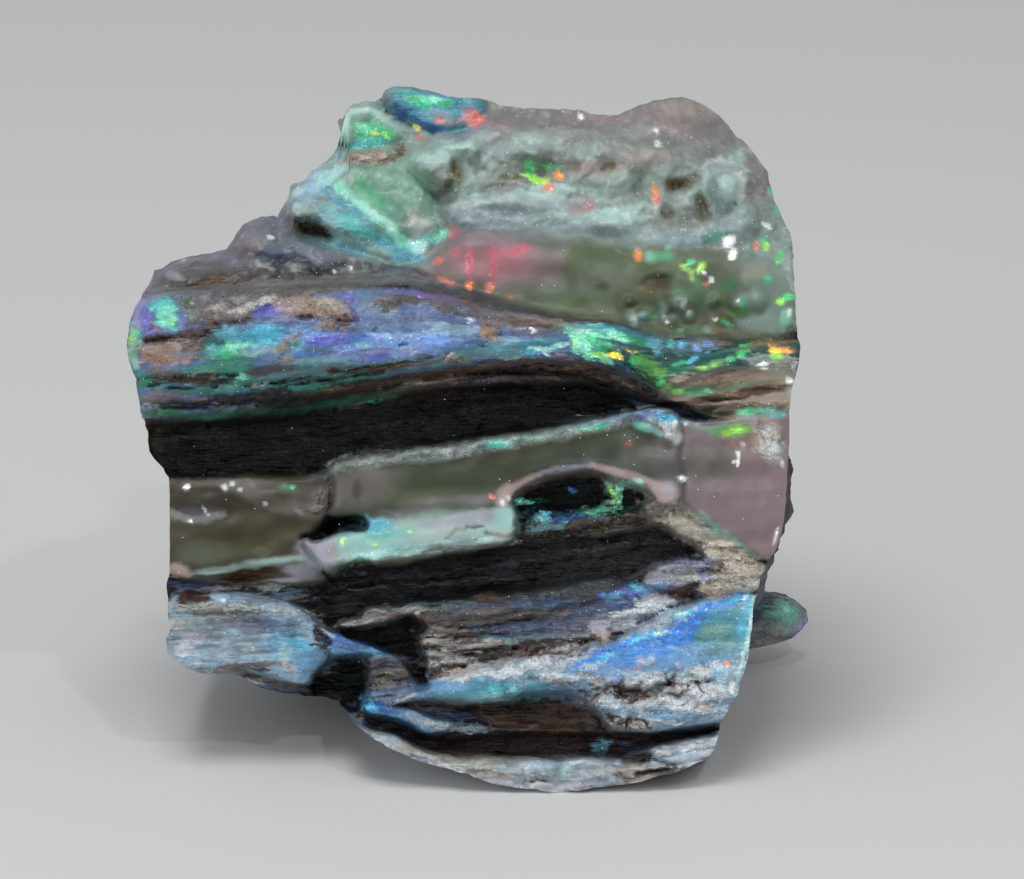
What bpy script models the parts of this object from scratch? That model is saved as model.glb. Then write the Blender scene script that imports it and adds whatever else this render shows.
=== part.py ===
"""Opalised wood specimen: one natural piece, with its grain along X and its carved face towards -Y.

The front is a relief over a plane that leans back by LEAN degrees. On that plane `across` runs along the
grain, `up` climbs the plane and `deep` goes into the stone. The tables below are in millimetres on it.
"""

import bmesh
import bpy
import numpy as np

MM = 0.001
LEAN = np.radians(18)
AXIS_ACROSS = 2.6  # the relief spreads with depth from this point of the plane
AXIS_UP = 19.1
SPREAD_DISTANCE = 460
LIFT = 0.5
CENTRE = (0.53, 14.32)  # what the finished stone is moved by, so that it stands over the origin

COLUMNS = 92
ROWS = 104
LAYERS = 24
TRIANGLES = 9400
BAND_SHARE = (0.09, 0.24, 0.16, 0.08, 0.15, 0.02, 0.26)  # of the rows, between one rail and the next

BACK_FOOT = 25.0
BACK_WAIST = 27.0
BACK_BROW = (25.2, 27.4)  # at the left and at the right
BACK_INSET = 0.9  # how much narrower the back is, on each side
FLAT_CENTRE = (3.5, 12.0)
FLAT_REACH = (10.5, 11.5)

RAILS = (
    (  # bottom edge
        (-16.0, 7.5, 6.5), (-15.1, 6.8, 6.2), (-14.3, 6.5, 6), (-12.1, 6.3, 6), (-10.9, 5.7, 6.2),
        (-9.7, 5.4, 6.5), (-7.8, 5.2, 7.0), (-6.8, 5.0, 7.0), (-6.4, 4.4, 4.6), (-6.1, 3.9, 3.8),
        (-5.6, 3.5, 3.2), (-4.8, 2.9, 2.8), (-4.0, 2.4, 2.6), (-2.4, 1.7, 2.2), (-1.3, 1.4, 2.0),
        (0.3, 1.0, 1.8), (0.9, 0.7, 1.6), (1.9, 0.4, 1.4), (3.6, 0.2, 1.2), (5.2, 0.0, 1.1),
        (7.4, 0.3, 1.3), (9.5, 0.6, 1.8), (11.7, 1.2, 2.6), (13.2, 1.9, 3.5),
    ),
    (  # ledge foot
        (-16.2, 8.3, 4.5), (-14.3, 7.7, 4.0), (-8.9, 6.5, 4.2), (-7.5, 6.4, 5.5), (-5.4, 5.5, 4.6),
        (-2.4, 3.8, 3.6), (0.9, 3.6, 3.5), (7.4, 3.6, 3.5), (10.6, 3.6, 2.2), (14.1, 4.2, 2.5),
    ),
    (  # slab foot
        (-16.2, 11.6, 4.2), (-11.6, 12.1, 4.2), (-7.8, 11.5, 4.5), (-6.4, 11.9, 4.5), (-2.4, 12.3, 4.5),
        (1.9, 13.2, 4.5), (7.4, 13.8, 4.5), (12.2, 14.5, 3.5), (16.0, 12.6, 2.2), (18.2, 11.8, 2.5),
    ),
    (  # slab brow
        (-16.2, 17.0, 4.5), (-7.8, 16.9, 5.0), (-6.7, 17.9, 5.0), (-3.5, 18.4, 5.0), (0.9, 19.1, 5.0),
        (5.2, 19.7, 5.0), (9.5, 20.7, 5.0), (12.8, 20.4, 4.5), (18.2, 21.0, 3.0),
    ),
    (  # ridge foot
        (-18.1, 20.4, 4.5), (-14.3, 20.3, 4.5), (-8.9, 21.1, 4.2), (-3.5, 22.3, 3.8), (1.9, 23.0, 3.6),
        (7.4, 22.8, 3.8), (10.6, 21.4, 3.8), (14.9, 21.5, 3.0), (18.2, 21.7, 2.6),
    ),
    (  # ridge crest
        (-18.1, 26.6, 4.0), (-16.4, 27.0, 4.5), (-9.4, 27.3, 4.5), (-3.5, 27.5, 4.5), (-0.8, 26.9, 4.3),
        (1.9, 26.3, 4.0), (5.2, 25.7, 3.6), (8.4, 25.5, 3.4), (10.6, 24.6, 3.2), (13.8, 24.5, 3.0),
        (18.2, 25.0, 3.0),
    ),
    (  # behind the crest
        (-17.5, 27.2, 7.0), (-12.6, 27.5, 8.0), (-6.7, 28.0, 8.0), (-3.5, 28.2, 8.0), (-0.8, 27.6, 7.0),
        (1.9, 26.9, 6.5), (5.2, 26.1, 6.0), (8.4, 25.8, 5.5), (12.8, 25.0, 4.5), (18.2, 25.7, 4.0),
    ),
    (  # top edge
        (-17.2, 27.2, 9.0), (-16.7, 28.2, 9.6), (-15.4, 28.9, 10.5), (-13.5, 29.2, 11),
        (-12.8, 29.4, 11), (-12.4, 30.0, 11.4), (-11.9, 30.8, 11.7), (-10.9, 31.2, 12.0),
        (-10.1, 31.1, 12.2), (-9.8, 31.7, 12.4), (-9.5, 32.1, 12.5), (-9.3, 32.9, 12.6),
        (-8.6, 33.2, 12.8), (-7.2, 34.3, 13.0), (-6.8, 34.8, 13.2), (-6.6, 36.9, 13.5),
        (-6.3, 37.2, 13.5), (-4.6, 37.4, 13.8), (-4.2, 38.0, 14), (-3.7, 38.2, 14.0), (-2.9, 38.2, 14),
        (-1.3, 37.8, 13.5), (-0.8, 37.6, 13.3), (1.1, 37.5, 13), (1.9, 37.2, 12.5), (3.3, 37.0, 12.2),
        (5.2, 37.0, 12), (6.3, 36.9, 12), (7.4, 36.6, 12.0), (8.0, 36.6, 12), (9.0, 37.0, 12.1),
        (10.1, 37.4, 12.3), (11.7, 37.6, 12.5), (12.5, 37.4, 12.4), (13.4, 36.9, 12.3),
        (14.1, 36.3, 12.1), (14.5, 35.7, 12.0), (15.2, 35.1, 11.6), (15.8, 34.4, 11.2),
        (16.4, 33.6, 10.6), (16.6, 32.3, 10.0),
    ),
)

LEFT_SIDE = (
    (-16.0, 7.5), (-16.1, 8.4), (-15.8, 8.9), (-16.0, 9.5), (-16.0, 10.4), (-16.0, 11.4), (-15.9, 11.7),
    (-15.9, 15.8), (-15.9, 17.0), (-16.4, 17.7), (-17.0, 18.4), (-17.1, 19.6), (-17.4, 20.3),
    (-17.6, 21.5), (-17.8, 22.5), (-18.1, 23.3), (-18.2, 24.2), (-18.1, 25.3), (-17.8, 26.2),
    (-17.5, 26.7), (-17.2, 27.2),
)
RIGHT_SIDE = (
    (13.2, 1.9), (13.5, 2.3), (13.7, 3.0), (13.9, 3.8), (14.4, 4.7), (14.8, 5.3), (15.1, 6.4),
    (15.4, 7.3), (15.5, 8.3), (15.6, 9.4), (15.7, 10.3), (15.9, 11.1), (16.1, 11.8), (16.4, 12.5),
    (16.8, 13.0), (17.1, 13.7), (17.3, 14.8), (17.4, 15.8), (17.5, 17.7), (17.6, 19.1), (17.6, 20.6),
    (17.7, 21.7), (17.9, 22.4), (18.1, 23.3), (18.2, 24.2), (18.0, 25.0), (17.9, 26.6), (17.8, 28.3),
    (17.8, 29.5), (17.4, 30.3), (17.0, 31.1), (16.6, 32.3),
)
RIGHT_SHOULDER = (
    (16.4, 33.6), (15.8, 34.4), (15.2, 35.1), (14.5, 35.7), (14.1, 36.3), (13.4, 36.9), (12.5, 37.4),
)

FEATURES = (
    ("black groove", 6.8, (0, 0.0), 0, 0.25, (
        (-17.4, 20.1), (-14.3, 19.9), (-11.0, 20.2), (-7.8, 20.8), (-4.5, 21.4), (-1.3, 22.1),
        (1.9, 22.5), (5.2, 22.7), (7.9, 22.6), (9.8, 21.8), (10.9, 21.2), (13.4, 21.1), (14.6, 21.0),
        (12.8, 20.5), (10.6, 20.5), (8.4, 20.7), (5.2, 19.9), (0.9, 19.3), (-3.5, 18.6), (-6.7, 18.1),
        (-7.6, 17.0), (-12.1, 17.0), (-17.0, 17.0),
    )),
    ("ridge", 1.5, (0, 0.0), 2.6, 0.2, (
        (-18.6, 24.2), (-18.3, 25.7), (-17.6, 26.6), (-16.4, 27.0), (-13.2, 27.2), (-9.9, 27.4),
        (-6.7, 27.5), (-3.5, 27.4), (-0.8, 26.8), (1.9, 26.2), (4.6, 25.6), (6.8, 25.3), (8.4, 24.8),
        (10.3, 23.8), (11.0, 22.5), (10.3, 21.7), (8.4, 22.6), (5.2, 23.2), (1.9, 23.0), (-1.3, 22.5),
        (-4.5, 21.8), (-7.8, 21.1), (-11.6, 20.5), (-15.4, 20.2), (-18.6, 20.2),
    )),
    ("green brow", 2.1, (0, 0.02), 0.9, 0.2, (
        (6.5, 25.0), (8.4, 25.4), (10.3, 24.5), (12.8, 23.8), (15.2, 24.2), (16.8, 24.7), (18.7, 24.2),
        (18.7, 22.1), (16.0, 22.6), (13.8, 22.0), (11.7, 21.5), (10.3, 21.7), (9.5, 22.8), (7.4, 23.8),
    )),
    ("pink brow", 2.7, (0, 0), 0.4, 0.2, (
        (10.3, 21.7), (12.2, 22.4), (14.9, 23.0), (18.7, 22.8), (18.7, 21.0), (16.0, 21.1),
        (12.8, 21.0), (11.0, 21.1),
    )),
    ("tan fan", 2.3, (0, 0.0), 0.3, 0.2, (
        (9.5, 15.6), (11.5, 15.9), (12.2, 15.8), (13.4, 14.6), (14.9, 13.4), (16.4, 12.4), (16.5, 11.0),
        (14.1, 10.6), (12.8, 10.2), (12.6, 11.0), (13.5, 12.3), (12.8, 13.2), (11.7, 14.2),
        (10.1, 14.3),
    )),
    ("right slab", 1.6, (0.06, 0), 0.35, 0.12, (
        (11.4, 20.2), (11.9, 20.1), (14.9, 20.2), (16.3, 20.5), (18.7, 20.8), (18.7, 19.1),
        (18.6, 16.6), (18.2, 14.8), (17.6, 13.4), (16.4, 12.4), (14.9, 13.4), (13.4, 14.6),
        (12.2, 15.4), (11.4, 15.8), (11.2, 17.0),
    )),
    ("slab", 1.0, (0, 0.0), 0.45, 0.1, (
        (-7.2, 17.4), (-6.9, 17.9), (-5.5, 18.1), (-3.5, 18.4), (-1.3, 18.6), (0.9, 19.0), (3.0, 19.4),
        (5.2, 19.7), (7.4, 20.2), (9.5, 20.6), (11.0, 20.5), (11.7, 19.9), (11.8, 18.5), (11.9, 17.0),
        (11.7, 15.6), (10.3, 15.2), (9.9, 15.9), (9.8, 16.9), (7.4, 17.5), (5.2, 17.4), (3.6, 16.9),
        (2.6, 16.0), (2.9, 15.2), (2.6, 14.2), (2.8, 13.7), (0.9, 13.2), (-1.3, 12.8), (-3.5, 12.3),
        (-5.1, 12.2), (-6.4, 12.2), (-7.2, 11.6), (-8.2, 12.5), (-9.0, 13.7), (-7.9, 13.8),
        (-6.9, 14.0), (-5.5, 14.2), (-5.3, 14.8), (-6.2, 15.4), (-6.8, 15.9),
    )),
    ("black wood", 4.9, (0, 0.0), 0, 0.2, (
        (-7.0, 11.3), (-6.4, 11.9), (-2.4, 12.3), (1.9, 13.2), (3.0, 13.6), (7.4, 13.9), (10.6, 14.3),
        (11.8, 14.1), (12.8, 13.2), (13.2, 12.6), (10.6, 12.5), (8.4, 11.6), (5.2, 11.3), (1.9, 10.9),
        (-1.3, 10.4), (-3.5, 10.2), (-5.4, 9.8), (-6.7, 9.0), (-7.2, 9.9), (-7.7, 10.9),
    )),
    ("prong", 2.9, (0, 0.1), 0.4, 0.12, (
        (9.5, 11.6), (11.0, 12.5), (12.8, 12.7), (13.6, 12.4), (13.2, 11.9), (12.8, 11.5), (11.1, 11.1),
        (10.1, 11.0),
    )),
    ("wide pocket", 5.6, (0, 0), 0, 0.15, (
        (2.6, 15.6), (3.5, 16.4), (5.2, 17.0), (6.3, 17.2), (7.5, 17.2), (7.8, 16.4), (8.0, 15.6),
        (7.4, 15.2), (6.3, 15.4), (5.3, 14.8), (4.1, 15.2), (3.5, 15.0), (3.0, 14.2), (2.7, 14.8),
    )),
    ("side pocket", 5.0, (0, 0), 0, 0.15, (
        (8.4, 15.8), (9.0, 16.6), (9.8, 16.5), (10.2, 15.8), (9.6, 15.3), (8.5, 15.0), (8.0, 14.8),
        (7.9, 15.3),
    )),
    ("small pocket", 5.0, (0, 0), 0, 0.12, (
        (-8.0, 13.8), (-7.4, 14.5), (-6.4, 15.0), (-5.6, 14.9), (-5.4, 14.3), (-6.1, 14.1),
        (-7.0, 14.0),
    )),
    ("low slab", 3.4, (0.02, 0), 0.5, 0.15, (
        (-16.4, 17.0), (-12.1, 17.0), (-7.7, 16.8), (-6.7, 15.8), (-6.9, 14.8), (-7.9, 13.8),
        (-9.0, 13.7), (-7.9, 12.3), (-7.2, 11.4), (-8.9, 11.2), (-11.0, 11.2), (-14.0, 11.4),
        (-16.4, 11.5),
    )),
    ("low block", 3.0, (0.03, -0.02), 1.1, 0.15, (
        (-16.4, 10.9), (-12.6, 10.9), (-8.9, 10.2), (-7.2, 8.9), (-7.0, 8.2), (-7.5, 7.1), (-8.3, 5.9),
        (-9.9, 6.1), (-12.1, 6.5), (-14.3, 6.1), (-16.4, 6.1),
    )),
    ("blue strip", 3.1, (0, 0), 0.3, 0.12, (
        (-9.1, 10.1), (-7.0, 8.6), (-3.5, 7.8), (-2.7, 7.1), (-3.7, 7.2), (-5.5, 7.4), (-7.4, 7.4),
        (-7.1, 8.1), (-7.9, 8.9),
    )),
    ("notch", 7.6, (0, 0), 0, 0.12, (
        (-7.8, 7.2), (-5.9, 7.4), (-5.3, 6.8), (-5.3, 5.5), (-5.7, 4.4), (-6.7, 4.2), (-7.7, 4.5),
        (-8.4, 5.5),
    )),
    ("cheek", 2.7, (-0.05, 0.05), 0.4, 0.15, (
        (-5.4, 7.4), (-3.5, 7.7), (-2.4, 6.8), (-1.8, 5.9), (-2.4, 5.4), (-3.7, 4.9), (-5.3, 4.9),
        (-5.2, 6.4),
    )),
    ("fibre steps", 2.7, (0, 0.32), 0.2, 0.15, (
        (-3.4, 10.1), (-1.3, 10.4), (1.9, 10.8), (5.2, 11.2), (8.4, 11.6), (10.6, 11.1), (13.6, 10.5),
        (12.8, 9.6), (9.5, 8.3), (7.4, 7.5), (5.2, 6.8), (1.9, 6.2), (-0.8, 5.8), (-2.1, 5.9),
        (-2.8, 6.9), (-1.8, 7.7), (-2.8, 8.3), (-1.8, 9.1), (-3.2, 9.6),
    )),
    ("blade", 3.2, (0, 0), 0.2, 0.1, (
        (-7.0, 9.1), (-6.4, 9.5), (-5.5, 9.5), (-5.2, 10.1), (-2.9, 10.1), (-2.2, 9.8), (-4.5, 9.3),
        (-6.4, 8.9),
    )),
    ("black wedge", 5.3, (0, 0), 0, 0.15, (
        (-6.4, 8.8), (-3.5, 9.3), (-2.7, 9.8), (-1.7, 9.0), (-2.6, 8.3), (-1.6, 7.7), (-2.4, 6.9),
        (-1.7, 6.0), (-2.5, 5.7), (-3.2, 7.2), (-5.1, 7.9), (-6.4, 8.3),
    )),
    ("crust", 1.0, (0.0, 0.13), 0.8, 0.15, (
        (-1.8, 5.9), (0.3, 6.8), (4.1, 7.5), (6.8, 8.2), (7.6, 7.9), (9.5, 8.9), (10.9, 9.9),
        (12.2, 10.3), (17.6, 11.0), (17.6, 8.3), (16.5, 5.6), (15.5, 3.7), (13.9, 3.9), (12.2, 3.6),
        (10.1, 3.1), (8.4, 3.1), (7.8, 3.7), (7.1, 4.7), (5.7, 5.2), (3.0, 5.5), (1.4, 4.6), (0.1, 4.9),
        (-1.3, 5.1), (-2.4, 5.0), (-4.5, 4.9), (-5.4, 5.0), (-3.7, 5.3),
    )),
    ("blue shelf", 2.1, (0, 0.05), 0.3, 0.12, (
        (-5.5, 5.0), (-3.7, 5.0), (-1.8, 4.2), (-0.1, 3.6), (-1.8, 3.1), (-2.6, 3.5), (-3.7, 4.2),
        (-5.5, 4.2),
    )),
    ("brown shelf", 3.3, (0, 0.1), 0.2, 0.15, (
        (0.2, 4.4), (1.9, 4.9), (5.2, 4.9), (6.8, 4.3), (7.7, 3.8), (7.4, 3.4), (4.1, 3.3), (1.4, 3.5),
    )),
    ("low recess", 4.3, (0, 0), 0, 0.2, (
        (-5.6, 4.1), (-3.7, 4.1), (-2.5, 3.4), (-1.8, 3.0), (0.9, 3.0), (4.1, 3.3), (7.4, 3.2),
        (8.0, 3.6), (9.5, 3.0), (12.8, 3.4), (14.9, 3.9), (14.6, 3.4), (12.8, 3.0), (10.6, 2.6),
        (9.8, 2.3), (7.4, 1.9), (3.0, 1.9), (-1.3, 2.2), (-2.4, 2.7), (-3.7, 3.2), (-5.5, 3.5),
    )),
    ("foot band", 1.3, (0, 0), 0.8, 0.15, (
        (-7.0, 4.9), (-5.9, 3.7), (-3.7, 3.1), (-2.4, 2.6), (-1.3, 2.1), (3.0, 1.8), (7.4, 1.9),
        (10.1, 1.4), (12.8, 1.9), (14.4, 2.3), (12.8, 0.2), (10.1, -0.4), (7.4, -0.9), (5.2, -0.9),
        (1.9, -0.6), (-1.3, 0.2), (-4.0, 1.2), (-6.7, 3.1),
    )),
    ("white lobe", 1.6, (0.05, 0), 0.5, 0.12, (
        (9.9, 2.3), (10.9, 2.6), (12.8, 3.1), (14.6, 3.5), (14.4, 2.6), (13.1, 1.9), (11.7, 1.5),
        (10.6, 1.6),
    )),
    ("jelly window", 6.4, (-0.04, 0.25), 0, 0.6, (
        (-1.8, 28.7), (-0.8, 30.5), (3.0, 31.2), (9.5, 30.1), (12.8, 29.2), (16.0, 29.4), (17.6, 28.2),
        (18.2, 24.9), (14.9, 24.7), (10.6, 24.6), (7.4, 25.6), (4.1, 25.9), (1.9, 26.4), (-0.8, 27.1),
    )),
    ("foam", 8.6, (0, 0.42), 0.8, 0.5, (
        (-2.9, 34.2), (-0.8, 35.5), (1.9, 36.2), (5.2, 35.8), (9.5, 35.7), (12.8, 34.3), (15.4, 33.9),
        (15.0, 31.8), (12.8, 30.3), (9.5, 30.3), (5.2, 31.3), (0.3, 31.6), (-1.7, 32.6),
    )),
    ("wing", 9.6, (0.0, 0.35), 0.9, 0.3, (
        (-9.7, 31.8), (-9.1, 33.1), (-6.7, 34.8), (-3.5, 33.9), (-1.3, 32.1), (-0.9, 30.2),
        (-2.1, 28.3), (-4.5, 28.6), (-7.2, 29.5), (-9.4, 30.3),
    )),
    ("brown pocket", 11.2, (0, 0), 0, 0.5, (
        (-9.2, 31.0), (-8.2, 30.9), (-6.9, 29.9), (-7.9, 29.7), (-9.0, 30.1),
    )),
    ("knob", 12.4, (0, 0.2), 1.0, 0.25, (
        (-7.0, 36.4), (-6.3, 37.5), (-4.8, 37.5), (-3.5, 36.4), (-2.8, 35.3), (-4.0, 34.8),
        (-6.2, 34.7), (-6.9, 35.5),
    )),
    ("tan pocket", 12.0, (0, 0.2), 0, 0.3, (
        (-6.4, 34.4), (-3.5, 34.9), (-3.0, 34.3), (-4.5, 33.8), (-6.2, 33.8),
    )),
    ("crest crystal", 12.2, (0, 0.2), 0.9, 0.25, (
        (-4.4, 37.6), (-4.0, 38.4), (-0.8, 37.9), (1.1, 37.5), (1.1, 36.1), (-0.5, 35.4), (-2.1, 35.7),
        (-3.5, 36.6),
    )),
)

LUMPS = (
    ("grey lump", (-10.9, 29.6), (1.8, 1.6), 2.0),
    ("grey lump", (-8.1, 29.1), (1.8, 1.1), 1.5),
    ("grey lump", (-14.8, 28.0), (1.8, 1.1), 1.4),
    ("grey lump", (-12.9, 28.2), (1.4, 0.9), 0.9),
    ("dome brow", (11.2, 35.6), (3.4, 2.2), 1.6),
    ("dome cheek", (15.2, 32.1), (1.8, 3.2), 1.2),
    ("foam lump", (13.9, 32.9), (1.3, 1.3), 1.3),
    ("foam pit", (11.6, 32.9), (0.8, 0.5), -1.3),
    ("foam pit", (12.9, 31.8), (0.5, 0.8), -1.1),
    ("foam pit", (11.0, 31.4), (0.4, 0.5), -1.0),
    ("foam pit", (-0.5, 33.4), (0.5, 1.1), -1.2),
    ("foam pit", (7.9, 33.9), (0.5, 0.4), -0.7),
    ("foam pit", (4.1, 33.6), (1.2, 0.5), -1.2),
    ("foam roll", (3.0, 32.2), (3.2, 0.5), 0.7),
    ("foam roll", (7.9, 30.9), (1.8, 0.8), 0.6),
    ("foam lump", (0.3, 34.8), (1.2, 0.8), 0.7),
    ("foam lump", (3.6, 34.8), (1.3, 0.8), 0.6),
    ("foam lump", (6.5, 34.2), (1.1, 0.9), 0.5),
    ("window lump", (11.1, 26.6), (1.4, 1.2), 0.6),
    ("window pit", (10.6, 27.6), (0.9, 0.5), -0.6),
    ("window lump", (12.2, 26.6), (0.9, 0.9), 0.5),
    ("window lump", (14.9, 27.2), (1.4, 1.4), 0.5),
    ("slab glass lump", (-14.0, 15.6), (1.6, 0.9), 0.6),
    ("slab glass lump", (-10.8, 16.1), (1.3, 0.6), 0.5),
    ("brown knot", (-14.7, 10.6), (1.0, 0.4), -0.8),
    ("brown knot", (-11.6, 11.7), (1.8, 0.4), -0.6),
    ("wing facet", (-5.6, 31.0), (3.2, 1.4), 0.8),
)

# centre (x, y, z), reach, how far the right side swells out
FOOT_LUMP = ((15.0, 23.4, 2.1), (3.2, 2.9, 1.9), 4.7)
FLANK_SWELL = ((16.5, 13.8, 11.6), (6.0, 6.0, 5.5), 1.9)


def ease(low, high, value):
    """0 below `low`, 1 above `high`, and a smooth rise between."""
    part = np.clip((value - low) / (high - low), 0, 1)
    return part * part * (3 - 2 * part)


def cell_values(cell, seed):
    """One fixed value from -1 to 1 for each whole-number cell."""
    key = cell[:, 0] * 73856093 ^ cell[:, 1] * 19349663 ^ cell[:, 2] * 83492791 ^ seed * 2654435
    key = (key ^ (key >> 13)) * 1274126177 & 0xFFFFFFFF
    key = (key ^ (key >> 16)) * 668265263 & 0xFFFFFFFF
    return (key >> 8 & 0xFFFF) / 32767.5 - 1


def noise(points, size, seed):
    """Smooth values from about -1 to 1, in lumps of `size` (one length or three)."""
    grid = points / np.asarray(size, float)
    cell = np.floor(grid).astype(np.int64)
    part = grid - cell
    part = part * part * (3 - 2 * part)
    total = np.zeros(len(points))
    for corner in range(8):
        step = np.array([corner >> axis & 1 for axis in range(3)])
        share = np.where(step, part, 1 - part).prod(axis=1)
        total += share * cell_values(cell + step, seed)
    return total


def rounded(outline):
    """The closed outline with its corners cut twice."""
    points = np.array(outline, float)
    for _ in range(2):
        following = np.roll(points, -1, axis=0)
        cut = np.stack([points * 0.75 + following * 0.25, points * 0.25 + following * 0.75], axis=1)
        points = cut.reshape(-1, 2)
    return points


def depth_inside(points, outline):
    """How far each point is inside the outline; negative outside."""
    corners = rounded(outline)
    near = np.full(len(points), np.inf)
    inside = np.zeros(len(points), bool)
    for start, end in zip(corners, np.roll(corners, -1, axis=0)):
        edge = end - start
        offset = points - start
        along = np.clip(offset @ edge / max(edge @ edge, 1e-9), 0, 1)
        near = np.minimum(near, np.hypot(*(offset - along[:, None] * edge).T))
        if start[1] != end[1]:
            crosses = (start[1] > points[:, 1]) != (end[1] > points[:, 1])
            inside ^= crosses & (offset[:, 0] < offset[:, 1] * edge[0] / edge[1])
    return np.where(inside, near, -near)


def loft(s, t):
    """across, up and deep on the bare rails, for each share s of the width and t of the height."""
    numbers = np.arange(len(RAILS))
    level = np.interp(t, np.cumsum((0, *BAND_SHARE)), numbers)
    left_up = np.interp(level, numbers, [rail[0][1] for rail in RAILS])
    right_up = np.interp(level, numbers, [rail[-1][1] for rail in RAILS])
    left = np.interp(left_up, *np.array(LEFT_SIDE).T[::-1])
    right = np.interp(right_up, *np.array(RIGHT_SIDE).T[::-1])
    up = np.zeros(len(s))
    deep = np.zeros(len(s))
    for number, rail in zip(numbers, RAILS):
        x, rail_up, rail_deep = np.array(rail).T
        along = x[0] + (x[-1] - x[0]) * s
        share = np.clip(1 - abs(level - number), 0, 1)
        up += share * np.interp(along, x, rail_up)
        deep += share * np.interp(along, x, rail_deep)
    return left + (right - left) * s, up, deep


def carve(across, up, deep):
    """The depth after every slab, step and hollow has been cut, in the order of FEATURES."""
    flat = np.stack([across, up, 0 * up], axis=1)
    wander = np.stack([noise(flat, 1.3, 1), noise(flat, 1.3, 2)], axis=1) * 0.22
    points = flat[:, :2] + wander
    for _, level, tilt, rim, soft, outline in FEATURES:
        corners = np.array(outline)
        low = corners.min(axis=0) - 1
        high = corners.max(axis=0) + 1
        near = np.flatnonzero(((points > low) & (points < high)).all(axis=1))
        inside = depth_inside(points[near], outline)
        face = level + (points[near] - corners.mean(axis=0)) @ tilt
        if rim:
            face += rim * (1 - np.sqrt(1 - np.clip(1 - inside / rim, 0, 1) ** 2))
        deep[near] += (face - deep[near]) * ease(-soft, soft, inside)
    for _, centre, reach, height in LUMPS:
        offset = np.hypot(*((points - centre) / reach).T)
        deep -= height * ease(1.3, 0, offset)
    return deep


def front(s, t):
    """x, y, z of the carved face."""
    across, up, deep = loft(s, t)
    deep = carve(across, up, deep)
    flat = np.stack([across, up, 0 * up], axis=1)
    deep += 0.22 * noise(flat, (4.0, 0.9, 1), 3) + 0.14 * noise(flat, 0.9, 4)
    spread = 1 + deep / SPREAD_DISTANCE
    x = AXIS_ACROSS + (across - AXIS_ACROSS) * spread
    up = AXIS_UP + (up - AXIS_UP) * spread
    y = deep * np.cos(LEAN) + up * np.sin(LEAN)
    z = up * np.cos(LEAN) - deep * np.sin(LEAN) + LIFT
    return np.stack([x, y, z], axis=1)


def bowl(x, y):
    """The height of the underside: flat under the middle of the stone, rising beyond it."""
    reach = np.hypot((x - FLAT_CENTRE[0]) / FLAT_REACH[0], (y - FLAT_CENTRE[1]) / FLAT_REACH[1])
    return np.clip(reach - 1, 0, None) * 4.5


def back(s, t, crest):
    """x, y, z of the rough back, under the crest at the same share of the width."""
    brow = BACK_BROW[0] + (BACK_BROW[1] - BACK_BROW[0]) * ease(0.2, 0.5, s)
    y = np.interp(t, (0, 0.25, 0.7), (0, 0.75, 1))
    y = BACK_FOOT + (BACK_WAIST - BACK_FOOT) * y
    y += (brow - y) * ease(0.7, 1, t)
    foot = 0.5 + bowl(s * 30 - 15, y)
    top = crest[:, 2] - 0.35 * (brow - crest[:, 1]) - 0.8
    z = foot + (top - foot) * t
    up = z * np.cos(LEAN) + y * np.sin(LEAN)
    left = np.interp(up, *np.array(LEFT_SIDE).T[::-1]) + BACK_INSET
    right = np.interp(up, *np.array(RIGHT_SIDE + RIGHT_SHOULDER).T[::-1]) - BACK_INSET
    points = np.stack([left + (right - left) * s, y, z], axis=1)
    rough = 0.7 * noise(points, (9, 9, 4), 5) + 0.5 * noise(points, (6, 6, 1.6), 6)
    rough += 0.2 * noise(points, 1.2, 7)
    points[:, 1] -= ease(1, 0.9, t) * (1.0 + rough)
    return points


def swell(points, share, centre, reach, height):
    """Pushes the right side out in a round lump, by `share` of its height."""
    distance = np.linalg.norm((points - centre) / reach, axis=1)
    points[:, 0] += height * share * np.sqrt(1 - np.clip(distance, 0, 1) ** 2)


def edge_of_front(s, height):
    """The front's lowest (0) or highest (1) edge at each share of the width."""
    samples = np.linspace(0, 1, 400)
    edge = front(samples, np.full(400, float(height)))
    return np.stack([np.interp(s, samples, values) for values in edge.T], axis=1)


def stone_points(s, r, t):
    """The finished position of each point of the unit box: s across, r from front to back, t up."""
    crest = edge_of_front(s, 1)
    points = back(s, t, crest)
    ahead = r < 1
    face = front(s[ahead], t[ahead])
    points[ahead] = face + (points[ahead] - face) * r[ahead, None]
    foot = edge_of_front(s, 0)
    foot_back = back(s, 0 * s, crest)
    base = foot + (foot_back - foot) * r[:, None]
    slope = foot[:, 2] - 0.97 * np.tan(LEAN) * (base[:, 1] - foot[:, 1])
    under = np.maximum(slope, bowl(base[:, 0], base[:, 1]) * ease(0, 0.18, r) + 0.5 * ease(0.85, 1, r))
    points[:, 2] += (under - base[:, 2]) * (1 - t) ** 4
    between = 4 * r * (1 - r)
    side = np.where(s == 1, 1.0, 0) - np.where(s == 0, 1.0, 0)
    rough = noise(points, (7, 7, 1.1), 8) + 0.6 * noise(points, (3, 3, 2), 9) + 0.4 * noise(points, 1.1, 10)
    points[:, 0] -= side * between * (0.6 + 0.4 * rough)
    points[:, 2] += np.where(t == 1, between * (0.4 * rough - 0.3), 0)
    swell(points, between * (s == 1), *FLANK_SWELL)
    swell(points, 1, *FOOT_LUMP)
    points[:, 2] = np.maximum(points[:, 2], 0)
    points[:, :2] -= CENTRE
    return points


def box_grid(columns, rows, layers):
    """A unit cube cut into a grid on every side."""
    grid = bmesh.new()
    bmesh.ops.create_cube(grid, size=1)
    for axis, cells in enumerate((columns, layers, rows)):
        whole = [line for line in grid.edges if abs(line.verts[0].co[axis] - line.verts[1].co[axis]) > 0.5]
        bmesh.ops.subdivide_edges(grid, edges=whole, cuts=cells - 1, use_grid_fill=True)
    return grid


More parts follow.
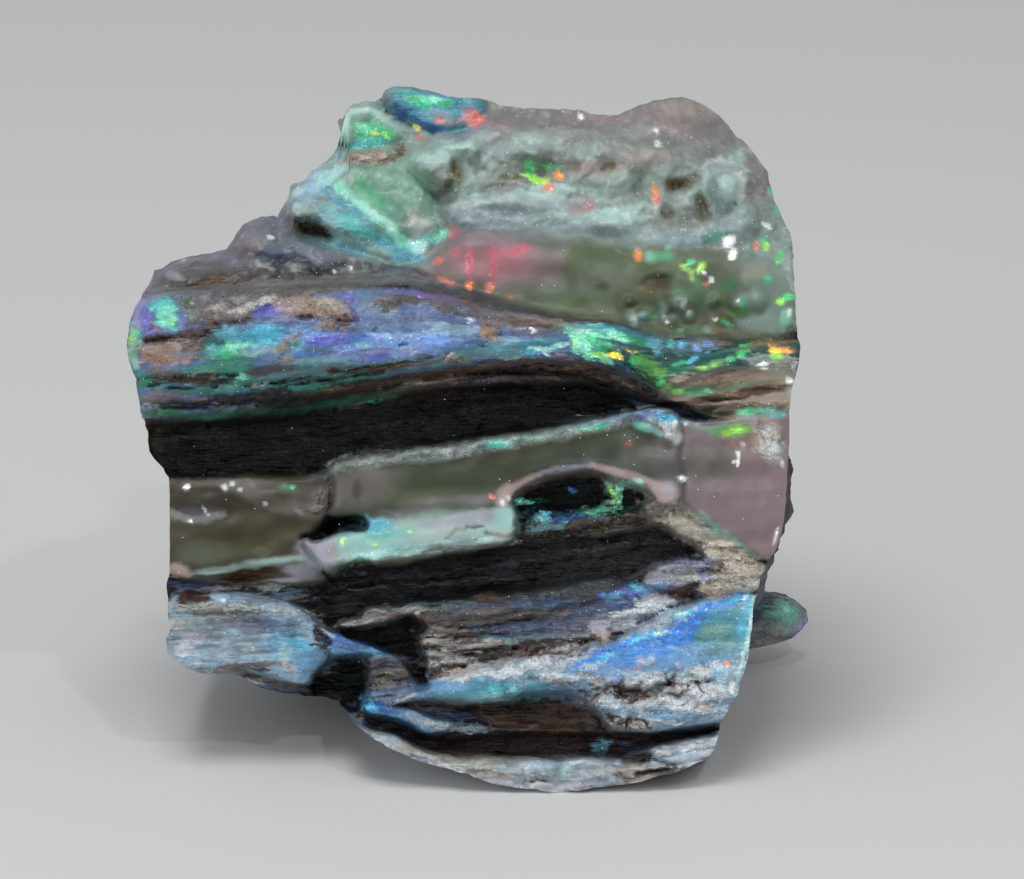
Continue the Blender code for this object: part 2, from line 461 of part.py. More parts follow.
def opal_material():
    material = bpy.data.materials.new("opal")
    material.use_nodes = True
    surface = material.node_tree.nodes["Principled BSDF"]
    surface.inputs["Base Color"].default_value = (0.42, 0.52, 0.58, 1)
    surface.inputs["Roughness"].default_value = 0.35
    surface.inputs["Metallic"].default_value = 0
    return material


def build_stone():
    grid = box_grid(COLUMNS, ROWS, LAYERS)
    shares = np.round(np.array([point.co for point in grid.verts], float) + 0.5, 6)
    places = stone_points(*shares.T) * MM
    for point, place in zip(grid.verts, places):
        point.co = place
    mesh = bpy.data.meshes.new("opal_specimen")
    grid.to_mesh(mesh)
    grid.free()
    mesh.materials.append(opal_material())
    stone = bpy.data.objects.new("opal_specimen", mesh)
    facets = stone.modifiers.new("facets", "DECIMATE")
    facets.ratio = TRIANGLES / (2 * len(mesh.polygons))
    facets.use_collapse_triangulate = True
    return stone


for leftover in list(bpy.data.objects):
    bpy.data.objects.remove(leftover)
specimen = bpy.data.collections.new("opal_specimen")
bpy.context.scene.collection.children.link(specimen)
specimen.objects.link(build_stone())
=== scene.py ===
# %% [markdown]
# # Opalised wood specimen
#
# This is a stone of wood that silica soaked through and turned to opal. Its grain runs from left to
# right. A blue and green ridge crosses it, a glassy slab hangs over a burnt-looking hollow, and a milky
# dome sits on top. The whole stone is one piece, so the lesson makes one mesh and puts the craft into its
# relief, its painted colours and its opal materials.
#
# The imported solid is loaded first. It fixes the place and the size of the stone, and the fine mesh made
# here stays inside its box.

import bmesh
import bpy
import numpy as np
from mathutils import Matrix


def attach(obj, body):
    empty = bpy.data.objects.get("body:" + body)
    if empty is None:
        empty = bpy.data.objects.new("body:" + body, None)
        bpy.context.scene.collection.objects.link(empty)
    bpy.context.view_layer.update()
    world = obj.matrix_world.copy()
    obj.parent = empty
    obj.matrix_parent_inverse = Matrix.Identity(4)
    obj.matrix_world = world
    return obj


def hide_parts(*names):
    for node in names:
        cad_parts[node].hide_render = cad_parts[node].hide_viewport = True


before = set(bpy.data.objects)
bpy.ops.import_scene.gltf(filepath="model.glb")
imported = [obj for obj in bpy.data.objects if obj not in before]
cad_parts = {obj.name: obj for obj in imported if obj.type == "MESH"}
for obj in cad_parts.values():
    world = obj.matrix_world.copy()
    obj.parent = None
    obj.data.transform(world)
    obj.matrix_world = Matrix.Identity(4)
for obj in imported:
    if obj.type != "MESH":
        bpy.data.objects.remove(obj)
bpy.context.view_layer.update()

# %% [markdown]
# ## The floor, the camera and the light
#
# A close-up from half a metre away has almost no perspective, so a long lens stands 460 mm off and looks
# down at 18 degrees. The front of the stone is a relief over a plane that leans back by the same angle,
# so the camera looks at it square on.
#
# The light is that of a small studio: a broad soft panel above, a weaker one at the left and a pale room
# around. One smaller lamp gives the wet-looking glints that tell glassy opal from dry crust.

# %% Floor, camera and lights
MM = 0.001
LEAN = np.radians(18)
# in millimetres: where the camera looks on the leaning plane, how far off it stands, and the stone's place
AXIS_ACROSS = 2.6
AXIS_UP = 19.1
SPREAD_DISTANCE = 460
LIFT = 0.5
CENTRE = (0.53, 14.32)
LENS = 299.2
# in metres
FLOOR_SIZE = 6.0
LAMP_TARGET = (0, 0, 0.015)
FLOOR_COLOUR = (0.72, 0.72, 0.71, 1)
ROOM_COLOUR = (0.95, 0.97, 1.0, 1)
ROOM_BRIGHTNESS = 0.38
# name, place in metres, size, watts
LAMPS = (
    ("top panel", (-0.05, -0.12, 0.42), 0.20, 0.78),
    ("left panel", (-0.30, -0.34, 0.16), 0.20, 0.34),
    ("glint lamp", (0.13, -0.26, 0.34), 0.02, 0.16),
)


def aim(thing, place, target):
    direction = np.array(target) - place
    thing.location = place
    thing.rotation_euler = (np.arctan2(np.hypot(direction[0], direction[1]), -direction[2]), 0,
                            np.arctan2(-direction[0], direction[1]))


def plain_material(name, colour, roughness):
    material = bpy.data.materials.new(name)
    material.use_nodes = True
    surface = material.node_tree.nodes["Principled BSDF"]
    surface.inputs["Base Color"].default_value = colour
    surface.inputs["Roughness"].default_value = roughness
    return material


bpy.ops.mesh.primitive_plane_add(size=FLOOR_SIZE)
floor = bpy.context.object
floor.name = "floor"
floor.data.materials.append(plain_material("pale floor", FLOOR_COLOUR, 0.9))

camera = bpy.data.objects.new("camera", bpy.data.cameras.new("camera"))
bpy.context.collection.objects.link(camera)
camera.data.lens = LENS
camera.data.clip_end = 10
camera.location = MM * np.array((
    AXIS_ACROSS - CENTRE[0],
    -SPREAD_DISTANCE * np.cos(LEAN) + AXIS_UP * np.sin(LEAN) - CENTRE[1],
    SPREAD_DISTANCE * np.sin(LEAN) + AXIS_UP * np.cos(LEAN) + LIFT,
))
camera.rotation_euler = (np.pi / 2 - LEAN, 0, 0)
bpy.context.scene.camera = camera

room = bpy.data.worlds.new("room")
room.use_nodes = True
room.node_tree.nodes["Background"].inputs["Color"].default_value = ROOM_COLOUR
room.node_tree.nodes["Background"].inputs["Strength"].default_value = ROOM_BRIGHTNESS
bpy.context.scene.world = room
for name, place, size, watts in LAMPS:
    lamp = bpy.data.objects.new(name, bpy.data.lights.new(name, "AREA"))
    lamp.data.energy = watts
    lamp.data.size = size
    bpy.context.collection.objects.link(lamp)
    aim(lamp, place, LAMP_TARGET)
bpy.context.scene.view_settings.view_transform = "Standard"
print("lamps:", ", ".join(name for name, *_ in LAMPS))

# %% [markdown]
# ## A grid to carve
#
# A sculptor could push this stone out of a block by hand. Here the block is a cube cut into a fine grid,
# and every point of it knows its share of the width, of the depth and of the height. Functions of those
# three shares then say where the point goes. That keeps the whole form adjustable, and a finer grid needs
# no new work: the same rails and outlines also shape the coarse solid.

# %% Grid and noise
COLUMNS = 262
ROWS = 296
LAYERS = 50


def box_grid(columns, rows, layers):
    """A unit cube cut into a grid on every side."""
    grid = bmesh.new()
    bmesh.ops.create_cube(grid, size=1)
    for axis, cells in enumerate((columns, layers, rows)):
        whole = [line for line in grid.edges if abs(line.verts[0].co[axis] - line.verts[1].co[axis]) > 0.5]
        bmesh.ops.subdivide_edges(grid, edges=whole, cuts=cells - 1, use_grid_fill=True)
    return grid


def ease(low, high, value):
    """0 below `low`, 1 above `high`, and a smooth rise between."""
    part = np.clip((value - low) / (high - low), 0, 1)
    return part * part * (3 - 2 * part)


def cell_values(cell, seed):
    """One fixed value from -1 to 1 for each whole-number cell."""
    key = cell[:, 0] * 73856093 ^ cell[:, 1] * 19349663 ^ cell[:, 2] * 83492791 ^ seed * 2654435
    key = (key ^ (key >> 13)) * 1274126177 & 0xFFFFFFFF
    key = (key ^ (key >> 16)) * 668265263 & 0xFFFFFFFF
    return (key >> 8 & 0xFFFF) / 32767.5 - 1


def noise(points, size, seed):
    """Smooth values from about -1 to 1, in lumps of `size` (one length or three)."""
    grid = points / np.asarray(size, float)
    cell = np.floor(grid).astype(np.int64)
    part = grid - cell
    part = part * part * (3 - 2 * part)
    total = np.zeros(len(points))
    for corner in range(8):
        step = np.array([corner >> axis & 1 for axis in range(3)])
        share = np.where(step, part, 1 - part).prod(axis=1)
        total += share * cell_values(cell + step, seed)
    return total


def mottle(points, size, seed):
    """Noise without a visible grid: two turned layers, still in lumps of `size`."""
    grid = points / np.asarray(size, float)
    turned = grid @ np.array(((0.80, -0.52, 0.30), (0.60, 0.69, -0.40), (0.0, 0.50, 0.87)))
    again = grid @ np.array(((0.36, 0.93, 0.07), (-0.86, 0.30, 0.41), (0.36, -0.21, 0.91))) * 1.37
    return 0.7 * noise(turned, 1, seed) + 0.6 * noise(again + 17.3, 1, seed + 100)


def grains(flat, size, seed):
    """Round grains scattered on the plane: the nearest one's middle, how far it is, and its own value."""
    size = np.ones(2) * size
    grid = flat[:, :2] / size
    cell = np.floor(grid).astype(np.int64)
    nearest = np.full(len(flat), np.inf)
    middle = np.zeros((len(flat), 2))
    value = np.zeros(len(flat))
    for step_across in (-1, 0, 1):
        for step_up in (-1, 0, 1):
            other = np.column_stack([cell + (step_across, step_up), 0 * cell[:, 0]])
            scatter = np.column_stack([cell_values(other, seed), cell_values(other, seed + 1)])
            place = other[:, :2] + 0.5 + 0.45 * scatter
            gap = np.hypot(*(grid - place).T)
            nearer = gap < nearest
            nearest[nearer] = gap[nearer]
            middle[nearer] = place[nearer]
            value[nearer] = cell_values(other, seed + 2)[nearer]
    return middle * size, np.clip(nearest, 0, 1), value


print("grid:", COLUMNS, "columns,", ROWS, "rows and", LAYERS, "layers")

# %% [markdown]
# ## The bare form: eight rails
#
# Eight rails cross the front from left to right, from the bottom edge to the crest. Each point of a rail
# gives how far across it is, how far up, and how deep in the stone, in millimetres. The surface between
# two rails is a straight blend, and the two side outlines say where each row begins and ends. Rails are
# quick to correct: moving one point bends the form only there.

# %% The rails
def read_points(points):
    """Points whose numbers are written with commas between them."""
    return np.array([point.split(",") for point in points], float)


BAND_SHARE = (0.09, 0.24, 0.16, 0.08, 0.15, 0.02, 0.26)  # of the rows, between one rail and the next
RAILS = [read_points(rail.split()) for rail in (
    # bottom edge
    """
    -16,7.5,6.5 -15.1,6.8,6.2 -14.3,6.5,6 -12.1,6.3,6 -10.9,5.7,6.2 -9.7,5.4,6.5 -7.8,5.2,7 -6.8,5,7
    -6.4,4.4,4.6 -6.1,3.9,3.8 -5.6,3.5,3.2 -4.8,2.9,2.8 -4,2.4,2.6 -2.4,1.7,2.2 -1.3,1.4,2 .3,1,1.8
    .9,.7,1.6 1.9,.4,1.4 3.6,.2,1.2 5.2,0,1.1 7.4,.3,1.3 9.5,.6,1.8 11.7,1.2,2.6 13.2,1.9,3.5""",
    # ledge foot
    """
    -16.2,8.3,4.5 -14.3,7.7,4 -8.9,6.5,4.2 -7.5,6.4,5.5 -5.4,5.5,4.6 -2.4,3.8,3.6 .9,3.6,3.5 7.4,3.6,3.5
    10.6,3.6,2.2 14.1,4.2,2.5""",
    # slab foot
    """
    -16.2,11.6,4.2 -11.6,12.1,4.2 -7.8,11.5,4.5 -6.4,11.9,4.5 -2.4,12.3,4.5 1.9,13.2,4.5 7.4,13.8,4.5
    12.2,14.5,3.5 16,12.6,2.2 18.2,11.8,2.5""",
    # slab brow
    """
    -16.2,17,4.5 -7.8,16.9,5 -6.7,17.9,5 -3.5,18.4,5 .9,19.1,5 5.2,19.7,5
    9.5,20.7,5 12.8,20.4,4.5 18.2,21,3""",
    # ridge foot
    """
    -18.1,20.4,4.5 -14.3,20.3,4.5 -8.9,21.1,4.2 -3.5,22.3,3.8 1.9,23,3.6 7.4,22.8,3.8 10.6,21.4,3.8
    14.9,21.5,3 18.2,21.7,2.6""",
    # ridge crest
    """
    -18.1,26.6,4 -16.4,27,4.5 -9.4,27.3,4.5 -3.5,27.5,4.5 -.8,26.9,4.3 1.9,26.3,4 5.2,25.7,3.6 8.4,25.5,3.4
    10.6,24.6,3.2 13.8,24.5,3 18.2,25,3""",
    # behind the crest
    """
    -17.5,27.2,7 -12.6,27.5,8 -6.7,28,8 -3.5,28.2,8 -.8,27.6,7 1.9,26.9,6.5 5.2,26.1,6 8.4,25.8,5.5
    12.8,25,4.5 18.2,25.7,4""",
    # top edge
    """
    -17.2,27.2,9 -16.7,28.2,9.6 -15.4,28.9,10.5 -13.5,29.2,11 -12.8,29.4,11 -12.4,30,11.4 -11.9,30.8,11.7
    -10.9,31.2,12 -10.1,31.1,12.2 -9.8,31.7,12.4 -9.5,32.1,12.5 -9.3,32.9,12.6 -8.6,33.2,12.8 -7.3,34.3,13
    -6.9,34.8,13.2 -6.6,35.8,13.35 -6.3,37,13.5 -6,37.3,13.5 -4.6,37.4,13.8 -4.2,38,14 -3.7,38.2,14
    -2.9,38.2,14 -1.3,37.8,13.5 -.8,37.6,13.3 1.1,37.5,13 1.9,37.2,12.5 3.3,37,12.2 5.2,37,12 6.3,36.9,12
    7.4,36.6,12 8,36.6,12 9,37,12.1 10.1,37.4,12.3 11.7,37.6,12.5 12.5,37.4,12.4 13.4,36.9,12.3
    14.1,36.3,12.1 14.5,35.7,12 15.2,35.1,11.6 15.8,34.4,11.2 16.4,33.6,10.6 16.6,32.3,10""",
)]
LEFT_SIDE = read_points("""
    -16,7.5 -16.1,8.4 -15.8,8.9 -16,9.5 -16,10.4 -16,11.4 -15.9,11.7 -15.9,15.8 -15.9,17 -16.4,17.7 -17,18.4
    -17.1,19.6 -17.4,20.3 -17.6,21.5 -17.8,22.5 -18.1,23.3 -18.2,24.2 -18.1,25.3 -17.8,26.2 -17.5,26.7
    -17.2,27.2""".split())
RIGHT_SIDE = read_points("""
    13.2,1.9 13.5,2.3 13.7,3 13.9,3.8 14.4,4.7 14.8,5.3 15.1,6.4 15.4,7.3 15.5,8.3 15.6,9.4 15.7,10.3
    15.9,11.1 16.1,11.8 16.4,12.5 16.8,13 17.1,13.7 17.3,14.8 17.4,15.8 17.5,17.7 17.6,19.1 17.6,20.6
    17.7,21.7 17.9,22.4 18.1,23.3 18.2,24.2 18,25 17.9,26.6 17.8,28.3
    17.8,29.5 17.4,30.3 17,31.1 16.6,32.3""".split())
RIGHT_SHOULDER = read_points("""
    16.4,33.6 15.8,34.4 15.2,35.1 14.5,35.7 14.1,36.3 13.4,36.9 12.5,37.4""".split())


def level_of(t):
    """The number of the rail that each share of the height lies at."""
    return np.interp(t, np.cumsum((0, *BAND_SHARE)), np.arange(len(RAILS)))


def loft(s, t):
    """across, up and deep on the bare rails, for each share s of the width and t of the height."""
    numbers = np.arange(len(RAILS))
    level = level_of(t)
    left_up = np.interp(level, numbers, [rail[0][1] for rail in RAILS])
    right_up = np.interp(level, numbers, [rail[-1][1] for rail in RAILS])
    left = np.interp(left_up, *LEFT_SIDE.T[::-1])
    right = np.interp(right_up, *RIGHT_SIDE.T[::-1])
    up = np.zeros(len(s))
    deep = np.zeros(len(s))
    for number, rail in zip(numbers, RAILS):
        x, rail_up, rail_deep = rail.T
        along = x[0] + (x[-1] - x[0]) * s
        share = np.clip(1 - abs(level - number), 0, 1)
        up += share * np.interp(along, x, rail_up)
        deep += share * np.interp(along, x, rail_deep)
    return left + (right - left) * s, up, deep


print("rails:", len(RAILS), "with", sum(len(rail) for rail in RAILS), "points")

# %% [markdown]
# ## Slabs, steps and hollows
#
# Opalised wood breaks into ledges. Each one here is an outline laid over the rails, with its depth, its
# tilt, how wide its rounded rim is and how soft its edge is. They are laid in order, as paper cut-outs
# would be, so a later one covers an earlier one. Every outline also names its finish and its ground
# colour, because on this stone the substance changes where the relief does: burnt wood in the hollows,
# glass on the slabs.
#
# The points of an outline are written as pairs, across and up. The lumps come last, to swell or dent what
# is there: each has its middle, half its width, half its height, and how far it stands out.

# %% Outlines of the features
def read_lumps(text):
    """The five numbers of each lump; lumps of one kind stand behind its name."""
    kinds = [line.split(":")[-1] for line in text.split(";")]
    return np.array([lump.split() for kind in kinds for lump in kind.split(",") if lump.strip()], float)


FEATURES = (
    ("black groove", "wood", "char", 6.8, (0, 0), 0, 0.25, """
        -17.4,20.1 -14.3,19.9 -11,20.2 -7.8,20.8 -4.5,21.4 -1.3,21.9 1.9,22.1 5.2,22.1 7.6,21.8 9.2,21.3
        10.7,21 13.4,21.1 14.6,21 12.8,20.5 10.6,20.5 8.4,20.7 5.2,19.9 .9,19.3 -3.5,18.6 -6.7,18.1 -7.6,17
        -12.1,17 -17,17"""),
    ("ridge", "fire", "denim", 1.5, (0, 0), 2.6, 0.2, """
        -18.6,24.2 -18.3,25.7 -17.6,26.6 -16.4,27 -13.2,27.2 -9.9,27.4 -6.7,27.5 -3.5,27.4 -.8,26.8 1.9,26.2
        4.6,25.6 6.8,25.3 8.4,24.8 10.3,23.8 11,22.5 10.3,21.7 8.4,22.6 5.2,23.2 1.9,23 -1.3,22.5 -4.5,21.8
        -7.8,21.1 -11.6,20.5 -15.4,20.2 -18.6,20.2"""),
    ("green brow", "fire", "pine", 2.1, (0, 0.02), 0.9, 0.2, """
        6.5,25 8.4,25.4 10.3,24.5 12.8,23.8 15.2,24.2 16.8,24.7 18.7,24.2 18.7,22.1 16,22.6 13.8,22
        11.7,21.5 10.3,21.7 9.5,22.8 7.4,23.8"""),
    ("pink brow", "jelly", "shell", 2.7, (0, 0), 0.4, 0.2, """
        10.3,21.7 12.2,22.4 14.9,23 18.7,22.8 18.7,20.4 16.3,20.3 14.6,20.2 13.4,20.4 12.2,20.7 11,21.1"""),
    ("tan fan", "fibre", "sand", 2.3, (0, 0), 0.3, 0.2, """
        9.5,15.6 11.5,15.9 12.2,15.8 13.4,14.6 14.9,13.4 16.4,12.4 16.5,11 14.1,10.6 12.8,10.2 12.6,11
        13.5,12.3 12.8,13.2 11.7,14.2 10.1,14.3"""),
    ("right slab", "jelly", "heather", 1.6, (0.06, 0), 0.35, 0.12, """
        11.4,20.2 11.9,20.1 14.9,20.2 16.3,20.5 18.7,20.8 18.7,19.1 18.6,16.6 18.2,14.8 17.6,13.4 16.4,12.4
        14.9,13.4 13.4,14.6 12.2,15.4 11.4,15.8 11.2,17"""),
    ("slab", "jelly", "jelly", 1.0, (0, 0), 0.45, 0.1, """
        -7.2,17.4 -6.9,17.9 -5.5,18.1 -3.5,18.4 -1.3,18.6 .9,19 3,19.4 5.2,19.7 7.4,20.3 8.7,20.7 9.8,20.9
        11,20.8 11.8,20.3 12,19.5 11.9,18.5 11.9,17 11.7,15.6 10.4,15.1 10.2,15.9 9.8,16.5 9.2,16.9 8.5,16.7
        8,17 7.6,17.3 6.7,17.5 5.7,17.4 4.8,17.1 4.1,16.8 3.5,16.5 2.7,16 2.9,15.4 3.1,14.8 2.9,13.7
        1.9,13.3 .5,13.1 -.8,13 -1.8,12.6 -2.6,12.3 -3.5,12.5 -4.2,12.4 -4.8,12.1 -5.4,12.5 -6.4,12.3
        -7.2,11.6 -8.2,12.5 -9,13.7 -7.9,13.8 -6.9,14 -5.6,14.2 -5.2,14.6 -5.8,15 -6.8,14.9 -7.4,15.1
        -7.2,15.9"""),
    ("black wood", "wood", "coal", 4.9, (0, 0), 0, 0.2, """
        -7,11.3 -6.4,11.9 -2.4,12.3 1.9,13.2 3,13.6 7.4,13.9 10.6,14.3 11.8,14.1 12.8,13.2 13.2,12.6
        10.6,12.5 8.4,11.6 5.2,11.3 1.9,10.9 -1.3,10.4 -3.5,10.2 -5.4,9.8 -6.7,9 -7.2,9.9 -7.7,10.9"""),
    ("prong", "fibre", "pearl", 2.9, (0, 0.1), 0.4, 0.12, """
        9.5,11.6 11,12.5 12.8,12.7 13.6,12.4 13.2,11.9 12.8,11.5 11.1,11.1 10.1,11"""),
    ("wide pocket", "wood", "ink", 5.6, (0, 0), 0, 0.15, """
        2.8,15.8 3.7,16.4 4.8,17 5.7,17.2 6.6,17.3 7.4,17.2 7.8,16.6 7.8,15.8 7.4,15.4 6.7,15.5 5.9,15.4
        5.6,15 5,15.2 4.1,15.4 3.6,15.2 3.4,14.5 2.9,14.4 3,15.2"""),
    ("side pocket", "wood", "ink", 5.0, (0, 0), 0, 0.15, """
        8.5,15.8 8.6,16.4 9.2,16.6 9.8,16.4 10.1,15.8 9.5,15.4 9,15.2 8.4,14.9 8.1,15.1"""),
    ("low slab", "jelly", "khaki", 3.4, (-0.03, 0), 0.4, 0.15, """
        -16.4,17 -12.1,17 -8.9,17.1 -7.2,17.2 -6.9,16.6 -6.9,15.6 -7.4,14.9 -8,14.1 -9,13.7 -7.9,12.3
        -7.2,11.4 -8.9,11.2 -11,11.2 -14,11.4 -16.4,11.5"""),
    ("small pocket", "wood", "ink", 5.4, (0, 0), 0, 0.12, """
        -8.5,13.6 -8,14.1 -7.4,14.6 -6.7,14.9 -6.1,15 -5.4,14.8 -5.6,14.4 -6.4,14.2 -7.1,13.9 -7.9,13.7"""),
    ("low block", "fire", "mist", 3.0, (0.03, -0.02), 1.1, 0.15, """
        -16.4,10.9 -12.6,10.9 -8.9,10.2 -7.2,8.9 -7,8.2 -7.5,7.1 -8.3,5.9 -9.9,6.1 -12.1,6.5 -14.3,6.1
        -16.4,6.1"""),
    ("blue strip", "fire", "azure", 3.1, (0, 0), 0.3, 0.12, """
        -9.1,10.1 -7,8.6 -3.5,7.8 -2.7,7.1 -3.7,7.2 -5.5,7.4 -7.4,7.4 -7.1,8.1 -7.9,8.9"""),
    ("notch", "wood", "fir", 7.6, (0, 0), 0, 0.12, """
        -7.8,7.2 -5.9,7.4 -5.3,6.8 -5.3,5.5 -5.7,4.4 -6.7,4.2 -7.7,4.5 -8.4,5.5"""),
    ("cheek", "fibre", "flint", 2.7, (-0.05, 0.05), 0.4, 0.15, """
        -5.4,7.4 -3.5,7.7 -2.4,6.8 -1.8,5.9 -2.4,5.4 -3.7,4.9 -5.3,4.9 -5.2,6.4"""),
    ("fibre steps", "fibre", "flint", 2.7, (0, 0.32), 0.2, 0.15, """
        -3.4,10.1 -1.3,10.4 1.9,10.8 5.2,11.2 8.4,11.6 10.6,11.1 13.6,10.5 12.8,9.6 9.5,8.3 7.4,7.5 5.2,6.8
        1.9,6.2 -.8,5.8 -2.1,5.9 -2.8,6.9 -1.8,7.7 -2.8,8.3 -1.8,9.1 -3.2,9.6"""),
    ("blade", "fibre", "pebble", 3.2, (0, 0), 0.2, 0.1, """
        -7,9.1 -6.4,9.5 -5.5,9.5 -5.2,10.1 -2.9,10.1 -2.2,9.8 -4.5,9.3 -6.4,8.9"""),
    ("black wedge", "wood", "ink", 5.3, (0, 0), 0, 0.1, """
        -6.8,8.9 -5.5,9 -4.3,9.4 -3,9.8 -2.2,9.2 -2.7,8.7 -2.1,8.3 -2.5,7.7 -1.9,7.2 -2.2,6.5 -1.8,5.9
        -2.5,5.6 -3,6.3 -3.5,7.3 -4.9,7.9 -6.4,8.4"""),
    ("crust", "crust", "rime", 1.0, (0, 0.13), 0.8, 0.15, """
        -1.8,5.9 .3,6.8 4.1,7.5 6.8,8.2 7.6,7.9 9.5,8.9 10.9,9.9 12.2,10.3 17.6,11 17.6,8.3 16.5,5.6
        15.5,3.7 13.9,3.9 12.2,3.6 10.1,3.1 8.4,3.1 7.8,3.7 7.1,4.7 5.7,5.2 3,5.5 1.4,4.6 .1,4.9 -1.3,5.1
        -2.4,5 -4.5,4.9 -5.4,5 -3.7,5.3"""),
    ("blue shelf", "fire", "sky", 2.1, (0, 0.05), 0.3, 0.12, """
        -5.5,5 -3.7,5 -1.8,4.2 -.1,3.6 -1.8,3.1 -2.6,3.5 -3.7,4.2 -5.5,4.2"""),
    ("brown shelf", "wood", "bark", 3.3, (0, 0.1), 0.2, 0.15, """
        .2,4.4 1.9,4.9 5.2,4.9 6.8,4.3 7.7,3.8 7.4,3.4 4.1,3.3 1.4,3.5"""),
    ("low recess", "wood", "umber", 4.3, (0, 0), 0, 0.2, """
        -5.6,4.1 -3.7,4.1 -2.5,3.4 -1.8,3 .9,3 4.1,3.3 7.4,3.2 8,3.6 9.5,3 12.8,3.4 14.9,3.9 14.6,3.4 12.8,3
        10.6,2.6 9.8,2.3 7.4,1.9 3,1.9 -1.3,2.2 -2.4,2.7 -3.7,3.2 -5.5,3.5"""),
    ("foot band", "fire", "frost", 1.3, (0, 0), 0.8, 0.15, """
        -7,4.9 -5.9,3.7 -3.7,3.1 -2.4,2.6 -1.3,2.1 3,1.8 7.4,1.9 10.1,1.4 12.8,1.9 14.4,2.3 12.8,.2 10.1,-.4
        7.4,-.9 5.2,-.9 1.9,-.6 -1.3,.2 -4,1.2 -6.7,3.1"""),
    ("white lobe", "fire", "frost", 1.6, (0.05, 0), 0.5, 0.12, """
        9.9,2.3 10.9,2.6 12.8,3.1 14.6,3.5 14.4,2.6 13.1,1.9 11.7,1.5 10.6,1.6"""),
    ("jelly window", "jelly", "sage", 6.4, (-0.04, 0.25), 0, 1.3, """
        -1.8,28.7 -.8,30.5 3,31.2 9.5,30.1 12.8,29.2 16,29.4 17.6,28.2 18.2,24.9 14.9,24.7 10.6,24.6
        7.4,25.6 4.1,25.9 1.9,26.4 -.8,27.1"""),
    ("milky band", "foam", "skim", 7.5, (0, 0.5), 0, 0.6, """
        -1.3,32.5 .9,32.7 4.6,32.7 7.4,31.9 12.8,31.2 15.6,32.1 16.1,30.7 13.8,29.6 9.5,29.9 5.2,30.5
        1.4,30.5 -.9,30.1"""),
    ("foam", "foam", "milk", 8.5, (0, 0.42), 0.8, 0.7, """
        -2.9,34.2 -.8,35.5 1.9,36.2 5.2,35.8 9.5,35.7 12.8,34.3 15.4,33.9 15,31.8 12.8,30.4 9.5,30.6
        7.4,31.5 5.2,32.2 1.9,32.4 .1,32.3 -1.7,32.7"""),
    ("wing", "foam", "brine", 9.6, (0, 0.35), 0.9, 0.3, """
        -9.7,31.8 -9.1,33.1 -6.7,34.8 -3.5,33.9 -1.3,32.1 -.9,30.2 -2.1,28.3
        -4.5,28.6 -7.2,29.5 -9.4,30.3"""),
    ("brown pocket", "wood", "peat", 11.2, (0, 0), 0, 0.5, """
        -9.2,31 -8.2,30.9 -6.9,29.9 -7.9,29.7 -9,30.1"""),
    ("knob", "foam", "celery", 12.4, (0, 0.2), 1, 0.25, """
        -7,36.4 -6.3,37.5 -4.8,37.5 -3.5,36.4 -2.8,35.3 -4,34.8 -6.2,34.7 -6.9,35.5"""),
    ("tan pocket", "crust", "sand", 12.0, (0, 0.2), 0, 0.3, """
        -6.4,34.4 -3.5,34.9 -3,34.3 -4.5,33.8 -6.2,33.8"""),
    ("crest crystal", "fire", "lagoon", 12.2, (0, 0.2), 0.9, 0.25, """
        -4.4,37.6 -4,38.4 -.8,37.9 1.1,37.5 1.1,36.1 -.5,35.4 -2.1,35.7 -3.5,36.6"""),
)

LUMPS = read_lumps("""
grey lump: -10.9 29.6 1.8 1.6 2, -8.1 29.1 1.8 1.1 1.5, -14.8 28 1.8 1.1 1.4, -12.9 28.2 1.4 .9 .9;
dome brow: 11.2 35.6 3.4 2.2 1.6;
dome cheek: 15.2 32.1 1.8 3.2 1.2;
foam lump: 13.9 32.9 1.3 1.3 1.3, 8 33.1 1.2 .8 .5, 9.5 34.2 1.1 .6 .5, .3 34.8 1.2 .8 .7,
  3.6 34.8 1.3 .8 .6, 6.5 34.2 1.1 .9 .5;
foam pit: 11.6 32.9 .8 .5 -.6, 12.9 31.8 .5 .8 -.5, 11 31.4 .4 .5 -.5, -.5 33.4 .5 1.1 -.7,
  7.9 33.9 .5 .4 -.4, 4.1 33.6 1.2 .5 -1.2;
foam roll: 2.9 31.9 2.7 .5 .5, 8 30.6 1.6 .6 .6;
window lump: 11.1 26.6 1.4 1.2 .6, 12.2 26.6 .9 .9 .5, 14.9 27.2 1.4 1.4 .5;
window pit: 10.6 27.6 .9 .5 -.6;
slab glass lump: -14 15.6 1.6 .9 .6, -10.8 16.1 1.3 .6 .5;
brown knot: -14.7 10.6 1 .4 -.8, -11.6 11.7 1.8 .4 -.6;
wing facet: -5.6 31 3.2 1.4 .8;
rim knob: -6.4 17.8 .6 .4 .4, -4.3 18.1 .5 .3 .3, -2.2 18.4 .6 .3 .35, -.6 18.7 .4 .4 .45, 1 18.9 .6 .3 .35,
  3.1 19.2 .8 .3 .4, 5.3 19.6 .5 .3 .3, 7.2 20.1 .6 .4 .4;
end knob: 9 20.5 .6 .4 .6, 10.4 20.6 .8 .5 .6, 11.4 19.9 .5 .5 .6, 9.8 19.8 .5 .4 .5, 11 19.1 .5 .4 .4;
bubble: 9.7 25.7 .5 .4 .5, 11 25.2 .5 .4 .5, 12.2 25.7 .5 .5 .5, 13.1 25 .4 .4 .45, 14.2 25.5 .5 .5 .5,
  15 26.3 .5 .5 .4, 16 26.6 .5 .5 .4, 13.6 26.6 .4 .4 .4, 9 26.5 .4 .4 .35;
""")
print("outlines:", len(FEATURES), "and lumps:", len(LUMPS))

# %% [markdown]
# ## Colours by name
#
# A maker mixes a palette before painting. These are the opal's own hues, in everyday red, green and blue
# from 0 to 255, and the shader works with their linear values.

